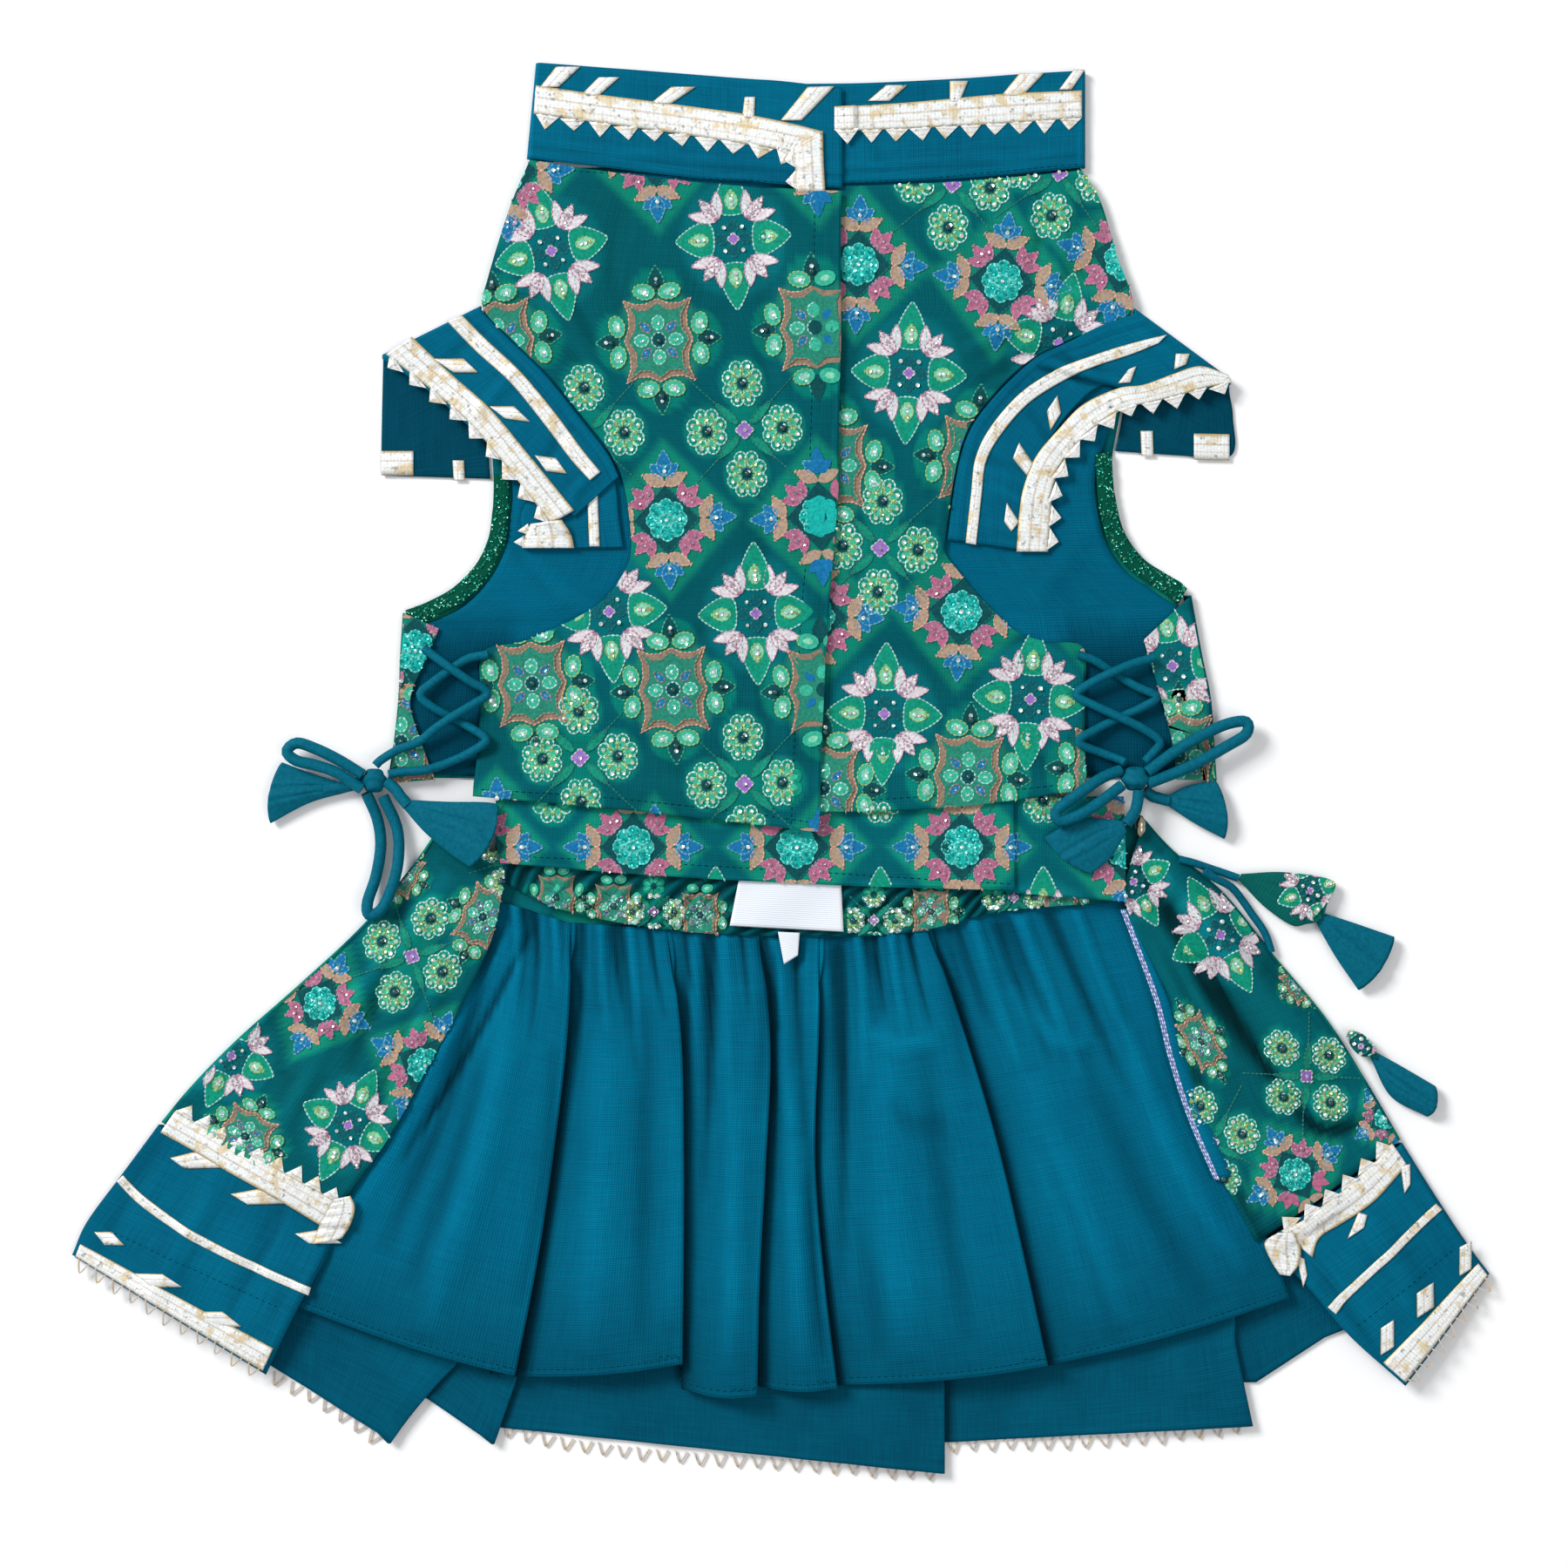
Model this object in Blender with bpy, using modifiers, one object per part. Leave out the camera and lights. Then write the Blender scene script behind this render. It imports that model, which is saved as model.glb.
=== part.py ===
# A dog's lehenga set (choli and gathered skirt) laid flat on its back, belly side up.
# Tables are in millimetres in the garment's plan: +X to the right, +Y towards the collar.
# Heights are the middle of the cloth's wall above the surface that the garment lies on.
import math

import bmesh
import bpy
import numpy as np

millimetre = 0.001
wall = 1.0
trimWall = 0.8
layer = wall + 0.4
seamGap = 0.3
floorLevel = wall / 2
foldRadius = 1.3
foldTurns = 4
doriWidth = 4.4
lacingWidth = 3.4
waistCordWidth = 3.0

clothRoughness = 0.8

setName = "dog_lehenga_set"


# Start from an empty scene with one collection for the garment
for old in list(bpy.data.objects):
    bpy.data.objects.remove(old, do_unlink=True)
garment = bpy.data.collections.new(setName)
bpy.context.scene.collection.children.link(garment)


def cloth(name, colour):
    material = bpy.data.materials.new(name)
    material.use_nodes = True
    shader = material.node_tree.nodes["Principled BSDF"]
    shader.inputs["Base Color"].default_value = (*colour, 1.0)
    shader.inputs["Roughness"].default_value = clothRoughness
    return material


colours = {
    "printed": (0.01, 0.12, 0.11),
    "teal": (0.005, 0.12, 0.19),
    "lining": (0.005, 0.16, 0.22),
    "gota": (0.80, 0.78, 0.66),
    "cord": (0.01, 0.13, 0.17),
    "label": (0.80, 0.82, 0.86),
    "bead": (0.75, 0.72, 0.66),
}


# Smooth values of a table's columns at fractions 0 to 1 along its rows: cubic pieces whose
# slope at each row is that between its two neighbours
def along(table, at):
    table = np.asarray(table, float)
    rows = len(table)
    place = np.clip(np.asarray(at, float), 0.0, 1.0) * (rows - 1)
    first = np.minimum(place.astype(int), rows - 2)
    part = (place - first)[..., None]
    slope = np.gradient(table, axis=0)
    h1 = 2 * part**3 - 3 * part**2 + 1
    h2 = part**3 - 2 * part**2 + part
    h3 = -2 * part**3 + 3 * part**2
    h4 = part**3 - part**2
    return h1 * table[first] + h2 * slope[first] + h3 * table[first + 1] + h4 * slope[first + 1]


# 0 below low, 1 above high, with a soft start and end
def rise(value, low, high):
    part = np.clip((np.asarray(value, float) - low) / (high - low), 0.0, 1.0)
    return part * part * (3 - 2 * part)


# A plan grid between two edges: each table row is left x, left y, right x, right y, bow,
# where bow is how far the row hangs down at its middle
def ruled(table, across, down):
    row = along(table, down)[:, None, :]
    u = np.asarray(across, float)[None, :]
    x = row[..., 0] * (1 - u) + row[..., 2] * u
    y = row[..., 1] * (1 - u) + row[..., 3] * u - row[..., 4] * 4 * u * (1 - u)
    return x, y


def spaced(count, low=0.0, high=1.0):
    return np.linspace(low, high, count + 1)


def finish(name, mesh, material):
    mesh.materials.append(material)
    mesh.shade_smooth()
    piece = bpy.data.objects.new(name, mesh)
    garment.objects.link(piece)
    return piece


# A sheet of cloth: a grid of wall-middle points given a thickness
def sheet(name, x, y, z, material, thickness=wall):
    rows, columns = x.shape
    bm = bmesh.new()
    bmesh.ops.create_grid(bm, x_segments=columns - 1, y_segments=rows - 1, size=1.0)
    for vertex in bm.verts:
        i = round((vertex.co.y + 1) / 2 * (rows - 1))
        j = round((vertex.co.x + 1) / 2 * (columns - 1))
        vertex.co = (x[i, j] * millimetre, y[i, j] * millimetre, z[i, j] * millimetre)
    mesh = bpy.data.meshes.new(name)
    bm.to_mesh(mesh)
    bm.free()
    piece = finish(name, mesh, material)
    solid = piece.modifiers.new("wall", "SOLIDIFY")
    solid.thickness = thickness * millimetre
    solid.offset = 0.0
    return piece


# A cord: a tube along a smooth curve through hand-chosen points
def cord(name, route, width, material, spacing=2.4):
    route = np.asarray(route, float)
    length = np.linalg.norm(np.diff(route, axis=0), axis=1).sum()
    points = along(route, spaced(max(6, round(length / (spacing * width)))))
    curve = bpy.data.curves.new(name, "CURVE")
    curve.dimensions = "3D"
    curve.bevel_depth = width / 2 * millimetre
    curve.bevel_resolution = 2
    curve.use_fill_caps = True
    spline = curve.splines.new("POLY")
    spline.points.add(len(points) - 1)
    for point, place in zip(spline.points, points):
        point.co = (*(place * millimetre), 1.0)
    curve.materials.append(material)
    piece = bpy.data.objects.new(name, curve)
    garment.objects.link(piece)
    return piece


# A closed loft of flattened rings along a straight line: each row is fraction, half width,
# half height, centre height
def cone(name, tip, base, rings, material, sides=10):
    tip = np.asarray(tip, float)
    base = np.asarray(base, float)
    way = (base - tip) / np.linalg.norm(base - tip)
    side = np.array([-way[1], way[0]])
    angle = np.arange(sides) * 2 * math.pi / sides
    bm = bmesh.new()
    loops = []
    for part, halfWidth, halfHeight, height in rings:
        centre = tip * (1 - part) + base * part
        loop = []
        for a in angle:
            plan = centre + side * math.cos(a) * halfWidth
            z = height + math.sin(a) * halfHeight
            loop.append(bm.verts.new((plan[0] * millimetre, plan[1] * millimetre, z * millimetre)))
        loops.append(loop)
    for one, two in zip(loops, loops[1:]):
        for k in range(sides):
            bm.faces.new((one[k], one[(k + 1) % sides], two[(k + 1) % sides], two[k]))
    bm.faces.new(loops[0])
    bm.faces.new(loops[-1])
    bmesh.ops.recalc_face_normals(bm, faces=bm.faces)
    mesh = bpy.data.meshes.new(name)
    bm.to_mesh(mesh)
    bm.free()
    mesh.materials.append(material)
    piece = bpy.data.objects.new(name, mesh)
    garment.objects.link(piece)
    return piece


# A flattened ball, for a knot or a bead
def ball(name, centre, radii, material):
    bm = bmesh.new()
    bmesh.ops.create_uvsphere(bm, u_segments=12, v_segments=8, radius=1.0)
    for vertex in bm.verts:
        vertex.co = [(c + r * v) * millimetre for c, r, v in zip(centre, radii, vertex.co)]
    mesh = bpy.data.meshes.new(name)
    bm.to_mesh(mesh)
    bm.free()
    return finish(name, mesh, material)


materials = {name: cloth(name, colour) for name, colour in colours.items()}


# Points across a cloth that is folded over at one edge: from the free edge along the top to
# the fold, round it, and back below. Gives fractions, steps past the fold, and heights.
def foldSteps(topHeight, lowHeight):
    middle = (topHeight + lowHeight) / 2
    radius = (topHeight - lowHeight) / 2
    angle = np.radians(np.linspace(90, -90, foldTurns + 1)[1:-1])
    return [(radius * math.cos(a), middle + radius * math.sin(a)) for a in angle]


# Skirt panel: each row runs from the left wing's free edge over its fold, across the back and
# over the right wing's fold to that wing's free edge.
# Columns: left edge x, y, left fold x, y, right fold x, y, right edge x, y, bow of the back
skirtRows = [
    (-106.5, -32.2, -132.1, -25.5, 138.5, -19.5, 131.2, -43.5, 28.0),
    (-105.8, -43.5, -142.1, -39.5, 149.5, -31.5, 131.9, -53.5, 29.0),
    (-110.5, -66.2, -160.5, -61.2, 169.2, -48.2, 139.9, -71.5, 34.0),
    (-122.1, -91.2, -183.8, -82.9, 188.5, -72.2, 148.5, -89.5, 44.0),
    (-134.8, -114.5, -207.5, -103.9, 207.9, -95.5, 152.5, -111.2, 56.0),
    (-149.5, -141.2, -224.8, -121.5, 223.2, -119.5, 159.2, -138.2, 68.0),
    (-169.5, -169.2, -236.5, -135.5, 236.5, -142.2, 181.2, -180.9, 76.0),
]
borderRows = [
    (-169.8, -170.5, -237.5, -136.5, 237.2, -143.5, 182.5, -182.2, 76.0),
    (-172.8, -185.5, -251.1, -154.9, 248.9, -162.2, 198.5, -195.5, 75.0),
    (-185.5, -208.9, -264.8, -173.5, 261.2, -180.9, 216.5, -216.2, 75.0),
    (-196.1, -231.2, -270.5, -186.2, 270.5, -193.5, 237.9, -235.5, 76.0),
]
wingSide = 6.4
wingFold = 3.2


# Heights of the folded side: high at the free edge where it lies on the lining, low at the fold
def wingHeight(u, v, puff=0.0):
    side = wingSide - 1.2 * (1 - rise(v, 0.1, 0.4))
    height = side + (wingFold - side) * rise(u, 0.25, 1.0)
    ridge = np.exp(-((u - 0.68 + 0.1 * v) / 0.2) ** 2) * rise(v, 0.05, 0.4) * (1 - rise(v, 0.72, 0.86))
    return height + puff * ridge


def wrapped(table, down, leftCount, backCount, rightCount, puff, backLine=None):
    rows = along(table, down)
    v = np.asarray(down)
    columns = []
    uLeft = spaced(leftCount, 0.0, 0.985)
    uRight = uLeft if rightCount == leftCount else spaced(rightCount, 0.0, 0.985)
    turn = foldSteps(wingFold, floorLevel)
    for u in uLeft:
        x = rows[:, 0] * (1 - u) + rows[:, 2] * u
        y = rows[:, 1] * (1 - u) + rows[:, 3] * u
        columns.append((x, y, wingHeight(u, v)))
    for step, height in turn:
        columns.append((rows[:, 2] - step + foldRadius, rows[:, 3], np.full(len(v), height)))
    back = spaced(backCount, 0.008, 0.992)
    if backLine is None:
        for u in back:
            x = rows[:, 2] * (1 - u) + rows[:, 4] * u
            y = rows[:, 3] * (1 - u) + rows[:, 5] * u - rows[:, 8] * 4 * u * (1 - u)
            columns.append((x, y, np.full(len(v), floorLevel)))
    else:
        columns.extend(backLine(rows, v))
    for step, height in reversed(turn):
        columns.append((rows[:, 4] + step - foldRadius, rows[:, 5], np.full(len(v), height)))
    for u in uRight[::-1]:
        x = rows[:, 6] * (1 - u) + rows[:, 4] * u
        y = rows[:, 7] * (1 - u) + rows[:, 5] * u
        columns.append((x, y, wingHeight(u, v, puff)))
    return [np.stack([c[k] for c in columns], axis=1) for k in range(3)]


# A knife pleat: the cloth comes from the left on top, turns under at its edge, goes back by
# the overlap and comes out to the right below. Gives steps along the row and height shares.
def pleatSteps(amount):
    spread = 9.0 * rise(amount, 0.45, 1.0) - 3.5
    lift = layer * np.minimum(1.0, amount / 0.45)
    turn = 0.6 * rise(spread, -2.0, 2.0)
    return [
        (0 * spread, 2 * lift),
        (turn, 1.5 * lift),
        (0 * spread - 0.2 * turn, lift),
        (-spread + 0.2 * turn, lift),
        (-spread - turn, 0.5 * lift),
        (-spread, 0 * lift),
    ]


# Hem of the back: a row for each pleat with the edge's x, y, its own y and the next part's y
# there, and how far its fold line leans above the hem
hemStart = (-198.8, -226.2)
hemPleats = [
    (-150.1, -256.2, -257.9, -232.9, 22.0),
    (-110.5, -257.5, -258.2, -252.2, 9.0),
    (61.5, -269.5, -269.5, -257.9, 0.0),
    (179.2, -251.5, -251.5, -235.0, -7.0),
]
hemEnd = (207.9, -217.9)
leanReach = 36.0


# Back of the border: points across for each row, from the seam's arc to the pleated hem
def borderBack(rows, v):
    columns = []
    amount = rise(v, 0.1, 0.85)
    leftX, leftY = rows[:, 2], rows[:, 3]
    rightX, rightY = rows[:, 4], rows[:, 5]
    seamBow = rows[0, 8]

    def seam(x):
        u = (x - rows[0, 2]) / (rows[0, 4] - rows[0, 2])
        return rows[0, 3] * (1 - u) + rows[0, 5] * u - seamBow * 4 * u * (1 - u)

    def lerp(x, hemY, height=0.0):
        x = x + 0 * v
        y = seam(x) * (1 - v) + hemY * v
        for edgeX, _, _, _, lean in hemPleats:
            near = np.maximum(0.0, 1 - np.abs(x - edgeX) / leanReach)
            x = x + lean * near * np.minimum(1.0, (1 - v) / 0.42) * np.minimum(1.0, v / 0.3)
        return x, y, floorLevel + height + 0 * v

    start = (leftX + 2.5, leftY - 0.5, 0 * v + floorLevel)
    columns.append(start)
    columns.append(lerp(hemStart[0], hemStart[1]))
    previousX, previousY = hemStart
    for edgeX, edgeY, nextLeft, nextRight, _ in hemPleats:
        for part in (0.15, 0.4, 0.65, 0.85):
            x = previousX + (edgeX - previousX) * part
            y = previousY + (edgeY - previousY) * part
            climb = 2 * layer * np.minimum(1.0, amount / 0.45) * rise(part, 0.1, 1.0)
            columns.append(lerp(x, y, climb))
        for index, (step, height) in enumerate(pleatSteps(amount)):
            hemY = nextLeft if index < 2 else (nextLeft + nextRight) / 2 if index == 2 else nextRight
            columns.append(lerp(edgeX + step, hemY, height))
        previousX, previousY = edgeX + 2.5, nextRight
        columns.append(lerp(previousX, previousY))
    columns.append(lerp(hemEnd[0], hemEnd[1]))
    columns.append((rightX - 2.5, rightY - 0.5, 0 * v + floorLevel))
    return columns


def skirtPanel():
    down = spaced(9)
    grid = wrapped(skirtRows, down, 6, 8, 9, 5.0)
    sheet("skirt_panel", *grid, materials["printed"])


def skirtBorder():
    down = np.array([0.0, 0.25, 0.5, 0.75, 1.0])
    grid = wrapped(borderRows, down, 6, 0, 6, 0.0, borderBack)
    sheet("skirt_border", *grid, materials["teal"])


# Lining: a row for each pleat edge, from the waist to the hem. Columns: x at the waist, at a
# quarter, half, three quarters and at the hem, y at the waist and at the hem, y of the next
# part's hem, and how far the pleat is laid over at the hem
liningPleats = [
    (-80.5, -82.5, -87.5, -93.8, -102.1, -60.2, -230.9, -232.2, 1.0),
    (-44.1, -39.1, -38.1, -38.1, -38.5, -62.2, -226.9, -236.9, 0.75),
    (-8.8, -5.1, -6.8, -9.1, -10.1, -62.9, -238.9, -235.5, 1.0),
    (14.5, 13.2, 11.9, 15.2, 20.5, -62.2, -236.2, -235.5, 0.7),
    (53.9, 68.5, 81.2, 91.2, 100.5, -58.2, -227.5, -228.2, 1.0),
]
liningLeft = (-101.5, -117.1, -133.8, -155.5, -174.8, -51.2, -212.9, -212.9, 0.0)
liningRight = (128.5, 144.5, 158.5, 174.5, 189.9, -51.5, -204.2, -204.2, 0.0)
liningRise = (2.0, 4.5)
gatherHeight = 0.7


def skirtLining():
    down = np.array([0.0, 0.05, 0.11, 0.19, 0.3, 0.42, 0.55, 0.68, 0.8, 0.9, 1.0])
    base = liningRise[0] + (liningRise[1] - liningRise[0]) * rise(down, 0.5, 0.95)
    columns = []

    def line(row):
        x = along(np.array(row[:5])[:, None], down)[:, 0]
        yLeft = row[5] * (1 - down) + row[6] * down
        yRight = row[5] * (1 - down) + row[7] * down
        return x, yLeft, yRight, row[8] * rise(down, 0.08, 0.6)

    previousX, _, previousY, _ = line(liningLeft)
    columns.append((previousX, previousY, base + 0 * down))
    for row in liningPleats + [liningRight]:
        edgeX, yLeft, yRight, amount = line(row)
        lift = 2 * layer * np.minimum(1.0, amount / 0.45)
        hang = 1.6 * down
        for part in spaced(7)[1:-1]:
            x = previousX + (edgeX - previousX) * part
            y = previousY + (yLeft - previousY) * part - hang * 4 * part * (1 - part)
            crown = 1.1 * math.sin(math.pi * part) * rise(down, 0.1, 0.5)
            columns.append((x, y, base + lift * rise(part, 0.15, 1.0) + crown))
        if row is liningRight:
            columns.append((edgeX, yLeft, base + 0 * down))
            break
        for index, (step, height) in enumerate(pleatSteps(amount)):
            share = (0.0, 0.2, 0.4, 0.6, 0.8, 1.0)[index]
            columns.append((edgeX + step, yLeft * (1 - share) + yRight * share, base + height))
        previousX, previousY = edgeX + 2.2, yRight
        columns.append((previousX, previousY, base + 0 * down))
    x, y, z = [np.stack([c[k] for c in columns], axis=1) for k in range(3)]
    sign = np.where(np.arange(x.shape[1]) % 2 == 0, 1.0, 0.0)[None, :]
    z = z + gatherHeight * sign * (1 - rise(down, 0.12, 0.42))[:, None]
    sheet("skirt_lining", x, y, z, materials["lining"])


# Right wing's lining: a rolled strip that shows past the printed edge
def wingLining():
    rows = [
        (128.9, -54.2, 138.5, -52.9, 0.0),
        (134.5, -68.9, 146.5, -66.2, 0.0),
        (141.9, -89.5, 154.5, -86.2, 0.0),
        (147.2, -110.9, 161.2, -109.5, 0.0),
        (154.5, -133.5, 169.2, -131.5, 0.0),
        (164.5, -156.9, 178.5, -154.9, 0.0),
    ]
    across = np.array([0.0, 0.12, 0.3, 1.0])
    x, y = ruled(rows, across, spaced(8))
    z = np.zeros_like(x) + 3.9 + 1.0 * spaced(8)[:, None]
    sheet("wing_lining_right", x, y, z, materials["lining"])


# Elastic waist casing inside the back, ruched across
casingTop = [(-102.8, -24.5), (-58.8, -36.9), (-5.5, -42.9), (51.2, -40.9), (94.5, -33.5), (129.2, -25.5)]
casingLow = [(-102.8, -40.9), (-81.1, -54.9), (-45.5, -61.5), (-2.8, -64.2), (47.9, -62.9), (84.5, -54.9), (129.2, -50.9)]
ruches = 34


def waistCasing():
    at = spaced(2 * ruches)
    top = along(casingTop, at)
    low = along(casingLow, at)
    down = spaced(2)[:, None]
    x = top[None, :, 0] * (1 - down) + low[None, :, 0] * down
    y = top[None, :, 1] * (1 - down) + low[None, :, 1] * down
    wave = np.where(np.arange(2 * ruches + 1) % 2 == 0, 0.55, -0.35)[None, :]
    z = 4.2 + wave * np.array([0.7, 1.0, 0.6])[:, None]
    sheet("waist_casing", x, y, z, materials["printed"])


# Labels sewn into the casing, left blank
def labels():
    x, y = ruled([(-15.8, -41.5, 22.9, -42.5, 0.0), (-19.5, -60.2, 23.9, -62.5, 0.0)], spaced(4), spaced(2))
    sheet("woven_label", x, y, np.full_like(x, 5.9), materials["label"], trimWall)
    x, y = ruled([(-1.1, -62.5, 7.2, -62.9, 0.0), (1.2, -74.9, 6.5, -71.5, 0.0)], spaced(2), spaced(2))
    sheet("size_tab", x, y, np.full_like(x, 6.0), materials["label"], trimWall)


# Belly strap: left part over right part
strapHeight = 7.2
strapLap = 1.4
strapLeftRows = [
    (-106.5, -15.5, 88.9, -11.5, 0.0),
    (-108.8, -26.2, 88.9, -26.2, 1.5),
    (-106.8, -36.2, 89.2, -46.5, 2.0),
]
strapRightRows = [
    (74.5, -10.9, 130.5, -10.9, 0.0),
    (74.5, -26.2, 131.2, -30.2, 0.5),
    (74.5, -45.9, 131.2, -50.9, 0.5),
]


def bellyStrap():
    x, y = ruled(strapLeftRows, spaced(20), spaced(4))
    z = strapHeight + strapLap * rise(x, 62.9, 72.9)
    sheet("belly_strap_left", x, y, z, materials["printed"])
    x, y = ruled(strapRightRows, spaced(6), spaced(4))
    sheet("belly_strap_right", x, y, np.full_like(x, strapHeight), materials["printed"])


# Choli back: a row for each height with its left and right edge
backRows = [
    (-96.1, 229.5, 114.5, 229.5, 0.0),
    (-103.5, 213.8, 121.5, 215.5, 0.0),
    (-111.5, 187.1, 130.5, 187.1, 0.0),
    (-113.5, 173.1, 133.9, 171.8, 0.0),
    (-112.1, 143.8, 131.2, 143.8, 0.0),
    (-109.8, 108.8, 126.5, 117.1, 0.0),
    (-110.5, 97.1, 127.9, 103.8, 0.0),
    (-112.1, 87.1, 131.2, 90.5, 0.0),
    (-117.1, 77.1, 138.5, 80.1, 0.0),
    (-125.5, 68.8, 147.9, 73.8, 0.0),
    (-134.8, 63.1, 153.9, 69.8, 0.0),
    (-140.8, 59.8, 151.9, 63.1, 0.0),
    (-142.1, 43.8, 155.9, 43.8, 0.0),
    (-142.8, 27.1, 159.2, 27.1, 0.0),
    (-145.5, 0.5, 161.2, 0.5, 0.0),
    (-146.1, -3.9, 161.5, -3.9, 0.0),
]
backLiningRows = [
    (-94.1, 227.5, 112.5, 227.5, 0.0),
    (-101.5, 213.8, 119.5, 215.1, 0.0),
    (-108.8, 187.1, 127.9, 187.1, 0.0),
    (-110.8, 173.1, 131.2, 171.8, 0.0),
    (-109.5, 143.8, 121.9, 143.8, 0.0),
    (-102.8, 109.5, 117.9, 115.5, 0.0),
    (-103.5, 95.1, 120.5, 101.5, 0.0),
    (-105.5, 83.1, 123.9, 86.8, 0.0),
    (-111.1, 72.1, 131.2, 75.5, 0.0),
    (-120.5, 62.1, 141.9, 67.8, 0.0),
    (-131.1, 56.5, 148.9, 63.1, 0.0),
    (-139.5, 53.1, 153.2, 59.1, 0.0),
    (-142.1, 43.1, 156.5, 43.1, 0.0),
    (-143.1, 27.1, 160.5, 27.1, 0.0),
    (-145.8, 0.5, 162.5, 0.5, 0.0),
    (-146.1, -2.5, 162.9, -2.5, 0.0),
]
facingLeftRows = [
    (-109.5, 112.1, -103.5, 111.5, 0.0),
    (-110.1, 97.1, -104.1, 96.5, 0.0),
    (-111.8, 87.1, -106.1, 84.5, 0.0),
    (-116.8, 77.1, -111.8, 73.5, 0.0),
    (-125.1, 68.8, -121.1, 63.5, 0.0),
    (-135.5, 63.1, -131.8, 57.8, 0.0),
    (-143.5, 60.1, -140.8, 54.5, 0.0),
]
facingRightRows = [
    (126.2, 120.5, 120.2, 119.8, 0.0),
    (127.5, 103.8, 121.2, 102.8, 0.0),
    (130.9, 90.5, 124.5, 88.1, 0.0),
    (138.2, 80.1, 131.9, 76.8, 0.0),
    (147.5, 73.8, 142.9, 69.1, 0.0),
    (155.2, 68.5, 151.9, 62.8, 0.0),
]
turnLeftRows = [
    (-130.5, 53.1, -144.1, 59.1, 0.0),
    (-136.1, 40.5, -145.1, 43.8, 0.0),
    (-141.5, 25.5, -145.8, 27.1, 0.0),
    (-137.5, 10.5, -147.5, 10.5, 0.0),
    (-132.1, -4.5, -150.1, -5.9, 0.0),
]
turnRightRows = [
    (138.5, 48.8, 156.5, 65.8, 0.0),
    (141.2, 39.8, 160.5, 43.8, 0.0),
    (145.2, 26.5, 163.9, 27.1, 0.0),
    (149.2, 10.5, 165.2, 10.5, 0.0),
    (151.2, -4.5, 166.2, -4.9, 0.0),
]
turnHeight = 3.3


# The back's side edge turned over to the front, as a strip that goes round the side fold
def sideTurn(name, rows, outward):
    down = spaced(6)
    row = along(rows, down)
    columns = []
    for u in (0.0, 0.3, 0.65, 0.97):
        x = row[:, 0] * (1 - u) + row[:, 2] * u
        y = row[:, 1] * (1 - u) + row[:, 3] * u
        columns.append((x, y, np.full(len(down), turnHeight)))
    for step, height in foldSteps(turnHeight, floorLevel):
        columns.append((row[:, 2] + outward * (step - foldRadius), row[:, 3], np.full(len(down), height)))
    for inside in (1.4, 2.6):
        columns.append((row[:, 2] - outward * inside, row[:, 3], np.full(len(down), floorLevel)))
    x, y, z = [np.stack([c[k] for c in columns], axis=1) for k in range(3)]
    sheet(name, x, y, z, materials["printed"])


def choliBack():
    down = spaced(15)
    x, y = ruled(backRows, spaced(6), down)
    sheet("choli_back", x, y, np.full_like(x, floorLevel), materials["printed"])
    x, y = ruled(backLiningRows, spaced(6), down)
    sheet("choli_back_lining", x, y, np.full_like(x, 1.9), materials["lining"])
    x, y = ruled(facingLeftRows, spaced(1), spaced(10))
    sheet("armhole_facing_left", x, y, np.full_like(x, 1.9), materials["printed"])
    x, y = ruled(facingRightRows, spaced(1), spaced(10))
    sheet("armhole_facing_right", x, y, np.full_like(x, 1.9), materials["printed"])
    sideTurn("side_turn_left", turnLeftRows, -1.0)
    sideTurn("side_turn_right", turnRightRows, 1.0)


# Choli fronts: a row for each height
frontLeftRows = [
    (-95.8, 232.1, 23.2, 219.8, 2.0),
    (-103.5, 213.8, 22.9, 206.5, 0.0),
    (-111.8, 187.1, 22.9, 183.8, 0.0),
    (-113.5, 175.1, 22.9, 173.1, 0.0),
    (-101.5, 162.5, 22.9, 160.5, 0.0),
    (-88.1, 149.1, 22.5, 147.1, 0.0),
    (-74.5, 132.5, 22.2, 131.1, 0.0),
    (-64.5, 119.1, 21.9, 117.8, 0.0),
    (-59.5, 106.1, 21.9, 105.1, 0.0),
    (-57.1, 83.1, 20.2, 83.1, 0.0),
    (-61.5, 71.8, 19.2, 71.1, 0.0),
    (-68.1, 63.8, 18.5, 62.5, 0.0),
    (-77.1, 57.8, 18.2, 56.5, 0.0),
    (-86.8, 53.1, 17.9, 50.5, 0.0),
    (-98.8, 48.1, 17.2, 44.5, 0.0),
    (-113.8, 44.1, 16.9, 38.5, 0.0),
    (-114.5, 27.1, 16.2, 22.1, 0.0),
    (-115.5, 10.5, 15.5, 5.5, 0.0),
    (-116.1, 0.5, 15.2, -4.5, 0.0),
    (-116.8, -5.9, 14.9, -14.5, 0.0),
    (-117.1, -10.9, 14.2, -24.5, -0.8),
]
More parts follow.
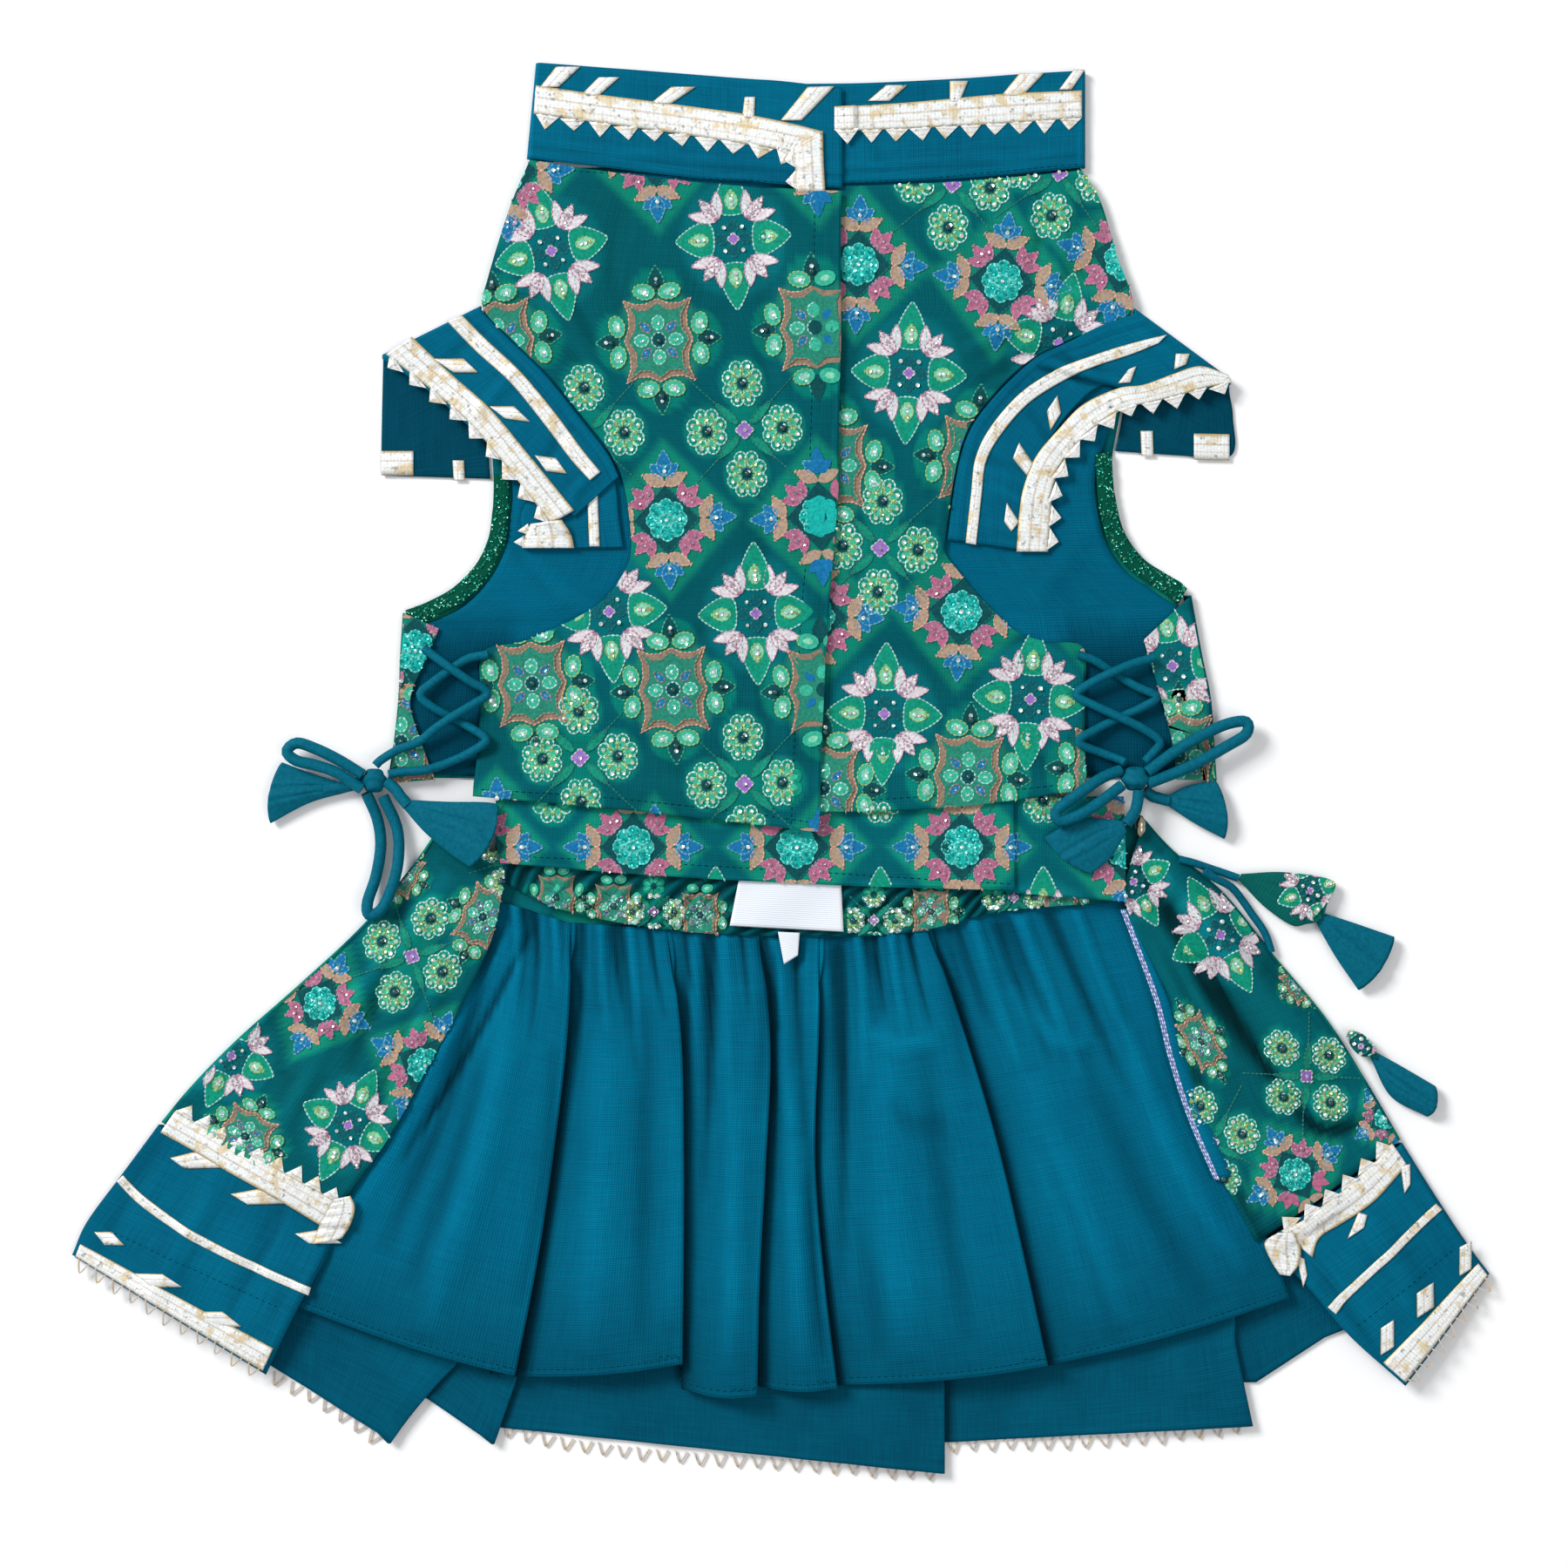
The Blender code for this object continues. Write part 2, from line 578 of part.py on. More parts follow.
frontRightRows = [
    (11.9, 222.1, 114.5, 228.1, 1.6),
    (11.2, 210.5, 121.9, 216.5, 0.0),
    (11.2, 193.8, 127.9, 196.5, 0.0),
    (11.2, 177.1, 133.9, 173.5, 0.0),
    (11.2, 167.1, 111.9, 164.1, 0.0),
    (10.9, 157.8, 95.2, 155.8, 0.0),
    (10.5, 145.5, 81.5, 142.8, 0.0),
    (10.2, 132.1, 71.5, 129.5, 0.0),
    (9.9, 115.5, 66.5, 113.1, 0.0),
    (8.5, 93.8, 62.9, 87.1, 0.0),
    (7.9, 83.8, 62.9, 81.8, 0.0),
    (7.2, 76.5, 67.9, 74.8, 0.0),
    (6.9, 69.8, 74.2, 67.1, 0.0),
    (6.5, 63.1, 81.2, 59.8, 0.0),
    (6.2, 56.5, 89.9, 52.1, 0.0),
    (5.9, 49.8, 102.5, 47.8, 0.0),
    (5.5, 42.1, 115.5, 45.8, 0.0),
    (4.5, 27.1, 115.9, 27.1, 0.0),
    (3.9, 10.5, 115.9, 10.5, 0.0),
    (3.5, 0.5, 115.9, 3.1, 0.6),
    (3.2, -7.9, 116.2, -2.5, 1.8),
    (2.9, -16.2, 116.2, -7.9, 3.4),
]
frontHeight = 3.5
lapRise = 2.2
strapClimb = 6.5


# Height of the fronts: level over the back, climbing on to the belly strap at the hem
def frontLevel(x, y):
    climb = strapClimb * rise(-y, -11.1, 8.9)
    return frontHeight + climb


def choliFronts():
    down = np.concatenate([spaced(18, 0.0, 0.85), spaced(6, 0.85, 1.0)[1:]])
    x, y = ruled(frontRightRows, spaced(8), down)
    crown = 1.4 * np.sin(math.pi * spaced(8))[None, :] * np.sin(math.pi * down)[:, None]
    sheet("choli_front_right", x, y, frontLevel(x, y) + crown * rise(x, 31.2, 54.5), materials["printed"])
    x, y = ruled(frontLeftRows, spaced(10), down)
    crown = 1.4 * np.sin(math.pi * spaced(10))[None, :] * np.sin(math.pi * down)[:, None]
    lap = lapRise * rise(x, -8.8, 1.2)
    z = frontLevel(x, y) + lap + crown * (1 - rise(x, -18.8, -2.1))
    sheet("choli_front_left", x, y, z, materials["printed"])


# Collar band: from the right end on the front's left, round the left fold, along the back,
# round the right fold and back along the front. Columns: x, top y, low y, height
collarLeft = [
    (23.5, 259.1, 221.1, 4.9),
    (1.2, 261.8, 222.5, 4.9),
    (-12.1, 262.8, 223.8, 4.4),
    (-32.1, 264.5, 225.1, 3.5),
    (-65.5, 267.1, 229.1, 3.5),
    (-91.5, 269.1, 232.5, 3.5),
]
collarBack = [
    (-90.8, 269.0, 231.8, 0.5),
    (-38.8, 264.6, 231.8, 0.5),
    (11.2, 261.2, 231.8, 0.5),
    (61.2, 262.4, 231.8, 0.5),
    (113.9, 266.0, 231.8, 0.5),
]
collarRight = [
    (113.9, 266.1, 229.1, 3.3),
    (91.2, 264.8, 226.8, 3.3),
    (67.9, 263.1, 225.1, 3.3),
    (34.5, 261.5, 223.5, 3.3),
    (9.5, 261.1, 223.1, 3.3),
]
collarFoldX = (-93.1, 115.9)
collarLean = 3.6


def collarBand():
    columns = list(collarLeft)
    for step, height in foldSteps(3.5, 0.5):
        columns.append((collarFoldX[0] + foldRadius - step, collarLeft[-1][1], collarLeft[-1][2], height))
    columns.extend(collarBack)
    for step, height in reversed(foldSteps(3.3, 0.5)):
        columns.append((collarFoldX[1] - foldRadius + step, collarRight[0][1], collarRight[0][2], height))
    columns.extend(collarRight)
    table = np.array(columns)
    down = spaced(3)[:, None]
    x = table[None, :, 0] + 0 * down
    lean = collarLean * rise(-x, 45.5, 98.8)
    x = x - lean * down
    y = table[None, :, 1] * (1 - down) + table[None, :, 2] * down
    z = table[None, :, 3] + 0 * down
    sheet("collar_band", x, y, z, materials["teal"])


# A lace with triangular teeth along its lower edge: a row for each place along it with
# upper x, y, lower x, y, and its wall's height; pitch is the distance between teeth
def lace(name, rows, pitch, tooth):
    rows = np.asarray(rows, float)
    run = np.linalg.norm(np.diff(rows[:, 2:4], axis=0), axis=1).sum()
    teeth = max(2, round(run / pitch))
    row = along(rows, spaced(2 * teeth))
    away = row[:, 2:4] - row[:, 0:2]
    away /= np.linalg.norm(away, axis=1)[:, None]
    point = np.where(np.arange(2 * teeth + 1) % 2 == 1, tooth, 0.0)[:, None]
    low = row[:, 2:4] + away * point
    x = np.stack([row[:, 0], low[:, 0]])
    y = np.stack([row[:, 1], low[:, 1]])
    z = np.stack([row[:, 4], row[:, 4]])
    sheet(name, x, y, z, materials["gota"], trimWall)


def ribbon(name, rows, steps=10):
    row = along(rows, spaced(steps))
    x = np.stack([row[:, 0], row[:, 2]])
    y = np.stack([row[:, 1], row[:, 3]])
    z = np.stack([row[:, 4], row[:, 4]])
    sheet(name, x, y, z, materials["gota"], trimWall)


trimLift = wall / 2 + seamGap + trimWall / 2
toothPitch = 9.4
toothDepth = 4.4
picotPitch = 8.0
picotDepth = 3.4


def collarLaces():
    front = 3.5 + trimLift
    lap = 4.9 + trimLift
    lace("collar_lace_left", [
        (-92.8, 260.1, -92.8, 249.1, front),
        (-68.8, 256.1, -68.8, 245.1, front),
        (-42.1, 253.1, -42.1, 241.1, front + 0.5),
        (-15.5, 249.8, -17.1, 236.8, lap),
        (15.9, 243.1, 2.5, 235.1, lap),
        (16.2, 230.5, 3.5, 229.8, lap),
        (16.5, 223.5, 3.5, 224.1, lap),
    ], toothPitch, toothDepth)
    lace("collar_lace_right", [
        (24.2, 253.1, 24.2, 240.5, front),
        (51.2, 255.1, 51.2, 240.5, front),
        (84.5, 257.1, 84.5, 242.1, front),
        (114.9, 258.5, 114.9, 244.5, front),
    ], toothPitch, toothDepth)


# Cap sleeves: a row for each ray from the armhole seam to the laced edge
sleeveLeftRows = [
    (-114.5, 174.8, -152.1, 156.1, 0.0),
    (-102.8, 162.8, -132.8, 142.5, 0.0),
    (-89.5, 149.5, -112.8, 124.5, 0.0),
    (-76.1, 132.8, -96.8, 110.5, 0.0),
    (-66.1, 119.8, -84.8, 100.5, 0.0),
    (-61.8, 111.1, -78.8, 95.8, 0.0),
]
sleeveLeftUnder = [
    (-114.5, 173.8, -152.1, 154.5, 0.0),
    (-114.1, 157.1, -152.5, 137.1, 0.0),
    (-112.8, 133.8, -152.8, 117.1, 0.0),
    (-111.1, 110.5, -152.1, 111.8, 0.0),
]
sleeveLeftEndRows = [
    (-65.5, 115.5, -94.8, 105.1, 0.0),
    (-62.8, 106.5, -98.8, 97.1, 0.0),
    (-61.8, 95.5, -98.8, 89.8, 0.0),
    (-60.1, 84.1, -98.1, 83.5, 0.0),
]
sleeveRightRows = [
    (134.9, 173.1, 171.5, 146.1, 0.0),
    (121.9, 168.5, 151.9, 142.5, 0.0),
    (111.9, 163.5, 135.2, 143.1, 0.0),
    (102.5, 159.1, 122.5, 145.8, 0.0),
    (95.5, 155.1, 111.2, 136.8, 0.0),
    (81.9, 142.1, 101.9, 123.5, 0.0),
    (72.2, 128.8, 98.5, 110.5, 0.0),
    (67.2, 112.8, 99.9, 93.8, 0.0),
    (63.5, 87.1, 102.5, 81.8, 0.0),
]
sleeveRightUnder = [
    (134.9, 171.8, 171.5, 143.8, 0.0),
    (133.9, 153.8, 172.9, 133.8, 0.0),
    (130.5, 133.8, 171.9, 119.1, 0.0),
    (127.9, 121.1, 151.2, 119.5, 0.0),
]
sleeveTop = 4.9
sleeveLow = 3.5


# Heights along the sleeves' rays: each sleeve's folded part lies over the rest of it
def sleeveLeftHeight(v):
    return sleeveLow + (sleeveTop - sleeveLow) * rise(v, 0.1, 0.5)


def sleeveRightHeight(v):
    return sleeveTop - (sleeveTop - sleeveLow) * rise(v, 0.22, 0.38)


def sleeve(name, rows, under, fronts, height):
    down = spaced(fronts)
    across = spaced(4)
    x, y = ruled(rows, across, down)
    z = height(down)[:, None] + 0 * x
    start = along(rows, [0.0])[0]
    edgeX = start[0] * (1 - across) + start[2] * across
    edgeY = start[1] * (1 - across) + start[3] * across
    turns = foldSteps(float(z[0, 0]), floorLevel)
    foldX = np.array([edgeX for step, _ in turns])
    foldY = np.array([edgeY + step for step, _ in turns])
    foldZ = np.array([edgeX * 0 + high for _, high in turns])
    lowX, lowY = ruled(under, across, spaced(4))
    lowZ = np.full_like(lowX, floorLevel)
    x = np.vstack([x[::-1], foldX, lowX])
    y = np.vstack([y[::-1], foldY, lowY])
    z = np.vstack([z[::-1], foldZ, lowZ])
    sheet(name, x, y, z, materials["teal"])


def sleeves():
    sleeve("sleeve_left", sleeveLeftRows, sleeveLeftUnder, 10, sleeveLeftHeight)
    sleeve("sleeve_right", sleeveRightRows, sleeveRightUnder, 14, sleeveRightHeight)
    x, y = ruled(sleeveLeftEndRows, spaced(3), spaced(4))
    sheet("sleeve_left_end", x, y, np.full_like(x, sleeveLow), materials["teal"])


# Trim on the sleeves lies on the rays of the sleeve itself, between two fractions of each ray
def onRays(rows, fractions, first, last, height, count=7):
    at = spaced(count, first, last)
    row = along(rows, at)
    near, far = fractions
    table = []
    for k, (ax, ay, bx, by, _) in enumerate(row):
        upper = (ax + (bx - ax) * near, ay + (by - ay) * near)
        lower = (ax + (bx - ax) * far, ay + (by - ay) * far)
        table.append((*upper, *lower, float(height(at[k])) + trimLift))
    return table


def sleeveTrim():
    lace("sleeve_lace_left", onRays(sleeveLeftRows, (0.72, 0.98), 0.02, 1.0, sleeveLeftHeight), 6.2, 4.0)
    lace("sleeve_lace_right", onRays(sleeveRightRows, (0.76, 0.98), 0.02, 1.0, sleeveRightHeight, 12), 6.2, 4.0)
    ribbon("sleeve_stripe_left", onRays(sleeveLeftRows, (0.28, 0.36), 0.02, 0.98, sleeveLeftHeight))
    ribbon("sleeve_stripe_right", onRays(sleeveRightRows, (0.30, 0.41), 0.02, 0.98, sleeveRightHeight, 12), 14)


# Trim on the folded sides: between two fractions down the border, from the fold to the edge
def onWing(side, first, last):
    edge, fold = (slice(0, 2), slice(2, 4)) if side == "left" else (slice(6, 8), slice(4, 6))
    table = []
    for u in spaced(5, 0.04, 0.985):
        ends = []
        for v in (first, last):
            row = along(borderRows, [v])[0] if v >= 0 else along(skirtRows, [1.0 + v])[0]
            ends.append(row[edge] * (1 - u) + row[fold] * u)
        table.append((*ends[0], *ends[1], float(wingHeight(u, 1.0)) + trimLift))
    return table


# The upper laces: along each side from its free edge to its fold, lower and upper edge
upperLaces = {
    "left": [
        (-172.8, -175.9, -167.8, -165.9), (-188.8, -166.2, -183.5, -157.2),
        (-198.8, -160.5, -193.8, -151.5), (-212.8, -152.9, -207.5, -143.9),
        (-223.5, -146.5, -218.1, -138.2), (-236.8, -139.2, -231.1, -130.9),
    ],
    "right": [
        (196.5, -182.5, 191.5, -175.9), (205.2, -179.2, 199.5, -171.9),
        (212.9, -174.2, 206.9, -166.2), (219.9, -169.9, 214.2, -161.2),
        (227.2, -164.5, 221.2, -155.2), (234.2, -156.9, 227.9, -149.2),
        (238.9, -151.5, 233.2, -143.2),
    ],
}


def skirtTrim():
    for side in ("left", "right"):
        rows = along(upperLaces[side], spaced(7))
        heights = wingHeight(spaced(7), 1.0) + trimLift
        lace("upper_lace_" + side, np.column_stack([rows, heights]), 8.5, 4.8)
        ribbon("border_stripe_" + side, onWing(side, 0.42, 0.50))
        lace("hem_lace_" + side, onWing(side, 0.90, 0.985), picotPitch, picotDepth)


# Side lacings, each of two cords that cross, with a knot, loops, tails and cloth cones
lacings = {
    "lacing_left_a": [
        (-111.5, 43.1, 6.2), (-118.8, 41.8, 5.4), (-125.5, 37.8, 4.6), (-132.8, 32.5, 5.6),
        (-137.5, 27.8, 6.2), (-132.8, 23.1, 5.6), (-125.5, 19.1, 4.6), (-117.1, 14.5, 6.2),
        (-112.1, 10.5, 7.4), (-117.1, 6.5, 7.6), (-125.5, 2.5, 4.8), (-135.5, -0.9, 6.2),
        (-144.1, -1.5, 6.2), (-149.5, -2.5, 6.0),
    ],
    "lacing_left_b": [
        (-136.1, 45.5, 6.2), (-131.1, 41.8, 7.4), (-125.5, 37.8, 8.6), (-118.8, 33.1, 7.8),
        (-111.5, 28.5, 6.4), (-117.8, 23.8, 7.4), (-125.5, 19.1, 8.6), (-132.1, 14.5, 7.6),
        (-138.1, 9.8, 6.2), (-145.5, 7.1, 6.0), (-152.1, 3.1, 6.4), (-154.5, 0.8, 6.6),
    ],
    "lacing_right_a": [
        (113.2, 43.1, 6.2), (119.2, 41.1, 5.4), (126.5, 36.5, 4.6), (135.2, 31.1, 5.6),
        (143.2, 27.1, 6.2), (137.9, 23.1, 5.6), (129.2, 19.1, 4.6), (119.9, 14.5, 5.6),
        (113.2, 9.8, 7.6), (121.9, 5.8, 5.4), (129.2, 3.1, 6.4), (131.2, 1.8, 7.4),
    ],
    "lacing_right_b": [
        (141.9, 41.8, 6.2), (134.5, 39.8, 7.4), (126.5, 36.5, 8.6), (118.5, 32.5, 7.8),
        (112.5, 27.8, 6.4), (119.9, 23.5, 7.4), (129.2, 19.1, 8.6), (138.5, 14.5, 7.4),
        (144.5, 9.8, 6.4), (141.2, 5.1, 6.6), (138.5, 2.1, 7.4),
    ],
}
bows = {
    "bow_loop_left_a": [
        (-160.5, -1.9, 7.6), (-168.8, 3.2, 7.4), (-177.6, 7.4, 7.2), (-184.4, 9.4, 7.0),
        (-188.2, 6.2, 6.8), (-184.6, 2.7, 6.8), (-177.8, 1.1, 7.0), (-168.8, -2.0, 7.4),
        (-160.8, -7.3, 7.6),
    ],
    "bow_loop_left_b": [
        (-157.5, -11.0, 5.0), (-154.1, -19.5, 3.0), (-152.8, -29.5, 2.7), (-154.5, -41.2, 3.4),
        (-157.5, -51.5, 6.8), (-156.5, -56.2, 7.2), (-151.8, -53.5, 7.2), (-147.8, -44.5, 7.0),
        (-145.8, -34.5, 5.4), (-146.5, -22.9, 4.0), (-151.1, -12.2, 5.0),
    ],
    "tail_left_a": [
        (-161.1, -5.5, 2.9), (-164.8, -6.9, 2.7), (-168.8, -7.5, 2.7), (-173.1, -8.2, 2.7),
    ],
    "tail_left_b": [
        (-149.1, -6.2, 6.6), (-146.8, -8.2, 7.2), (-144.8, -10.9, 7.8), (-142.8, -13.2, 8.3),
    ],
    "bow_loop_right_a": [
        (140.5, -0.9, 8.2), (149.5, 5.8, 7.4), (159.5, 11.8, 7.0), (169.5, 16.5, 6.8),
        (177.2, 17.5, 6.6), (177.2, 12.8, 6.6), (169.2, 7.8, 6.8), (158.5, 1.8, 7.0),
        (149.5, -2.2, 7.4), (140.9, -5.5, 8.2),
    ],
    "bow_loop_right_b": [
        (127.9, -1.5, 8.8), (121.9, -3.9, 11.2), (115.2, -8.3, 13.4), (109.0, -12.7, 14.0),
        (104.2, -16.9, 14.0), (105.9, -20.2, 14.0), (112.5, -18.2, 14.0), (120.5, -13.5, 13.0),
        (128.5, -7.5, 10.8),
    ],
    "tail_right_a": [
        (139.9, -9.5, 4.6), (141.9, -10.9, 4.2), (143.9, -11.5, 4.0), (146.5, -12.2, 3.8),
    ],
    "tail_right_b": [
        (135.9, -10.2, 9.6), (135.5, -13.5, 9.8), (134.5, -16.9, 10.0), (132.2, -20.2, 10.2),
    ],
}


def sideLacings():
    for name, route in lacings.items():
        cord(name, route, lacingWidth, materials["cord"], 1.5)
    for name, route in bows.items():
        cord(name, route, doriWidth, materials["cord"], 2.2)
    ball("knot_left", (-155.1, -4.9, 5.4), (4.6, 4.8, 4.4), materials["cord"])
    ball("knot_right", (134.9, -4.2, 8.0), (5.0, 4.8, 4.6), materials["cord"])
    cone("cone_left_a", (-174.1, -8.2), (-194.8, -10.9), [
        (0.0, 2.2, 2.0, 2.6), (0.3, 5.0, 2.2, 2.8), (0.7, 9.0, 2.6, 3.0), (1.0, 11.6, 2.4, 2.9),
    ], materials["cord"])
    cone("cone_left_b", (-141.8, -14.5), (-112.1, -24.9), [
        (0.0, 2.2, 2.0, 8.4), (0.3, 5.0, 2.2, 9.6), (0.7, 9.6, 2.4, 11.0), (1.0, 13.6, 2.2, 11.6),
    ], materials["cord"])
    cone("cone_right_a", (147.5, -12.5), (169.2, -16.2), [
        (0.0, 2.2, 2.0, 3.4), (0.3, 5.0, 2.2, 3.2), (0.7, 9.0, 2.6, 3.2), (1.0, 11.4, 2.4, 3.0),
    ], materials["cord"])
    cone("cone_right_b", (130.5, -22.2), (109.9, -34.9), [
        (0.0, 2.2, 1.7, 10.2), (0.3, 5.0, 1.8, 9.9), (0.7, 9.0, 2.0, 9.9), (1.0, 11.4, 1.9, 9.8),
    ], materials["cord"])


# Tasselled waist cords: a thin cord, a printed cloth cap and a teal cone each
waistCords = {
    "waist_cord_a": [
        (151.9, -34.9, 5.8), (157.2, -36.2, 5.0), (163.2, -38.2, 3.4), (169.2, -40.2, 2.4),
        (174.9, -42.2, 2.4),
    ],
    "waist_cord_b": [
        (161.2, -39.5, 8.4), (165.5, -42.2, 7.0), (171.9, -45.5, 4.4), (179.2, -51.5, 2.4),
        (185.2, -57.5, 2.0), (189.2, -64.2, 2.0), (192.5, -71.5, 2.0),
    ],
}


def waistTassels():
    for name, route in waistCords.items():
        cord(name, route, waistCordWidth, materials["cord"])
    cone("tassel_cap_a", (175.3, -42.4), (203.5, -55.2), [
        (0.0, 2.0, 1.6, 2.4), (0.35, 5.4, 2.0, 2.6), (0.7, 9.4, 2.4, 2.9), (0.86, 8.4, 2.4, 2.9),
        (1.0, 3.4, 2.2, 2.8),
    ], materials["printed"])
    cone("tassel_cone_a", (204.4, -55.7), (227.2, -73.5), [
        (0.0, 2.6, 2.0, 2.6), (0.4, 6.0, 2.2, 2.8), (0.8, 10.4, 2.4, 2.9), (1.0, 10.8, 2.2, 2.8),
    ], materials["cord"])
    cone("tassel_cap_b", (216.7, -101.5), (225.4, -108.5), [
        (0.0, 3.0, 2.0, 2.6), (0.5, 5.4, 2.4, 2.9), (1.0, 4.4, 2.2, 2.8),
    ], materials["printed"])
    cone("tassel_cone_b", (225.7, -108.9), (244.9, -125.2), [
        (0.0, 3.6, 2.2, 2.8), (0.5, 7.6, 2.4, 2.9), (0.9, 9.6, 2.4, 2.9), (1.0, 8.0, 1.8, 2.8),
    ], materials["cord"])
    ball("waist_bead", (136.9, -22.2, 6.4), (2.0, 4.0, 1.9), materials["bead"])


skirtPanel()
skirtBorder()
skirtLining()
wingLining()
waistCasing()
labels()
bellyStrap()
choliBack()
choliFronts()
collarBand()
collarLaces()
sleeves()
sleeveTrim()
skirtTrim()
sideLacings()
waistTassels()
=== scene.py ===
# Dog lehenga set laid flat on its back, belly side up: choli, gathered skirt, gota lace, dori
# lacings and tassels. Tables are in millimetres of the garment's plan, with +Y to the collar.
import math

import bmesh
import bpy
import numpy as np
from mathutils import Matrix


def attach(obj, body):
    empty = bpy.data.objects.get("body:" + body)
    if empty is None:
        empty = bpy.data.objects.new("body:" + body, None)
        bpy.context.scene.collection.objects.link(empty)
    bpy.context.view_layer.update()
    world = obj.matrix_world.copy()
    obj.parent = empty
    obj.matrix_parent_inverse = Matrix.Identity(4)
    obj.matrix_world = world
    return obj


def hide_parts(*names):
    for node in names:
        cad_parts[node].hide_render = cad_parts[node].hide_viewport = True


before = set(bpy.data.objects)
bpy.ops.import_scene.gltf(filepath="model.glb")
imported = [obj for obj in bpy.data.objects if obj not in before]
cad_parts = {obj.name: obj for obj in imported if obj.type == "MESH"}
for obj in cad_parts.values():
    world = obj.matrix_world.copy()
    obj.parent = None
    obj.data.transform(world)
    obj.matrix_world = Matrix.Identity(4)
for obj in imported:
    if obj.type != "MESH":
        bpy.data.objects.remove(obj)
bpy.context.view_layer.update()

millimetre = 0.001
chance = np.random.default_rng(11)
clothWall = 0.6
cloths = {}      # what each sheet of cloth says of its cut
sewnOn = {}      # the trims, stitches and beads that each sheet carries
maps = {}        # height maps of the surfaces that carry trims

# Camera and light
view = {"height": 1.5, "centre": (0.0012, -0.0062), "frameWidth": 0.6, "sensor": 36}
lens = bpy.data.cameras.new("camera")
lens.sensor_width = view["sensor"]
lens.lens = view["sensor"] * view["height"] / view["frameWidth"]
camera = bpy.data.objects.new("camera", lens)
camera.location = (*view["centre"], view["height"])
bpy.context.scene.collection.objects.link(camera)
bpy.context.scene.camera = camera

studio = {
    "world": 0.46,
    "lamps": [    # name, place, watts, size
        ("key", (-2.6, 2.0, 2.6), 160, 1.5),
        ("fill", (1.8, -0.8, 3.2), 26, 2.0),
    ],
}
world = bpy.data.worlds.new("studio")
world.use_nodes = True
world.node_tree.nodes["Background"].inputs["Color"].default_value = (1, 1, 1, 1)
world.node_tree.nodes["Background"].inputs["Strength"].default_value = studio["world"]
bpy.context.scene.world = world
for name, place, watts, size in studio["lamps"]:
    lamp = bpy.data.lights.new(name, "AREA")
    lamp.energy = watts
    lamp.size = size
    holder = bpy.data.objects.new(name, lamp)
    holder.location = place
    away = np.array(place) / np.linalg.norm(place)
    holder.rotation_euler = (math.acos(away[2]), 0, math.atan2(away[1], away[0]) + math.pi / 2)
    bpy.context.scene.collection.objects.link(holder)
bpy.context.scene.view_settings.view_transform = "Standard"


# A table's columns at shares 0 to 1 along its rows: cubic pieces whose slope at a row is that
# between its two neighbours
def along(table, at):
    table = np.asarray(table, float)
    place = np.clip(np.asarray(at, float), 0, 1) * (len(table) - 1)
    first = np.minimum(place.astype(int), len(table) - 2)
    t = (place - first)[..., None]
    slope = np.gradient(table, axis=0)
    return ((2 * t**3 - 3 * t**2 + 1) * table[first] + (t**3 - 2 * t**2 + t) * slope[first]
            + (3 * t**2 - 2 * t**3) * table[first + 1] + (t**3 - t**2) * slope[first + 1])


# 0 below low and 1 above high, with 3t squared less 2t cubed between
def rise(value, low, high):
    t = np.clip((np.asarray(value, float) - low) / (high - low), 0, 1)
    return t * t * (3 - 2 * t)


# A hump of height 1 at the middle, falling as e to the minus square of the distance in widths
def hump(value, middle, width):
    return np.exp(-(((np.asarray(value, float) - middle) / width) ** 2))


# One more value than the count, evenly from low to high
def spaced(count, low=0.0, high=1.0):
    return np.linspace(low, high, count + 1)


# The cosine and sine of an angle in degrees
def cosSin(degrees):
    return math.cos(math.radians(degrees)), math.sin(math.radians(degrees))


# Columns a and b of a table's rows, mixed by the share u
def between(rows, a, b, u):
    return rows[:, a] * (1 - u) + rows[:, b] * u


# The x, y and z grids of columns that each hold an x, y and z down the cloth
def gridOf(columns):
    return [np.stack([column[k] for column in columns], axis=1) for k in range(len(columns[0]))]


# A plan grid between two edges: a row is left x, y, right x, y and, where it isn't straight, how
# far its middle hangs
def ruled(table, across, down):
    row = along([(*r, 0.0)[:5] for r in table], down)[:, None, :]
    u = np.asarray(across, float)[None, :]
    x = row[..., 0] * (1 - u) + row[..., 2] * u
    y = row[..., 1] * (1 - u) + row[..., 3] * u - row[..., 4] * 4 * u * (1 - u)
    return x, y


# Which points lie inside a closed outline: those from which a line to the right crosses it an
# odd number of times
def inside(x, y, outline):
    a = np.asarray(outline, float)
    b = np.roll(a, -1, axis=0)
    px = np.ravel(x)[:, None]
    py = np.ravel(y)[:, None]
    spans = (a[None, :, 1] > py) != (b[None, :, 1] > py)
    reach = (b[None, :, 0] - a[None, :, 0]) * (py - a[None, :, 1])
    fall = np.where(b[:, 1] == a[:, 1], 1e-9, b[:, 1] - a[:, 1])[None, :]
    return ((spans & (px < reach / fall + a[None, :, 0])).sum(axis=1) % 2 == 1).reshape(np.shape(x))


# The test of whether plan points lie inside an outline
def within(edge):
    return lambda x, y: inside(x, y, edge)


# The outline of a grid's plan, once round its four edges
def rim(x, y):
    return np.concatenate([
        np.stack([x[0], y[0]], 1), np.stack([x[1:, -1], y[1:, -1]], 1),
        np.stack([x[-1, -2::-1], y[-1, -2::-1]], 1), np.stack([x[-2:0:-1, 0], y[-2:0:-1, 0]], 1)])


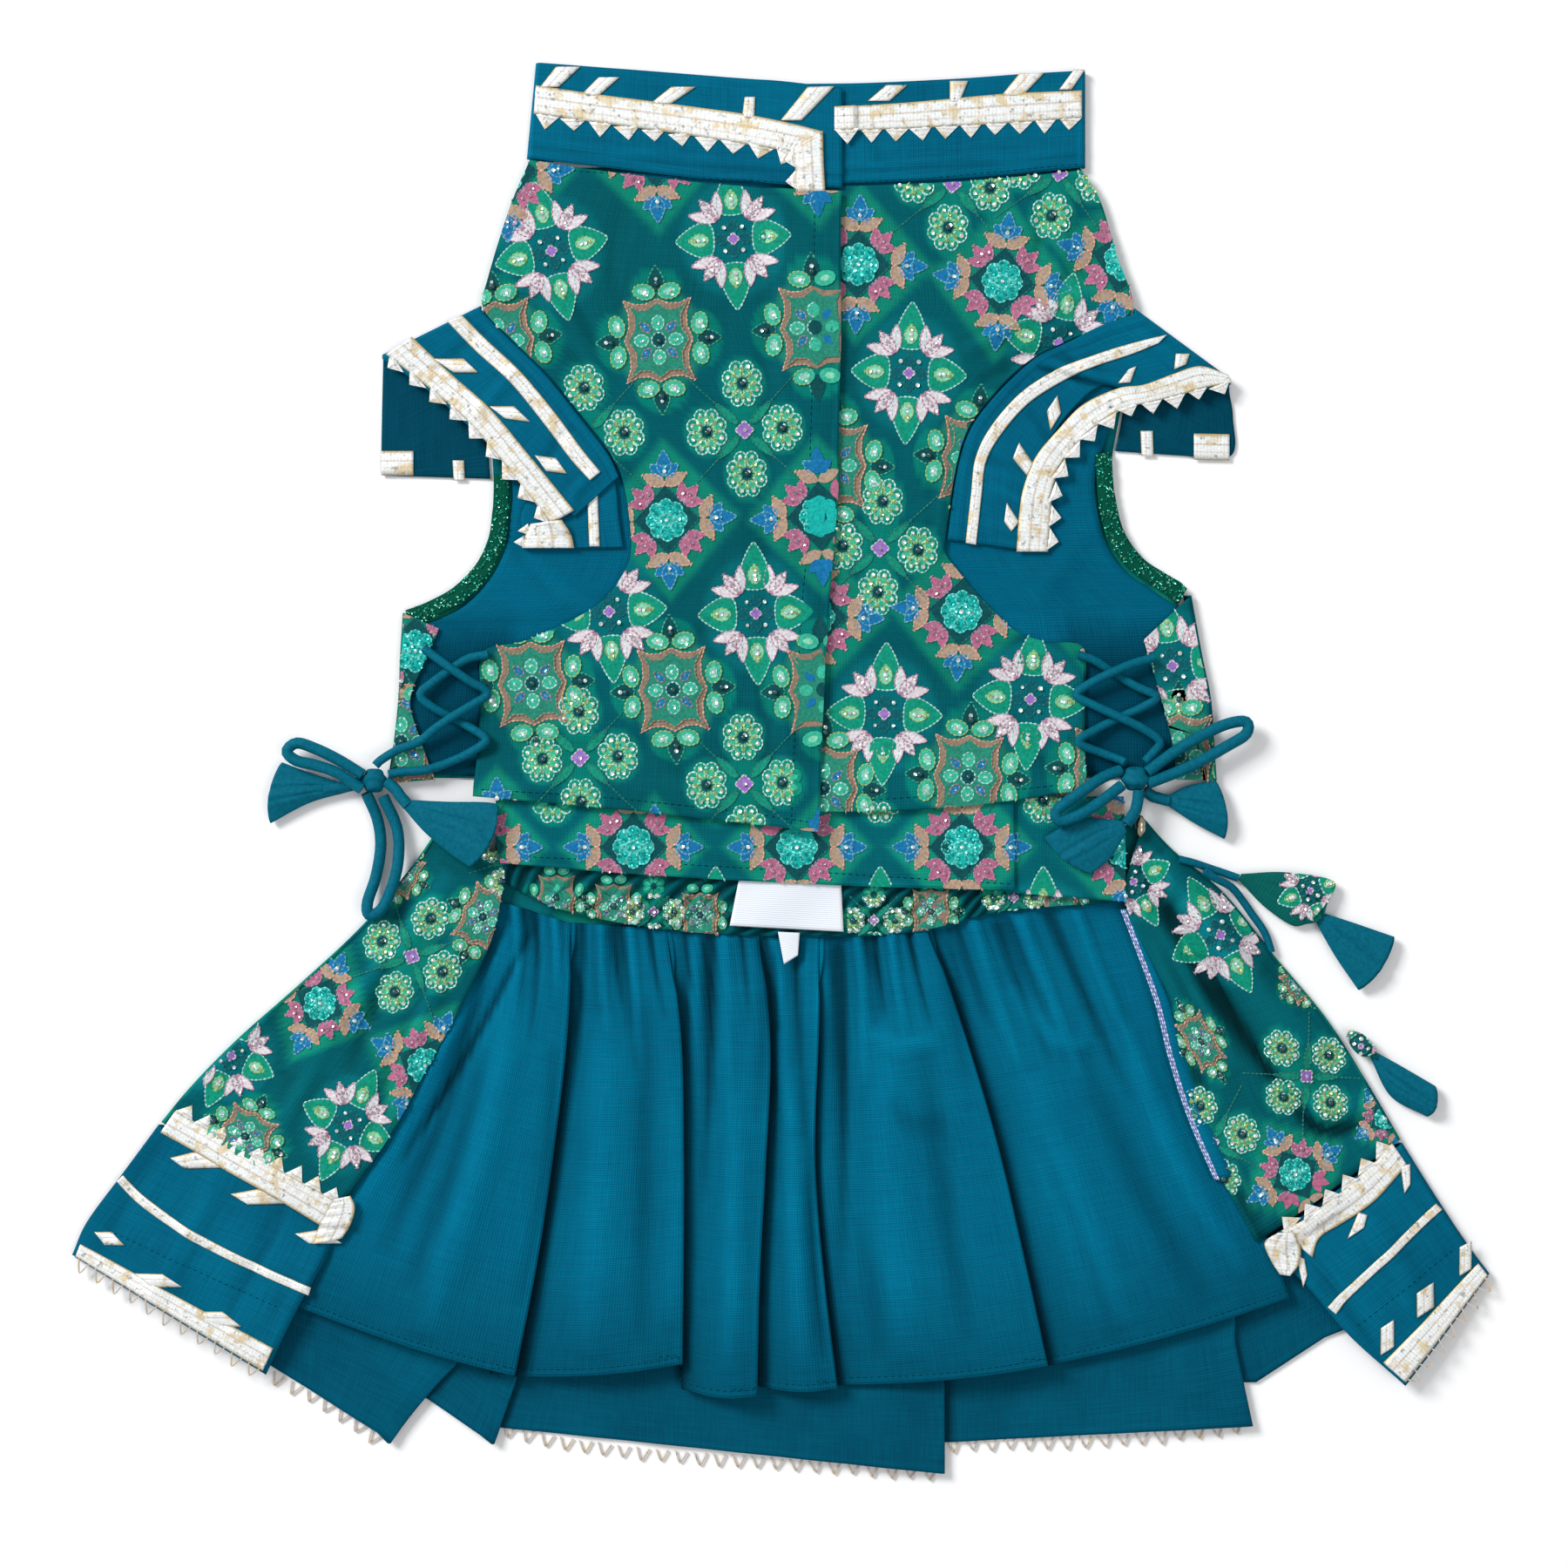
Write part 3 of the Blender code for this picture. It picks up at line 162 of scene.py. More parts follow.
# A route at even steps, with the direction at each
def paced(route, step):
    route = np.asarray(route, float)
    run = np.concatenate([[0], np.cumsum(np.linalg.norm(np.diff(route, axis=0), axis=1))])
    at = np.linspace(0, run[-1], max(2, round(run[-1] / step)) + 1)
    middle = (at[1:] + at[:-1]) / 2
    spot = np.stack([np.interp(middle, run, route[:, k]) for k in range(route.shape[1])], 1)
    ahead = np.stack([np.interp(middle + 0.1, run, route[:, k]) for k in range(2)], 1)
    behind = np.stack([np.interp(middle - 0.1, run, route[:, k]) for k in range(2)], 1)
    way = ahead - behind
    return spot, np.arctan2(way[:, 1], way[:, 0])


# Creases as listed: each is three places of the plan, a width and a height in millimetres, +
# for a ridge and - for a trough. Across it, a hump; along it, the square root of a sine, so that
# it fades at both ends. One that is held starts at once, as at a gathered seam, and fades evenly.
def creased(x, y, table, held=False, parts=10):
    total = np.zeros_like(x)
    for *places, width, height in table:
        route = along(np.reshape(places, (3, 2)), spaced(parts))
        share = np.zeros_like(x)
        near = np.full_like(x, 1e9)
        for k, (one, two) in enumerate(zip(route, route[1:])):
            way = two - one
            t = np.clip(((x - one[0]) * way[0] + (y - one[1]) * way[1]) / (way @ way), 0, 1)
            far = np.hypot(x - one[0] - way[0] * t, y - one[1] - way[1] * t)
            share = np.where(far < near, (k + t) / parts, share)
            near = np.minimum(far, near)
        if held:
            fade = rise(share, -0.02, 0.08) * (1 - share) ** 0.8
        else:
            fade = np.sqrt(np.sin(math.pi * np.clip(share, 0, 1)))
        total = total + height * np.exp(-((near / width) ** 2)) * fade
    return total


# A grid's value between four of its places, mixed by the shares p down and q across
def bilinear(g, i, j, p, q):
    return (g[i, j] * (1 - p) * (1 - q) + g[i + 1, j] * p * (1 - q)
            + g[i, j + 1] * (1 - p) * q + g[i + 1, j + 1] * p * q)


# The upper height of a surface on a 1 mm raster: the grid is filled in between its points, the
# highest in each cell is kept, and empty cells take the mean of their neighbours, as many times
# as the margin is wide
def mapped(x, y, z, finer=4, margin=6, empty=-1e9, lowest=-50):
    rows = np.linspace(0, x.shape[0] - 1, x.shape[0] * finer)
    columns = np.linspace(0, x.shape[1] - 1, x.shape[1] * finer)
    i = np.minimum(rows.astype(int), x.shape[0] - 2)[:, None]
    j = np.minimum(columns.astype(int), x.shape[1] - 2)[None, :]
    p, q = rows[:, None] - i, columns[None, :] - j
    fineX, fineY, fineZ = [bilinear(g, i, j, p, q) for g in (x, y, z)]
    x0, y0 = math.floor(x.min()) - margin, math.floor(y.min()) - margin
    raster = np.full((math.ceil(y.max()) - y0 + margin + 1, math.ceil(x.max()) - x0 + margin + 1), empty)
    np.maximum.at(raster, ((fineY - y0).round().astype(int), (fineX - x0).round().astype(int)), fineZ)
    for _ in range(margin):
        wide = np.pad(raster, 1, constant_values=empty)
        near = np.stack([wide[1 + a:wide.shape[0] - 1 + a, 1 + b:wide.shape[1] - 1 + b]
                         for a in (-1, 0, 1) for b in (-1, 0, 1)])
        known = near > empty / 10
        mean = np.where(known, near, 0).sum(0) / np.maximum(known.sum(0), 1)
        raster = np.where((raster < empty / 10) & known.any(0), mean, raster)
    return x0, y0, np.maximum(raster, lowest)


# Keeps the map of a part of a cloth's upper face
def mapPart(name, x, y, z, part=np.s_[:]):
    maps[name] = mapped(x[part], y[part], z[part] + clothWall / 2)


# The height of a mapped surface at plan points
def heightOn(name, x, y):
    x0, y0, raster = maps[name]
    across = np.clip(np.asarray(x, float) - x0, 0, raster.shape[1] - 1.001)
    down = np.clip(np.asarray(y, float) - y0, 0, raster.shape[0] - 1.001)
    i, j = down.astype(int), across.astype(int)
    return bilinear(raster, i, j, down - i, across - j)


# The highest of some surfaces at plan points. A place past their edges takes the middle value
# of the others, for a trim that stands off its cloth.
def over(*names):
    def surface(x, y):
        z = np.maximum.reduce([heightOn(n, x, y) for n in names])
        return np.where(z > 0, z, np.median(z[z > 0]) if (z > 0).any() else floorLevel)
    return surface


# sRGB hex to linear: each part over 12.92 below 0.04045, else ((c + 0.055) / 1.055) to the 2.4
def linear(code, alpha=1.0):
    parts = [int(code[k:k + 2], 16) / 255 for k in (1, 3, 5)]
    return (*[c / 12.92 if c <= 0.04045 else ((c + 0.055) / 1.055) ** 2.4 for c in parts], alpha)


# The faces of a grid of points, or of a ring of columns that meets itself
def gridFaces(rows, columns, ring=False):
    i, j = np.meshgrid(np.arange(rows - 1), np.arange(columns if ring else columns - 1), indexing="ij")
    k = (j + 1) % columns
    corners = [i * columns + j, i * columns + k, (i + 1) * columns + k, (i + 1) * columns + j]
    return np.stack(corners, -1).reshape(-1, 4)


# A grid's points, one to a row
def pointsOf(x, y, z):
    return np.stack([x.ravel(), y.ravel(), z.ravel()], 1)


# Which vertex each corner of a mesh's faces uses
def cornersOf(mesh):
    order = np.zeros(len(mesh.loops), np.int32)
    mesh.loops.foreach_get("vertex_index", order)
    return order


# Links a piece and puts it on the one body
def placed(piece):
    bpy.context.scene.collection.objects.link(piece)
    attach(piece, "root")
    return piece


# A mesh from points in millimetres, with its weave coordinates and the colours of its points
def makeMesh(name, points, faces, material, uv=None, tint=None, smooth=True):
    mesh = bpy.data.meshes.new(name)
    mesh.from_pydata((np.asarray(points) * millimetre).tolist(), [], [f.tolist() for f in faces])
    mesh.materials.append(material)
    if uv is not None:
        spots = np.asarray(uv, np.float32)[cornersOf(mesh)]
        mesh.uv_layers.new(name="lay").data.foreach_set("uv", spots.ravel())
    if tint is not None:
        layer = mesh.color_attributes.new("tint", "FLOAT_COLOR", "POINT")
        layer.data.foreach_set("color", np.asarray(tint, np.float32).ravel())
    mesh.polygons.foreach_set("use_smooth", np.full(len(mesh.polygons), smooth))
    mesh.update()
    return placed(bpy.data.objects.new(name, mesh))


# Gives a thin piece its wall, half of it on either side
def walled(piece, wall):
    solid = piece.modifiers.new("wall", "SOLIDIFY")
    solid.thickness = wall * millimetre
    solid.offset = 0


# Turns a piece's faces outwards and, where asked, joins points that lie at one place
def turnedOut(piece, joined=False):
    bm = bmesh.new()
    bm.from_mesh(piece.data)
    if joined:
        bmesh.ops.remove_doubles(bm, verts=bm.verts, dist=0.00001)
    bmesh.ops.recalc_face_normals(bm, faces=bm.faces)
    bm.to_mesh(piece.data)
    bm.free()


# Weave coordinates of a grid: the mean lengths along its rows and down its columns, in metres
def layOf(x, y, z):
    def lengths(a, axis):
        d = np.sqrt(sum(np.diff(g, axis=axis) ** 2 for g in a)).mean(axis=1 - axis)
        return np.concatenate([[0], np.cumsum(d)])
    u, v = np.meshgrid(lengths((x, y, z), 1), lengths((x, y, z), 0))
    return np.stack([u.ravel(), v.ravel()], 1) * millimetre


# Painted shade and highlight from the cloth's relief: the height at a place less the mean height
# within the reach in millimetres. At the depth in millimetres and below it, a hollow is darker
# by painted shade and a ridge is lighter by painted highlight, by these shares.
shading = {"depth": 0.8, "hollow": 0.5, "ridge": 0.16}


def reliefShade(x, y, z, reach):
    x0, y0, raster = mapped(x, y, z)
    known = (raster > -40).astype(float)
    means = []
    for total in (raster * known, known):
        for axis in (0, 1):
            wide = np.pad(total, [(reach + 1, reach) if k == axis else (0, 0) for k in (0, 1)])
            run = np.cumsum(wide, axis=axis)
            count = run.shape[axis]
            total = run.take(range(2 * reach + 1, count), axis)
            total = total - run.take(range(count - 2 * reach - 1), axis)
        means.append(total)
    maps["mean"] = (x0, y0, means[0] / np.maximum(means[1], 1))
    deep = np.clip((heightOn("mean", x, y) - z) / shading["depth"], -1, 1)
    return 1 - shading["hollow"] * np.maximum(deep, 0) - shading["ridge"] * np.minimum(deep, 0)


# A sheet of cloth from a grid of its wall's middle points, with a wall of its own. Its colour
# is its tint times its shade, and times the painted shade and highlight of its relief, found in each of its
# parts by itself.
def clothPiece(name, x, y, z, material, cut, held, restsOn, area=None, wall=clothWall, tint=None,
               carries=True, shade=1.0, split=(np.s_[:],), reach=3):
    factor = np.ones_like(z) * shade
    for part in split:
        factor[part] *= reliefShade(x[part], y[part], z[part], reach)
    tint = np.ones((*x.shape, 4)) if tint is None else np.array(tint, float).reshape(*x.shape, 4)
    tint[..., :3] *= factor[..., None]
    piece = makeMesh(name + "_cloth", pointsOf(x, y, z), gridFaces(*x.shape), material, layOf(x, y, z),
                     tint.reshape(-1, 4))
    walled(piece, wall)
    if carries:
        maps[name] = mapped(x, y, z + wall / 2)
    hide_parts(name)
    cloths[name] = {"piece": piece, "flat": cut, "held": held, "rests_on": restsOn, "area": area}
    sewnOn.setdefault(name, [])


# A small closed shape with its faces turned outwards
def outward(points, faces):
    bm = bmesh.new()
    verts = [bm.verts.new(p) for p in points]
    for face in faces:
        bm.faces.new([verts[k] for k in face])
    bmesh.ops.recalc_face_normals(bm, faces=bm.faces)
    bm.verts.index_update()
    turned = [[v.index for v in f.verts] for f in bm.faces]
    bm.free()
    return np.asarray(points, float), turned


# Many copies of one small shape in a single mesh: each copy is scaled, tilted about its own X
# and Y by small angles, turned in the plan and moved
def repeated(name, shape, places, turns, sizes, material, tints=None, tilts=None, smooth=False):
    points, faces = shape
    count = len(places)
    local = points[None, :, :] * np.broadcast_to(sizes, (count, 3))[:, None, :]
    if tilts is not None:
        local[..., 2] += local[..., 0] * tilts[:, None, 0] + local[..., 1] * tilts[:, None, 1]
    c, s = np.cos(turns)[:, None], np.sin(turns)[:, None]
    spots = np.stack([local[..., 0] * c - local[..., 1] * s, local[..., 0] * s + local[..., 1] * c,
                      local[..., 2]], -1)
    spots += np.asarray(places)[:, None, :]
    shift = (np.arange(count) * len(points))[:, None, None]
    every = []
    for size in sorted({len(f) for f in faces}):
        every += list((np.array([f for f in faces if len(f) == size])[None] + shift).reshape(-1, size))
    tint = None if tints is None else np.repeat(np.broadcast_to(tints, (count, 4)), len(points), axis=0)
    return makeMesh(name, spots.reshape(-1, 3), every, material, None, tint, smooth)


# Small shapes in units of their own size. A ring has eight points, a band joins two rings and a
# fan closes a ring with a point.
ring = [(math.cos(k * math.pi / 4), math.sin(k * math.pi / 4)) for k in range(8)]


def band(low, high):
    return [(low + k, low + (k + 1) % 8, high + (k + 1) % 8, high + k) for k in range(8)]


def fan(low, tip):
    return [(low + k, low + (k + 1) % 8, tip) for k in range(8)]


stitchShape = outward(
    [(-0.5, 0, 0), (0.5, 0, 0), (0, -0.5, 0), (0, 0.5, 0), (0, 0, 1), (0, 0, -0.4)],
    [(0, 2, 4), (2, 1, 4), (1, 3, 4), (3, 0, 4), (2, 0, 5), (1, 2, 5), (3, 1, 5), (0, 3, 5)])
sequinShape = outward(
    [(x, y, h) for h in (0.5, 0.1) for x, y in ring] + [(0, 0, 0.15), (0, 0, -0.2)],
    fan(0, 16) + fan(8, 17) + band(0, 8))
beadShape = outward(
    [(x * r, y * r, h) for r, h in ((0.75, -0.6), (1, 0.1), (0.7, 0.75)) for x, y in ring]
    + [(0, 0, -0.9), (0, 0, 1)],
    band(0, 8) + band(8, 16) + fan(0, 24) + fan(16, 25))
toothShape = outward(
    [(x, y, h) for h in (-0.5, 0.1) for x, y in ((-0.5, 0.1), (0.5, 0.1), (0, -1))] + [(0, -0.25, 1)],
    [(0, 1, 2), (0, 1, 4, 3), (1, 2, 5, 4), (2, 0, 3, 5), (3, 6, 5), (6, 4, 5), (3, 4, 6)])


# A small open loop of thread that stands off a hem: a square tube along three sides of a point
def picotLoop():
    route = np.array([(-0.5, 0.15), (-0.3, -0.4), (-0.1, -0.88), (0, -1), (0.1, -0.88), (0.3, -0.4),
                      (0.5, 0.15)])
    way = np.gradient(route, axis=0)
    side = np.stack([-way[:, 1], way[:, 0]], 1) / np.linalg.norm(way, axis=1)[:, None] * 0.055
    points = []
    for at, off in zip(route, side):
        points += [(*(at - off), -0.5), (*(at + off), -0.5), (*(at + off), 0.5), (*(at - off), 0.5)]
    faces = [(4 * k + m, 4 * k + (m + 1) % 4, 4 * k + 4 + (m + 1) % 4, 4 * k + 4 + m)
             for k in range(6) for m in range(4)]
    return outward(points, faces + [(0, 1, 2, 3), (24, 25, 26, 27)])


picotShape = picotLoop()


# Adds one node: an input is a value, or the node and output that feed it
def add(tree, kind, inputs=None, **settings):
    made = tree.nodes.new(kind)
    for key, value in settings.items():
        setattr(made, key, value)
    for key, value in (inputs or {}).items():
        if isinstance(value, tuple) and isinstance(value[0], bpy.types.Node):
            tree.links.new(value[0].outputs[value[1]], made.inputs[key])
        else:
            made.inputs[key].default_value = value
    return made


# A new material. Its shader's inputs are given by name, with _ for a space.
def newMaterial(name, **sockets):
    material = bpy.data.materials.new(name)
    material.use_nodes = True
    shader = material.node_tree.nodes["Principled BSDF"]
    for key, value in sockets.items():
        shader.inputs[key.replace("_", " ")].default_value = value
    return material, material.node_tree, shader


# Short names for the nodes used most: noise, a change of range, a sum, a mix and a product
def noise(tree, scale, detail, place=None):
    place = place or (add(tree, "ShaderNodeTexCoord"), "Object")
    return add(tree, "ShaderNodeTexNoise", {"Vector": place, "Scale": scale, "Detail": detail})


def ranged(tree, value, low, high, toLow=0.0, toHigh=1.0):
    return add(tree, "ShaderNodeMapRange",
               {"Value": value, "From Min": low, "From Max": high, "To Min": toLow, "To Max": toHigh})


def summed(tree, one, two, operation="ADD"):
    return add(tree, "ShaderNodeMath", {0: one, 1: two}, operation=operation)


def mixed(tree, share, one, two):
    return add(tree, "ShaderNodeMix", {"Factor": share, "A": one, "B": two}, data_type="RGBA")


def multiplied(tree, one, two):
    return add(tree, "ShaderNodeMix", {"Factor": 1.0, "A": one, "B": two}, data_type="RGBA",
               blend_type="MULTIPLY")


# Ends a material: its colour and, where it has one, the height that its bump follows
def finished(material, tree, shader, colour, height=None, strength=0.0, distance=0.0003):
    tree.links.new(colour.outputs["Result"], shader.inputs["Base Color"])
    if height:
        bump = add(tree, "ShaderNodeBump", {"Height": height, "Strength": strength, "Distance": distance})
        tree.links.new(bump.outputs["Normal"], shader.inputs["Normal"])
    return material


# Woven cloth: slubs are noise stretched 16 mm along and 0.8 mm across each thread direction,
# the weave is two crossed waves of 0.9 mm, coarser than its real 0.3 mm so that it shows, and
# a 40 mm mottle gives the soft unevenness of a washed cloth
weave = {"thin": 1250, "long": 62, "wave": 350.0, "mottle": 25.0}


def wovenCloth(name, tones, roughness, sheen, slub=0.5, depth=0.5, ground=False):
    material, tree, shader = newMaterial(name, Roughness=roughness, Sheen_Weight=sheen, Sheen_Roughness=0.5,
                                         Specular_IOR_Level=0.03, Sheen_Tint=linear("#0A8FB0"))
    lay = (add(tree, "ShaderNodeUVMap", uv_map="lay"), "UV")
    threads = []
    for stretch in ((weave["thin"], weave["long"], 1), (weave["long"], weave["thin"], 1)):
        spread = add(tree, "ShaderNodeMapping", {"Vector": lay, "Scale": stretch})
        threads.append((noise(tree, 1.0, 3.0, (spread, "Vector")), "Fac"))
    both = summed(tree, *threads)
    uneven = summed(tree, (both, "Value"), (noise(tree, weave["mottle"], 2.0), "Fac"))
    # For sheets of cloth the vertex colour tint holds their colour or print times painted shade in hollows
    # and painted highlight on ridges
    tint = (add(tree, "ShaderNodeVertexColor", layer_name="tint"), "Color")
    if ground:
        own = ranged(tree, (uneven, "Value"), 1.0, 2.0, 0.8, 1.2)
    else:
        share = ranged(tree, (uneven, "Value"), 1.5 - slub, 1.5 + slub)
        own = mixed(tree, (share, "Result"), linear(tones[1]), linear(tones[0]))
    inputs = {"Vector": lay, "Scale": weave["wave"]}
    waves = [(add(tree, "ShaderNodeTexWave", inputs, bands_direction=way), "Fac") for way in ("X", "Y")]
    crossed = summed(tree, *waves, "MULTIPLY")
    tall = summed(tree, (crossed, "Value"), (both, "Value"))
    return finished(material, tree, shader, multiplied(tree, tint, (own, "Result")), (tall, "Value"), depth)


# Art silk in a plain weave: smooth, with a low soft sheen along its folds
tealSilk = wovenCloth("teal_art_silk", ("#006A88", "#00506C"), 0.66, 0.12)
# Cotton silk lining: a little duller, with slubs that run down the skirt
tealLining = wovenCloth("teal_cotton_silk_lining", ("#006D8C", "#005674"), 0.72, 0.1, 0.6, 0.7)
# Printed cotton silk: the print's soft ground is painted on the mesh as its tint
printedCloth = wovenCloth("printed_cotton_silk", None, 0.72, 0.08, ground=True)


# Things whose colour is their tint, with specks between four fifths and the bright share of it
def tinted(name, scale=600.0, detail=1.0, bright=1.15, **sockets):
    material, tree, shader = newMaterial(name, **sockets)
    tint = (add(tree, "ShaderNodeVertexColor", layer_name="tint"), "Color")
    specks = ranged(tree, (noise(tree, scale, detail), "Fac"), 0.3, 0.7, 0.8, bright)
    return finished(material, tree, shader, multiplied(tree, tint, (specks, "Result")))


# Printed ink: the colour of a motif's part, broken up a little by the weave below it
printInk = tinted("pigment_print", 900.0, 2.0, 1.3, Roughness=0.75, Specular_IOR_Level=0.1)
# Rayon embroidery thread: a bright twisted yarn that glints along its run
rayonThread = tinted("rayon_thread", Roughness=0.45, Sheen_Weight=0.1)
# Cotton sewing thread: dull, so that the seams stay quiet
sewingThread = tinted("cotton_sewing_thread", Roughness=0.9, Specular_IOR_Level=0.02)
# Sequins: thin metallised film, mirror bright where it faces a lamp
sequinFilm = tinted("metallised_sequin_film", Metallic=0.7, Roughness=0.2)
# Glass seed beads: deep colour under a clear glossy skin
seedGlass = tinted("glass_seed_bead", Roughness=0.12, Coat_Weight=0.6)

# Gota: ribbon woven of flat metal strips, silver white between yarns of gold and tan, with bits
# of gold and small scuffs. Its ribs of 1.3 mm run across it, coarser than the real ones so that
# they show; v runs across the ribbon, from edge to edge.
yarns = (
    (0.0, "#D2B478"), (0.06, "#E4DCC4"), (0.13, "#EFF4F4"), (0.35, "#F2F6F7"), (0.405, "#D0C0B0"),
    (0.46, "#F2F6F7"), (0.64, "#F2F6F7"), (0.70, "#E2D9CC"), (0.76, "#F2F6F7"), (0.92, "#EAECE6"),
    (1.0, "#CDBB9C"),
)


def gotaRibbon():
    material, tree, shader = newMaterial("gota_metal_ribbon", Metallic=0.25, Roughness=0.4)
    lay = (add(tree, "ShaderNodeUVMap", uv_map="lay"), "UV")
    ribs = add(tree, "ShaderNodeTexWave", bands_direction="X", inputs={
        "Vector": lay, "Scale": 242.0, "Distortion": 4.0, "Detail": 3.0, "Detail Scale": 2.5})
    across = add(tree, "ShaderNodeSeparateXYZ", {"Vector": lay})
    body = add(tree, "ShaderNodeValToRGB", {"Fac": (across, "Y")})
    stops = body.color_ramp.elements
    for at, _ in yarns[2:]:
        stops.new(at)
    for stop, (at, tone) in zip(stops, yarns):
        stop.position = at
        stop.color = linear(tone)
    body = (body, "Color")
    for scale, detail, low, high, tone in (
            (190.0, 3.0, 0.53, 0.64, "#D9BE84"), (520.0, 2.0, 0.6, 0.72, "#6E756C")):
        share = ranged(tree, (noise(tree, scale, detail), "Fac"), low, high, 0.0, 0.7)
        body = (mixed(tree, (share, "Result"), body, linear(tone)), "Result")
    soft = summed(tree, (ribs, "Fac"), 0.2, "MULTIPLY")
    shade = summed(tree, (soft, "Value"), (noise(tree, 1500.0, 2.0), "Fac"))
    dim = ranged(tree, (shade, "Value"), 0.3, 0.75, 0.7, 1.0)
    return finished(material, tree, shader, multiplied(tree, body, (dim, "Result")), (shade, "Value"), 0.4)


# Satin dori: a bias tube of art silk round a cord, its satin shown by a fine grain of 1.4 mm
def satinDori():
    material, tree, shader = newMaterial("satin_dori_cord", Roughness=0.65, Specular_IOR_Level=0.06)
    grain = (noise(tree, 700.0, 3.0), "Fac")
    share = ranged(tree, grain, 0.3, 0.7)
    colour = mixed(tree, (share, "Result"), linear("#01566C"), linear("#02667C"))
    return finished(material, tree, shader, colour, grain, 0.2, 0.0004)


# Label satin: polyester satin weave in white, with floats of 0.75 mm drawn as fine ribs
def satinLabel():
    material, tree, shader = newMaterial("woven_label_satin", Roughness=0.4, Sheen_Weight=0.3)
    lay = add(tree, "ShaderNodeUVMap", uv_map="lay")
    ribs = add(tree, "ShaderNodeTexWave", {"Vector": (lay, "UV"), "Scale": 420.0, "Distortion": 0.6},
               bands_direction="Y")
    colour = mixed(tree, (ribs, "Fac"), linear("#D3DCE8"), linear("#F1F4FA"))
    return finished(material, tree, shader, colour, (ribs, "Fac"), 0.4, 0.0002)


gota = gotaRibbon()
dori = satinDori()
labelSatin = satinLabel()
# Plated brass bead: bright, with a warm grey tone
platedBead = newMaterial("plated_brass_bead", Metallic=1.0, Roughness=0.2, Base_Color=linear("#B9AE98"))[0]


# Matt white card floor, with a faint unevenness
def cardFloor(half=3, drop=-0.0003):
    card, tree, shader = newMaterial("white_card", Roughness=0.9)
    grain = add(tree, "ShaderNodeTexNoise", {"Scale": 40.0, "Detail": 2.0})
    finished(card, tree, shader, mixed(tree, (grain, "Fac"), linear("#F6F7F8"), linear("#FBFBFC")))
    mesh = bpy.data.meshes.new("floor")
    corners = [(-half, -half, drop), (half, -half, drop), (half, half, drop), (-half, half, drop)]
    mesh.from_pydata(corners, [], [(0, 1, 2, 3)])
    mesh.materials.append(card)
    floor = bpy.data.objects.new("floor", mesh)
    bpy.context.scene.collection.objects.link(floor)


cardFloor()
print("materials and studio made")

# The routes of the CAD cords: places along each in millimetres
lacings = {
    "lacing_left_a": [
        (-111.5, 43.1, 6.2), (-118.8, 41.8, 5.4), (-125.5, 37.8, 4.6), (-132.8, 32.5, 5.6),
        (-137.5, 27.8, 6.2), (-132.8, 23.1, 5.6), (-125.5, 19.1, 4.6), (-117.1, 14.5, 6.2),
        (-112.1, 10.5, 7.4), (-117.1, 6.5, 7.6), (-125.5, 2.5, 4.8), (-135.5, -0.9, 6.2),
        (-144.1, -1.5, 6.2), (-149.5, -2.5, 6.0),
    ],
    "lacing_left_b": [
        (-136.1, 45.5, 6.2), (-131.1, 41.8, 7.4), (-125.5, 37.8, 8.6), (-118.8, 33.1, 7.8),
        (-111.5, 28.5, 6.4), (-117.8, 23.8, 7.4), (-125.5, 19.1, 8.6), (-132.1, 14.5, 7.6),
        (-138.1, 9.8, 6.2), (-145.5, 7.1, 6.0), (-152.1, 3.1, 6.4), (-154.5, 0.8, 6.6),
    ],
    "lacing_right_a": [
        (113.2, 43.1, 6.2), (119.2, 41.1, 5.4), (126.5, 36.5, 4.6), (135.2, 31.1, 5.6), (143.2, 27.1, 6.2),
        (137.9, 23.1, 5.6), (129.2, 19.1, 4.6), (119.9, 14.5, 5.6), (113.2, 9.8, 7.6), (121.9, 5.8, 5.4),
        (129.2, 3.1, 6.4), (131.2, 1.8, 7.4),
    ],
    "lacing_right_b": [
        (141.9, 41.8, 6.2), (134.5, 39.8, 7.4), (126.5, 36.5, 8.6), (118.5, 32.5, 7.8), (112.5, 27.8, 6.4),
        (119.9, 23.5, 7.4), (129.2, 19.1, 8.6), (138.5, 14.5, 7.4), (144.5, 9.8, 6.4), (141.2, 5.1, 6.6),
        (138.5, 2.1, 7.4),
    ],
}


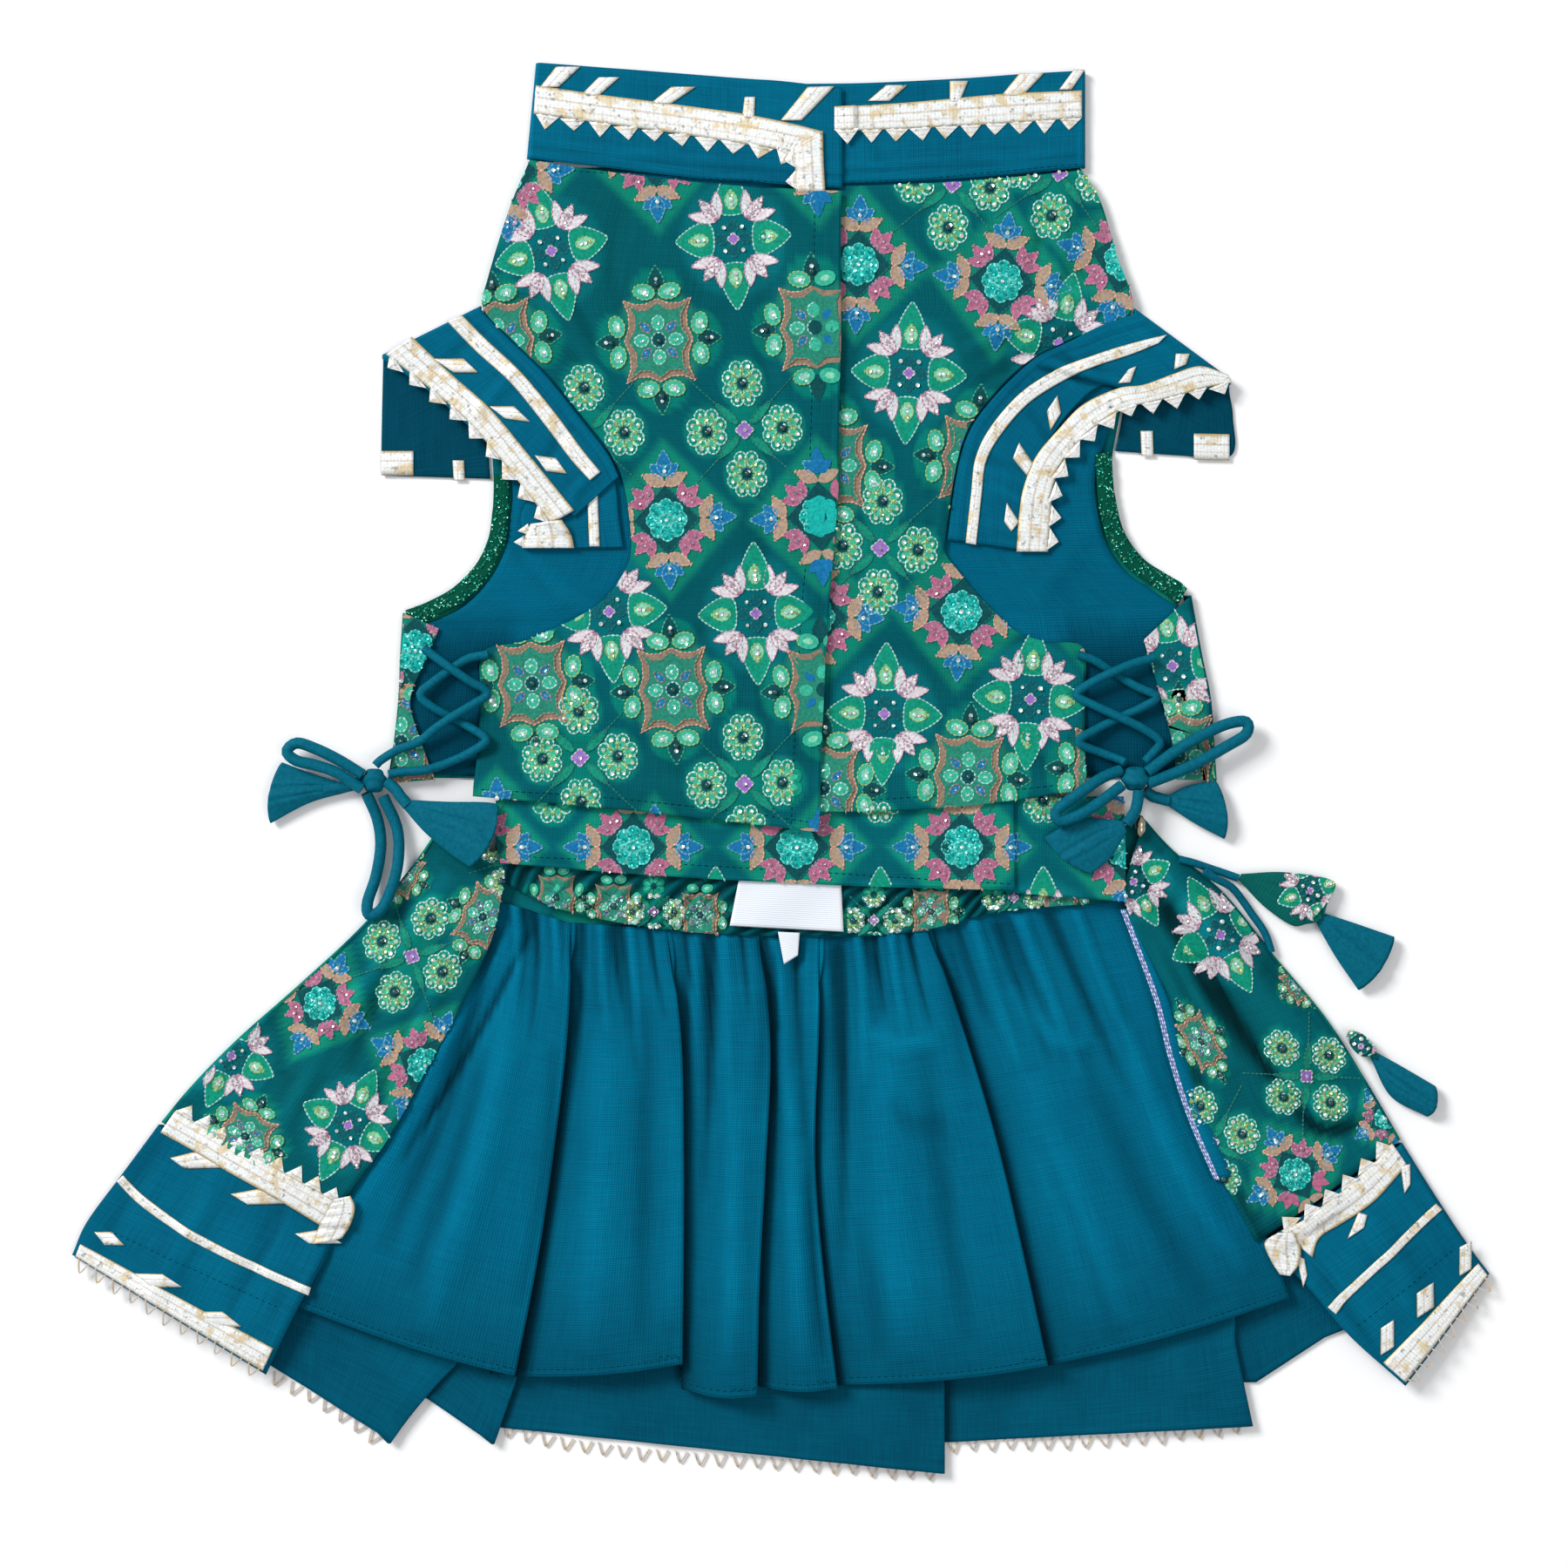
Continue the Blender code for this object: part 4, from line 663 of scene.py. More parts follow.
bows = {
    "bow_loop_left_a": [
        (-160.5, -1.9, 7.6), (-168.8, 3.2, 7.4), (-177.6, 7.4, 7.2), (-184.4, 9.4, 7.0),
        (-188.2, 6.2, 6.8), (-184.6, 2.7, 6.8), (-177.8, 1.1, 7.0), (-168.8, -2.0, 7.4),
        (-160.8, -7.3, 7.6),
    ],
    "bow_loop_left_b": [
        (-157.5, -11.0, 5.0), (-154.1, -19.5, 3.0), (-152.8, -29.5, 2.7), (-154.5, -41.2, 3.4),
        (-157.5, -51.5, 6.8), (-156.5, -56.2, 7.2), (-151.8, -53.5, 7.2), (-147.8, -44.5, 7.0),
        (-145.8, -34.5, 5.4), (-146.5, -22.9, 4.0), (-151.1, -12.2, 5.0),
    ],
    "tail_left_a": [
        (-161.1, -5.5, 2.9), (-164.8, -6.9, 2.7), (-168.8, -7.5, 2.7), (-173.1, -8.2, 2.7),
    ],
    "tail_left_b": [
        (-149.1, -6.2, 6.6), (-146.8, -8.2, 7.2), (-144.8, -10.9, 7.8), (-142.8, -13.2, 8.3),
    ],
    "bow_loop_right_a": [
        (140.5, -0.9, 8.2), (149.5, 5.8, 7.4), (159.5, 11.8, 7.0), (169.5, 16.5, 6.8), (177.2, 17.5, 6.6),
        (177.2, 12.8, 6.6), (169.2, 7.8, 6.8), (158.5, 1.8, 7.0), (149.5, -2.2, 7.4), (140.9, -5.5, 8.2),
    ],
    "bow_loop_right_b": [
        (127.9, -1.5, 8.8), (121.9, -3.9, 11.2), (115.2, -8.3, 13.4), (109.0, -12.7, 14.0),
        (104.2, -16.9, 14.0), (105.9, -20.2, 14.0), (112.5, -18.2, 14.0), (120.5, -13.5, 13.0),
        (128.5, -7.5, 10.8),
    ],
    "tail_right_a": [
        (139.9, -9.5, 4.6), (141.9, -10.9, 4.2), (143.9, -11.5, 4.0), (146.5, -12.2, 3.8),
    ],
    "tail_right_b": [
        (135.9, -10.2, 9.6), (135.5, -13.5, 9.8), (134.5, -16.9, 10.0), (132.2, -20.2, 10.2),
    ],
}


# The waist's cords, which lie beside its casing
waistCords = {
    "waist_cord_a": [
        (151.9, -34.9, 5.8), (157.2, -36.2, 5.0), (163.2, -38.2, 3.4), (169.2, -40.2, 2.4),
        (174.9, -42.2, 2.4),
    ],
    "waist_cord_b": [
        (161.2, -39.5, 8.4), (165.5, -42.2, 7.0), (171.9, -45.5, 4.4), (176.2, -50.5, 2.4),
        (180.0, -55.9, 2.0), (185.0, -63.2, 2.0), (187.5, -70.5, 1.9),
    ],
}
cords = {}


# A cord is a curve with a round section along the CAD's smooth route. A cord that ends in a knot
# reaches a little further at both ends, into it.
def cordPiece(name, route, width, reach=0.0, step=2.4, fewest=14):
    route = np.asarray(route, float)
    for end, inner in ((0, 1), (-1, -2)):
        way = route[end] - route[inner]
        route[end] += way / np.linalg.norm(way) * reach
    rough = np.linalg.norm(np.diff(route, axis=0), axis=1).sum()
    points = along(route, spaced(max(fewest, round(rough / step))))
    curve = bpy.data.curves.new(name, "CURVE")
    curve.dimensions = "3D"
    curve.bevel_depth = width / 2 * millimetre
    curve.bevel_resolution = 4
    curve.use_fill_caps = True
    spline = curve.splines.new("POLY")
    spline.points.add(len(points) - 1)
    spline.points.foreach_set("co", np.column_stack([points * millimetre, np.ones(len(points))]).ravel())
    spline.use_smooth = True
    curve.materials.append(dori)
    piece = placed(bpy.data.objects.new(name + "_dori", curve))
    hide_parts(name)
    length = np.linalg.norm(np.diff(points, axis=0), axis=1).sum()
    cords[name] = {"piece": piece, "exit": points[0], "length": length, "width": width}


for group, width, reach in ((lacings, 3.4, 0.0), (bows, 4.4, 1.5), (waistCords, 3.0, 0.0)):
    for name, route in group.items():
        cordPiece(name, route, width, reach)


# A turned ball about Y: its radii times a swell, which may differ along Y
def ball(name, suffix, material, centre, radii, rows, columns, swells):
    down, turn = np.meshgrid(spaced(rows) * math.pi, spaced(columns)[:-1] * 2 * math.pi, indexing="ij")
    swell, endwise = swells(down, turn)
    points = pointsOf(centre[0] + radii[0] * swell * np.sin(down) * np.cos(turn),
                      centre[1] + radii[1] * endwise * np.cos(down),
                      centre[2] + radii[2] * swell * np.sin(down) * np.sin(turn))
    piece = makeMesh(name + suffix, points, gridFaces(rows + 1, columns, True), material)
    turnedOut(piece, joined=True)
    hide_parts(name)


# A knot swells along three wound turns of the cord: by 0.16 of the square of sin(3a + lean sin b),
# where a is the angle down it and b the angle round it
def wound(lean):
    def swells(down, turn):
        wind = np.sin(3 * down + lean * np.sin(turn)) ** 2
        swell = 0.86 + 0.16 * wind * np.sin(down) + 0.04 * np.cos(turn * 2)
        return swell, swell
    return swells


ball("knot_left", "_dori", dori, (-155.1, -4.9, 5.4), (4.9, 5.1, 4.6), 20, 40, wound(1.2))
ball("knot_right", "_dori", dori, (134.9, -4.2, 8.0), (5.3, 5.1, 4.8), 20, 40, wound(-1.0))


# A cloth cone: folded cloth between two edge lines of the plan that start at the cord. Across
# it, the section is an oval whose upper half carries soft pleats and two grooves; its open base
# turns in.
cone = {"rows": 26, "columns": 72, "turned": (0.965, 0.93), "close": (0.9, 0.75, 0.7), "pleat": 0.22,
        "bulge": 2.6, "lay": 30}


def clothCone(name, leftEdge, rightEdge, height, tall, pleats, material=dori, tint=None):
    at = np.concatenate([spaced(cone["rows"]), [1.0, *cone["turned"]]])
    left = along(leftEdge, at)
    right = along(rightEdge, at)
    down = at[:, None]
    angle = np.arange(cone["columns"]) * 2 * math.pi / cone["columns"]
    upper = np.sin(angle) > 0
    q = 0.5 - 0.5 * np.cos(angle)[None, :]
    grow = 0.55 + 0.45 * rise(down, 0.0, 0.7)
    close = np.ones((len(at), 1))
    close[-3:, 0] = cone["close"]
    pleat = 1 + cone["pleat"] * np.cos(pleats * 2 * math.pi * q + 0.6) * rise(down, 0.15, 0.9)
    groove = 1.1 * hump(q, 0.36 + 0.08 * down, 0.035) + 0.7 * hump(q, 0.68 - 0.05 * down, 0.04)
    groove = groove * rise(down, 0.1, 0.5) * upper * close
    bulge = cone["bulge"] * np.sin(math.pi * q) ** 0.7 * rise(down, 0.75, 1.0)
    half = tall * grow * close * np.sin(angle)[None, :] * np.where(upper, pleat, 0.9)
    share = 0.5 + (q - 0.5) * close
    axis = left[25] + right[25] - left[0] - right[0]
    axis = axis / np.linalg.norm(axis)
    x, y = [left[:, k:k + 1] * (1 - share) + right[:, k:k + 1] * share + bulge * axis[k] for k in (0, 1)]
    z = np.interp(at, [0, 1], height)[:, None] + half - groove
    rows, columns = x.shape
    points = pointsOf(x, y, z)
    points = np.vstack([points, points[:columns].mean(0), points[-columns:].mean(0)])
    k = np.arange(columns)
    after, last = (k + 1) % columns, (rows - 1) * columns
    caps = [*np.stack([np.full(columns, rows * columns), after, k], 1),
            *np.stack([np.full(columns, rows * columns + 1), last + k, last + after], 1)]
    lay = np.stack([np.broadcast_to(share, x.shape), np.broadcast_to(down, x.shape)], -1).reshape(-1, 2)
    lay = np.vstack([lay, [[0.5, 0], [0.5, 1]]]) * cone["lay"] * millimetre
    piece = makeMesh(name + "_cloth", points, [*gridFaces(rows, columns, True), *caps], material, lay,
                     None if tint is None else np.broadcast_to(tint, (len(points), 4)))
    turnedOut(piece)
    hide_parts(name)
    top = np.s_[:, :cone["columns"] // 2 + 1]
    maps[name] = mapped(x[top], y[top], z[top], 3)


# Each cone's two edge lines, its height at both ends, how tall it is and its pleats
coneShapes = {
    "cone_left_a": ([(-166.1, -6.2), (-178.8, -2.2), (-190.5, 2.1)],
                    [(-166.1, -9.5), (-180.1, -13.5), (-194.8, -21.2)], (2.6, 2.8), 2.6, 1.5),
    "cone_left_b": ([(-142.1, -12.2), (-127.1, -12.9), (-108.8, -13.5), (-107.8, -17.9)],
                    [(-143.5, -15.5), (-135.5, -24.5), (-125.5, -32.9), (-118.1, -37.9)],
                    (8.6, 11.0), 2.4, 1.5),
    "cone_right_a": ([(147.2, -10.9), (155.2, -6.9), (165.9, -4.9)],
                     [(147.2, -14.2), (157.9, -21.2), (169.2, -27.2)], (3.4, 3.2), 2.5, 1.4),
    "cone_right_b": ([(130.2, -20.2), (114.5, -19.5), (100.2, -26.2)],
                     [(131.5, -24.5), (125.2, -34.5), (117.9, -40.5)], (10.2, 9.8), 2.0, 1.6),
    "tassel_cone_a": ([(205.5, -54.9), (217.9, -58.9), (234.2, -64.5)],
                      [(203.2, -56.9), (211.2, -71.2), (220.5, -84.9)], (2.6, 2.9), 2.6, 1.4),
    "tassel_cone_b": ([(226.5, -108.2), (236.2, -113.5), (249.9, -121.5)],
                      [(225.2, -110.9), (232.9, -125.5), (246.5, -133.2)], (2.8, 2.8), 2.6, 1.4),
}
for name, shape in coneShapes.items():
    clothCone(name, *shape)

# The belt bead: an oval with a waist turned in it
ball("waist_bead", "_metal", platedBead, (136.9, -22.2, 6.4), (2.1, 4.2, 2.0), 18, 32,
     lambda down, turn: (1 - 0.12 * hump(down, math.pi / 2, 0.12), 1.0))
print("cords, knots and cones made")


# The print is a common lattice of four small traditional motifs: a cross of heart leaves and
# lotus buds, a scalloped square, a cross of four rosettes and a maple-leaved diamond. Their
# parts are petals and rounded shapes set out one by one in millimetres.
ink = {
    "ground": "#02555E", "glow": "#06786C", "moss": "#10806A", "leaf": "#08866E", "green": "#35A58A",
    "mint": "#A6DCD2", "white": "#C8E8E4", "pale": "#7CC3A4", "lotus": "#CDC6CC", "pink": "#B58CA2",
    "violet": "#8E68B4", "dark": "#04474B", "tan": "#A08A78", "brown": "#857262", "olive": "#247C68",
    "blue": "#126A9C", "sky": "#63A9C4", "turquoise": "#12A39C", "aqua": "#6FE0D6", "sea": "#05686F",
    "rose": "#A8607E", "peach": "#D9A88F", "straw": "#C2CE8C", "silver": "#E4EFEA", "lime": "#9CC078",
}


# The colours of some inks
def inks(names):
    return np.array([linear(ink[name]) for name in names])


# A petal's outline: it starts at its base and runs along its angle; at share s of its length
# its half width is half its width times sin(pi s to the lean), to the roundness
def petal(base, angle, length, width, lean=0.6, roundness=0.9, count=12):
    s = 0.5 - 0.5 * np.cos(math.pi * spaced(count // 2))
    half = width / 2 * np.sin(math.pi * s**lean) ** roundness
    a = np.concatenate([s, s[-2:0:-1]]) * length
    b = np.concatenate([half, -half[-2:0:-1]])
    t = math.radians(angle)
    c, s = math.cos(t), math.sin(t)
    return np.stack([base[0] + a * c - b * s, base[1] + a * s + b * c], 1)


# A rounded shape's outline: both radii times cosine and sine, each to 2 over the power, so that
# 2 is an oval, 1 a diamond and less than 1 has hollow sides
def rounded(centre, radii, power=2.0, angle=0.0, count=12):
    t = np.arange(count) * 2 * math.pi / count
    a = radii[0] * np.sign(np.cos(t)) * np.abs(np.cos(t)) ** (2 / power)
    b = radii[1] * np.sign(np.sin(t)) * np.abs(np.sin(t)) ** (2 / power)
    c, s = cosSin(angle)
    return np.stack([centre[0] + a * c - b * s, centre[1] + a * s + b * c], 1)


# The place at a radius and angle from a middle
def spoke(radius, angle, middle=(0, 0)):
    c, s = cosSin(angle)
    return middle[0] + radius * c, middle[1] + radius * s


# A square frame whose every side is two hollow scallops that meet in a cusp: across a side, at
# share s from corner to corner, it is drawn in by the bite times the size of sin(2 pi s)
def scalloped(wide, tall, bite, count=6):
    points = []
    corners = [(-wide, tall), (wide, tall), (wide, -tall), (-wide, -tall)]
    for k, inwards in enumerate(((0, -1), (-1, 0), (0, 1), (1, 0))):
        (x, y), (nextX, nextY) = corners[k], corners[(k + 1) % 4]
        for s in np.arange(count) / count:
            drawn = bite * abs(math.sin(2 * math.pi * s))
            points.append((x + (nextX - x) * s + inwards[0] * drawn,
                           y + (nextY - y) * s + inwards[1] * drawn))
    return np.array(points)


# Each motif lists its parts (outline, fill, thread, layer), open threads, sequins and beads
def leafCross():
    parts, sequins = [], []
    for angle, start, length, width in ((0, 7.3, 14.7, 13.6), (180, 7.3, 14.7, 13.6), (90, 9, 18.2, 11.8),
                                        (270, 9, 18.2, 11.8)):
        parts += [(petal(spoke(start, angle), angle, length, width, 0.5, 0.7, 24), "leaf", "mint", 1),
                  (petal(spoke(start + 2.2, angle), angle, 7.4, 5.0, 0.9, 0.8), "pale", "lime", 2),
                  (petal(spoke(1.8, angle), angle, 5.4, 4.4, 1.0), "ground", "sea", 1)]
        sequins += [(*spoke(start + out, angle), tone) for out, tone in ((4.2, "silver"), (6.0, "silver"),
                                                                         (7.8, "straw"))]
    for angle in (52, 128, 232, 308):
        base = spoke(9.6, angle)
        for turn, length, width in ((40, 11.0, 4.6), (-40, 11.0, 4.6), (0, 9.8, 4.8)):
            parts.append((petal(base, angle + turn, length, width, 0.8, 0.8), "lotus", "pink", 2))
        sequins += [(*spoke(out, angle, base), "lotus") for out in (2.6, 5.4, 8.0)]
        sequins.append((*spoke(5.6, angle), "silver"))
    parts.append((rounded((0, 0), (2.4, 2.4), 1.0), "violet", "lotus", 3))
    return parts, [], sequins, []


def scallopSquare():
    parts = [(scalloped(13.0, 15.8, 2.2), "brown", "peach", 2),
             (scalloped(11.6, 14.4, 3.2), "olive", "tan", 8),
             (rounded((0, 0), (2.8, 2.8)), "dark", "mint", 10)]
    sequins, beads = [], [(0, 0, "dark")]
    for angle, reach, start, away, aside in ((0, 26, 14.6, 15.8, 5.8), (180, 26, 14.6, 15.8, 5.8),
                                             (90, 30.5, 17.8, 18.6, 4.9), (270, 30.5, 17.8, 18.6, 4.9)):
        parts += [(petal(spoke(start, angle), angle, (reach - start) * 0.84, 6.4, 0.72), "dark", "green", 1),
                  (rounded(spoke(6.6, angle), (2.3, 2.7), 2, angle - 90), "green", "mint", 9),
                  (petal(spoke(4.6, angle + 45), angle + 45, 5.0, 3.0, 0.8), "blue", "tan", 9)]
        for side in (-1, 1):
            spot = spoke(aside, angle + 90 * side, spoke(away, angle))
            parts += [(rounded(spot, (3.0, 4.2), 2, angle - side * 12), "green", "lime", 6),
                      (rounded(spot, (1.2, 1.9), 2, angle - side * 12), "pale", "mint", 7)]
            sequins += [(*spot, "silver"), (spot[0] + 0.9, spot[1] - 1.3, "mint")]
        beads.append((*spoke(start + 3.8, angle), "dark"))
        sequins += [(*spoke(6.6, angle), "silver"), (*spoke(start + 5.6, angle), "silver"),
                    (*spoke(7.0, angle + 45), "sky")]
    return parts, [], sequins, beads


rosettes = ((0, 17.8), (-14.4, 0), (0, -16.8), (14.4, 0))


def rosetteCross(stretch=1.16):
    parts = [(rounded((0, 0), (3.6, 3.6), 1.0), "violet", "lotus", 2)]
    sequins, beads, threads = [(0, 0, "lotus")], [], []
    for angle in (45, 135, 225, 315):
        parts.append((petal(spoke(3.5, angle), angle, 12, 3.4, 0.7), "moss", "glow", 1))
        threads.append(np.array([spoke(12, angle), spoke(30, angle)]))
    for x, y in rosettes:
        parts.append((rounded((x, y), (5.6, 6.6), 2.0, 0, 24), "leaf", None, 1))
        for turn in range(0, 360, 45):
            c, s = spoke(5.4, turn + 22.5)
            rimTone = "white" if turn % 90 else "mint"
            parts.append((rounded((x + c, y + s * stretch), (2.5, 2.7)), "leaf", rimTone, 2))
            base = (x + c * 0.42, y + s * 0.48)
            parts.append((petal(base, turn + 22.5, 4.2, 2.4, 0.9, 0.7), "green", "lime", 3))
            for radius, lean, tone in ((6.0, 22.5, "silver"), (4.2, 0, "lime")):
                c, s = spoke(radius, turn + lean)
                sequins.append((x + c, y + s * stretch, tone))
        parts.append((rounded((x, y), (2.0, 2.3)), "dark", "sea", 4))
        beads.append((x, y, "dark"))
        sequins.append((x + 0.7, y + 0.8, "silver"))
    return parts, threads, sequins, beads


def mapleDiamond():
    parts = [(rounded((0, 0), (12.6, 13.2), 1.0, 0, 24), "dark", "sea", 2),
             (rounded((0, 0), (6.6, 7.6), 2.0, 0, 24), "turquoise", None, 3)]
    parts += [(rounded(spoke(5.2, a), (2.6, 2.8)), "turquoise", "aqua", 4) for a in range(0, 360, 45)]
    sequins = [(*spoke(radius, angle), "turquoise" if angle % 60 else "aqua")
               for radius, gap in ((2.4, 60), (4.6, 36), (6.6, 24)) for angle in range(0, 360, gap)]
    sequins.append((0, 0, "silver"))
    for angle in (0, 90, 180, 270):
        for turn, length, width in ((0, 9.8, 5.6), (52, 7.0, 4.6), (-52, 7.0, 4.6)):
            parts.append((petal(spoke(17.0, angle), angle + turn, length, width, 0.7), "blue", "sky", 3))
        parts.append((rounded(spoke(19.2, angle), (2.8, 2.8)), "blue", None, 3))
        for side in (64, -64):
            parts.append((petal(spoke(13.4, angle), angle + side, 9.4, 4.8, 0.8), "tan", "peach", 3))
        sequins += [(*spoke(18.6, angle), "silver"), (*spoke(20.4, angle), "sky")]
        corner = angle + 45
        base = spoke(9.4, corner)
        for turn, length in ((0, 8.2), (46, 7.4), (-46, 7.4)):
            parts.append((petal(base, corner + turn, length, 4.4, 0.8, 0.8), "rose", "pink", 3))
            sequins.append((*spoke(3.6, corner + turn, base), "pink"))
    return parts, [], sequins, []


motifs = {"A": leafCross(), "B": scallopSquare(), "C": rosetteCross(), "D": mapleDiamond()}
# Soft ground below each motif, as centre x, y and radii, tone and power: 2 is an oval, 1 a diamond
glows = {
    "A": [((0, 0, 19.5, 21.5), "sea", 2)],
    "B": [((0, 0, 14.6, 17.6), "olive", 3)]
         + [((*spoke(out, a), *size), "glow", 2)
            for a, out, size in ((0, 16.5, (7.2, 10.6)), (180, 16.5, (7.2, 10.6)),
                                 (90, 19.5, (9.6, 7.6)), (270, 19.5, (9.6, 7.6)))],
    "C": [((*rosettes[k], 8.6, 9.8), "glow", 2) for k in (0, 2, 3, 1)] + [((0, 0, 10, 10), "glow", 2)],
    "D": [((0, 0, 27.5, 30), "moss", 1)],
}


# A laid motif is its letter, x, y, angle and, where it isn't full size, its width and its height
# as shares. Gives its letter, middle, cosine and sine, and both shares.
def unpacked(laid):
    return [(kind, x, y, *cosSin(angle), *(*size, *size, 1.0, 1.0)[:2]) for kind, x, y, angle, *size in laid]


# The ground's colour at plan points: deep teal green, mixed towards each soft shape's tone inside
# it, and less and less up to 1.12 times its size
def groundTint(x, y, laid):
    base = np.broadcast_to(inks(["ground"]), (*x.shape, 4)).copy()
    for kind, cx, cy, c, s, wide, tall in unpacked(laid):
        dx, dy = ((x - cx) * c + (y - cy) * s) / wide, ((y - cy) * c - (x - cx) * s) / tall
        for (ox, oy, rx, ry), tone, power in glows[kind]:
            far = (np.abs((dx - ox) / rx) ** power + np.abs((dy - oy) / ry) ** power) ** (1 / power)
            share = ((1 - rise(far, 0.94, 1.12)) * 0.9)[..., None]
            base = base * (1 - share) + inks([tone])[0] * share
    return base.reshape(-1, 4)


# A lattice of motifs for the sides that the photograph doesn't show, each row set half a step
# along from the last
printGrid = {"row": 34.7, "step": 57.3, "past": 30}


def lattice(x0, y0, x1, y1, start):
    laid = []
    for row in range(-12, 13):
        for step in range(-8, 9):
            x = start[0] + (step * printGrid["step"] + (row % 2) * printGrid["step"] / 2)
            y = start[1] - row * printGrid["row"]
            past = printGrid["past"]
            if x0 - past < x < x1 + past and y0 - past < y < y1 + past:
                laid.append(("ABCD"[row % 4], x, y, 0.0))
    return laid


# Every plan point of an outline that falls outside the cloth is drawn back along its ray from
# the middle of the part's inner points until it lies on the cloth, by halving nine times
def trimmed(outlines, keep):
    flat = outlines.reshape(-1, 2)
    kept = keep(flat[:, 0], flat[:, 1]).reshape(outlines.shape[:2])
    used = kept.any(axis=1)
    outlines, kept = outlines[used], kept[used]
    weight = kept[..., None].astype(float)
    middle = (outlines * weight).sum(1) / weight.sum(1)
    rays = outlines - middle[:, None]
    low, high = np.zeros(kept.shape), np.ones(kept.shape)
    for _ in range(9):
        at = (low + high) / 2
        spot = middle[:, None] + rays * at[..., None]
        good = keep(spot[..., 0].ravel(), spot[..., 1].ravel()).reshape(kept.shape)
        low, high = np.where(good, at, low), np.where(good, high, at)
    return middle[:, None] + rays * np.where(kept, 1.0, low)[..., None], middle, used


# Fills are thin lenses of ink: rings from the outline to the middle, each at the height of the
# cloth below, and a middle point below the cloth's surface to close them. A face of -1 looks down.
inkLayer = {"base": 0.1, "step": 0.06, "root": 0.15}


def inkFills(outlines, middles, layers, tones, height, face):
    rings = 1 if face < 0 else 2 if outlines.shape[1] <= 12 else 5
    count, sides = outlines.shape[:2]
    shares = np.linspace(1, 0, rings + 1)[:-1]
    spots = middles[:, None, None] + (outlines - middles[:, None])[:, None] * shares[None, :, None, None]
    lift = (inkLayer["base"] + inkLayer["step"] * layers)[:, None, None] * face
    top = np.concatenate([spots, (height(spots[..., 0], spots[..., 1]) + lift)[..., None]], -1)
    centre = height(middles[:, 0], middles[:, 1])
    apex = np.column_stack([middles, centre + lift[:, 0, 0]])[:, None]
    root = np.column_stack([middles, centre - inkLayer["root"] * face])[:, None]
    points = np.concatenate([top.reshape(count, -1, 3), apex, root], 1)
    k = np.arange(sides)
    after = (k + 1) % sides
    last = (rings - 1) * sides
    quads = gridFaces(rings, sides, True)
    caps = np.concatenate([np.stack([last + k, last + after, np.full(sides, rings * sides)], 1),
                           np.stack([after, k, np.full(sides, rings * sides + 1)], 1)])
    if face < 0:
        quads, caps = quads[:, ::-1], caps[:, ::-1]
    shift = (np.arange(count) * points.shape[1])[:, None, None]
    return (points.reshape(-1, 3), (quads[None] + shift).reshape(-1, 4), (caps[None] + shift).reshape(-1, 3),
            np.repeat(inks(tones), points.shape[1], axis=0))


# All the ink on one piece of cloth, as one mesh
def inkPiece(name, fills, keep, height, face):
    points, quads, caps, tints, base = [], [], [], [], 0
    for group in fills.values():
        if group:
            outlines, middles, used = trimmed(np.array([g[0] for g in group]), keep)
            shown = [g for g, ok in zip(group, used) if ok]
            made = inkFills(outlines, middles, np.array([g[2] for g in shown], float), [g[1] for g in shown],
                            height, face)
            made = (made[0], made[1] + base, made[2] + base, made[3])
            for kept, part in zip((points, quads, caps, tints), made):
                kept.append(part)
            base += len(made[0])
    return makeMesh(name + "_print", np.vstack(points), [*np.vstack(quads), *np.vstack(caps)], printInk, None,
                    np.vstack(tints), False)


# Rayon stitches along each line, a little longer than their step
def embroidered(name, lines, stitched, height, step=1.7):
    spots, turns = zip(*[paced(route, step) for route, _, _ in lines])
    tone = [thread for part, (_, thread, _) in zip(spots, lines) for _ in part]
    lift = np.array([high for part, (_, _, high) in zip(spots, lines) for _ in part])
    spots, turns = np.vstack(spots), np.concatenate(turns)
    good = stitched(spots[:, 0], spots[:, 1])
    spots, turns, lift, tone = spots[good], turns[good], lift[good], inks(tone)[good]
    places = np.column_stack([spots, height(spots[:, 0], spots[:, 1]) + lift])
    wide = step * chance.uniform(0.95, 1.25, len(places))
    sizes = np.column_stack([wide, chance.uniform(0.65, 0.9, len(places)), np.full(len(places), 0.36)])
    tone = tone * chance.uniform(0.8, 1.15, (len(tone), 1))
    tone[:, 3] = 1
    return repeated(name + "_embroidery", stitchShape, places, turns, sizes, rayonThread, tone)


# Sequins or beads, each of its own size, turn and tilt
spangles = {
    "_sequins": {"shape": sequinShape, "radius": 0.78, "thick": 0.5, "material": sequinFilm, "lift": 0.5},
    "_beads": {"shape": beadShape, "radius": 1.25, "thick": None, "material": seedGlass, "lift": 0.7},
}


def spangled(name, label, group, stitched, height):
    kind = spangles[label]
    spots = np.array([g[:2] for g in group], float).reshape(-1, 2)
    good = stitched(spots[:, 0], spots[:, 1])
    if not good.any():
        return []
    spots = spots[good]
    tone = inks([g[2] for g, ok in zip(group, good) if ok])
    count = len(spots)
    places = np.column_stack([spots, height(spots[:, 0], spots[:, 1]) + kind["lift"]])
    size = kind["radius"] * chance.uniform(0.85, 1.15, (count, 1)) * np.ones((1, 3))
    if kind["thick"]:
        size[:, 2] = kind["thick"]
    turns, tilts = chance.uniform(0, 6.28, count), chance.normal(0, 0.22, (count, 2))
    return [repeated(name + label, kind["shape"], places, turns, size, kind["material"], tone, tilts,
                     label == "_beads")]


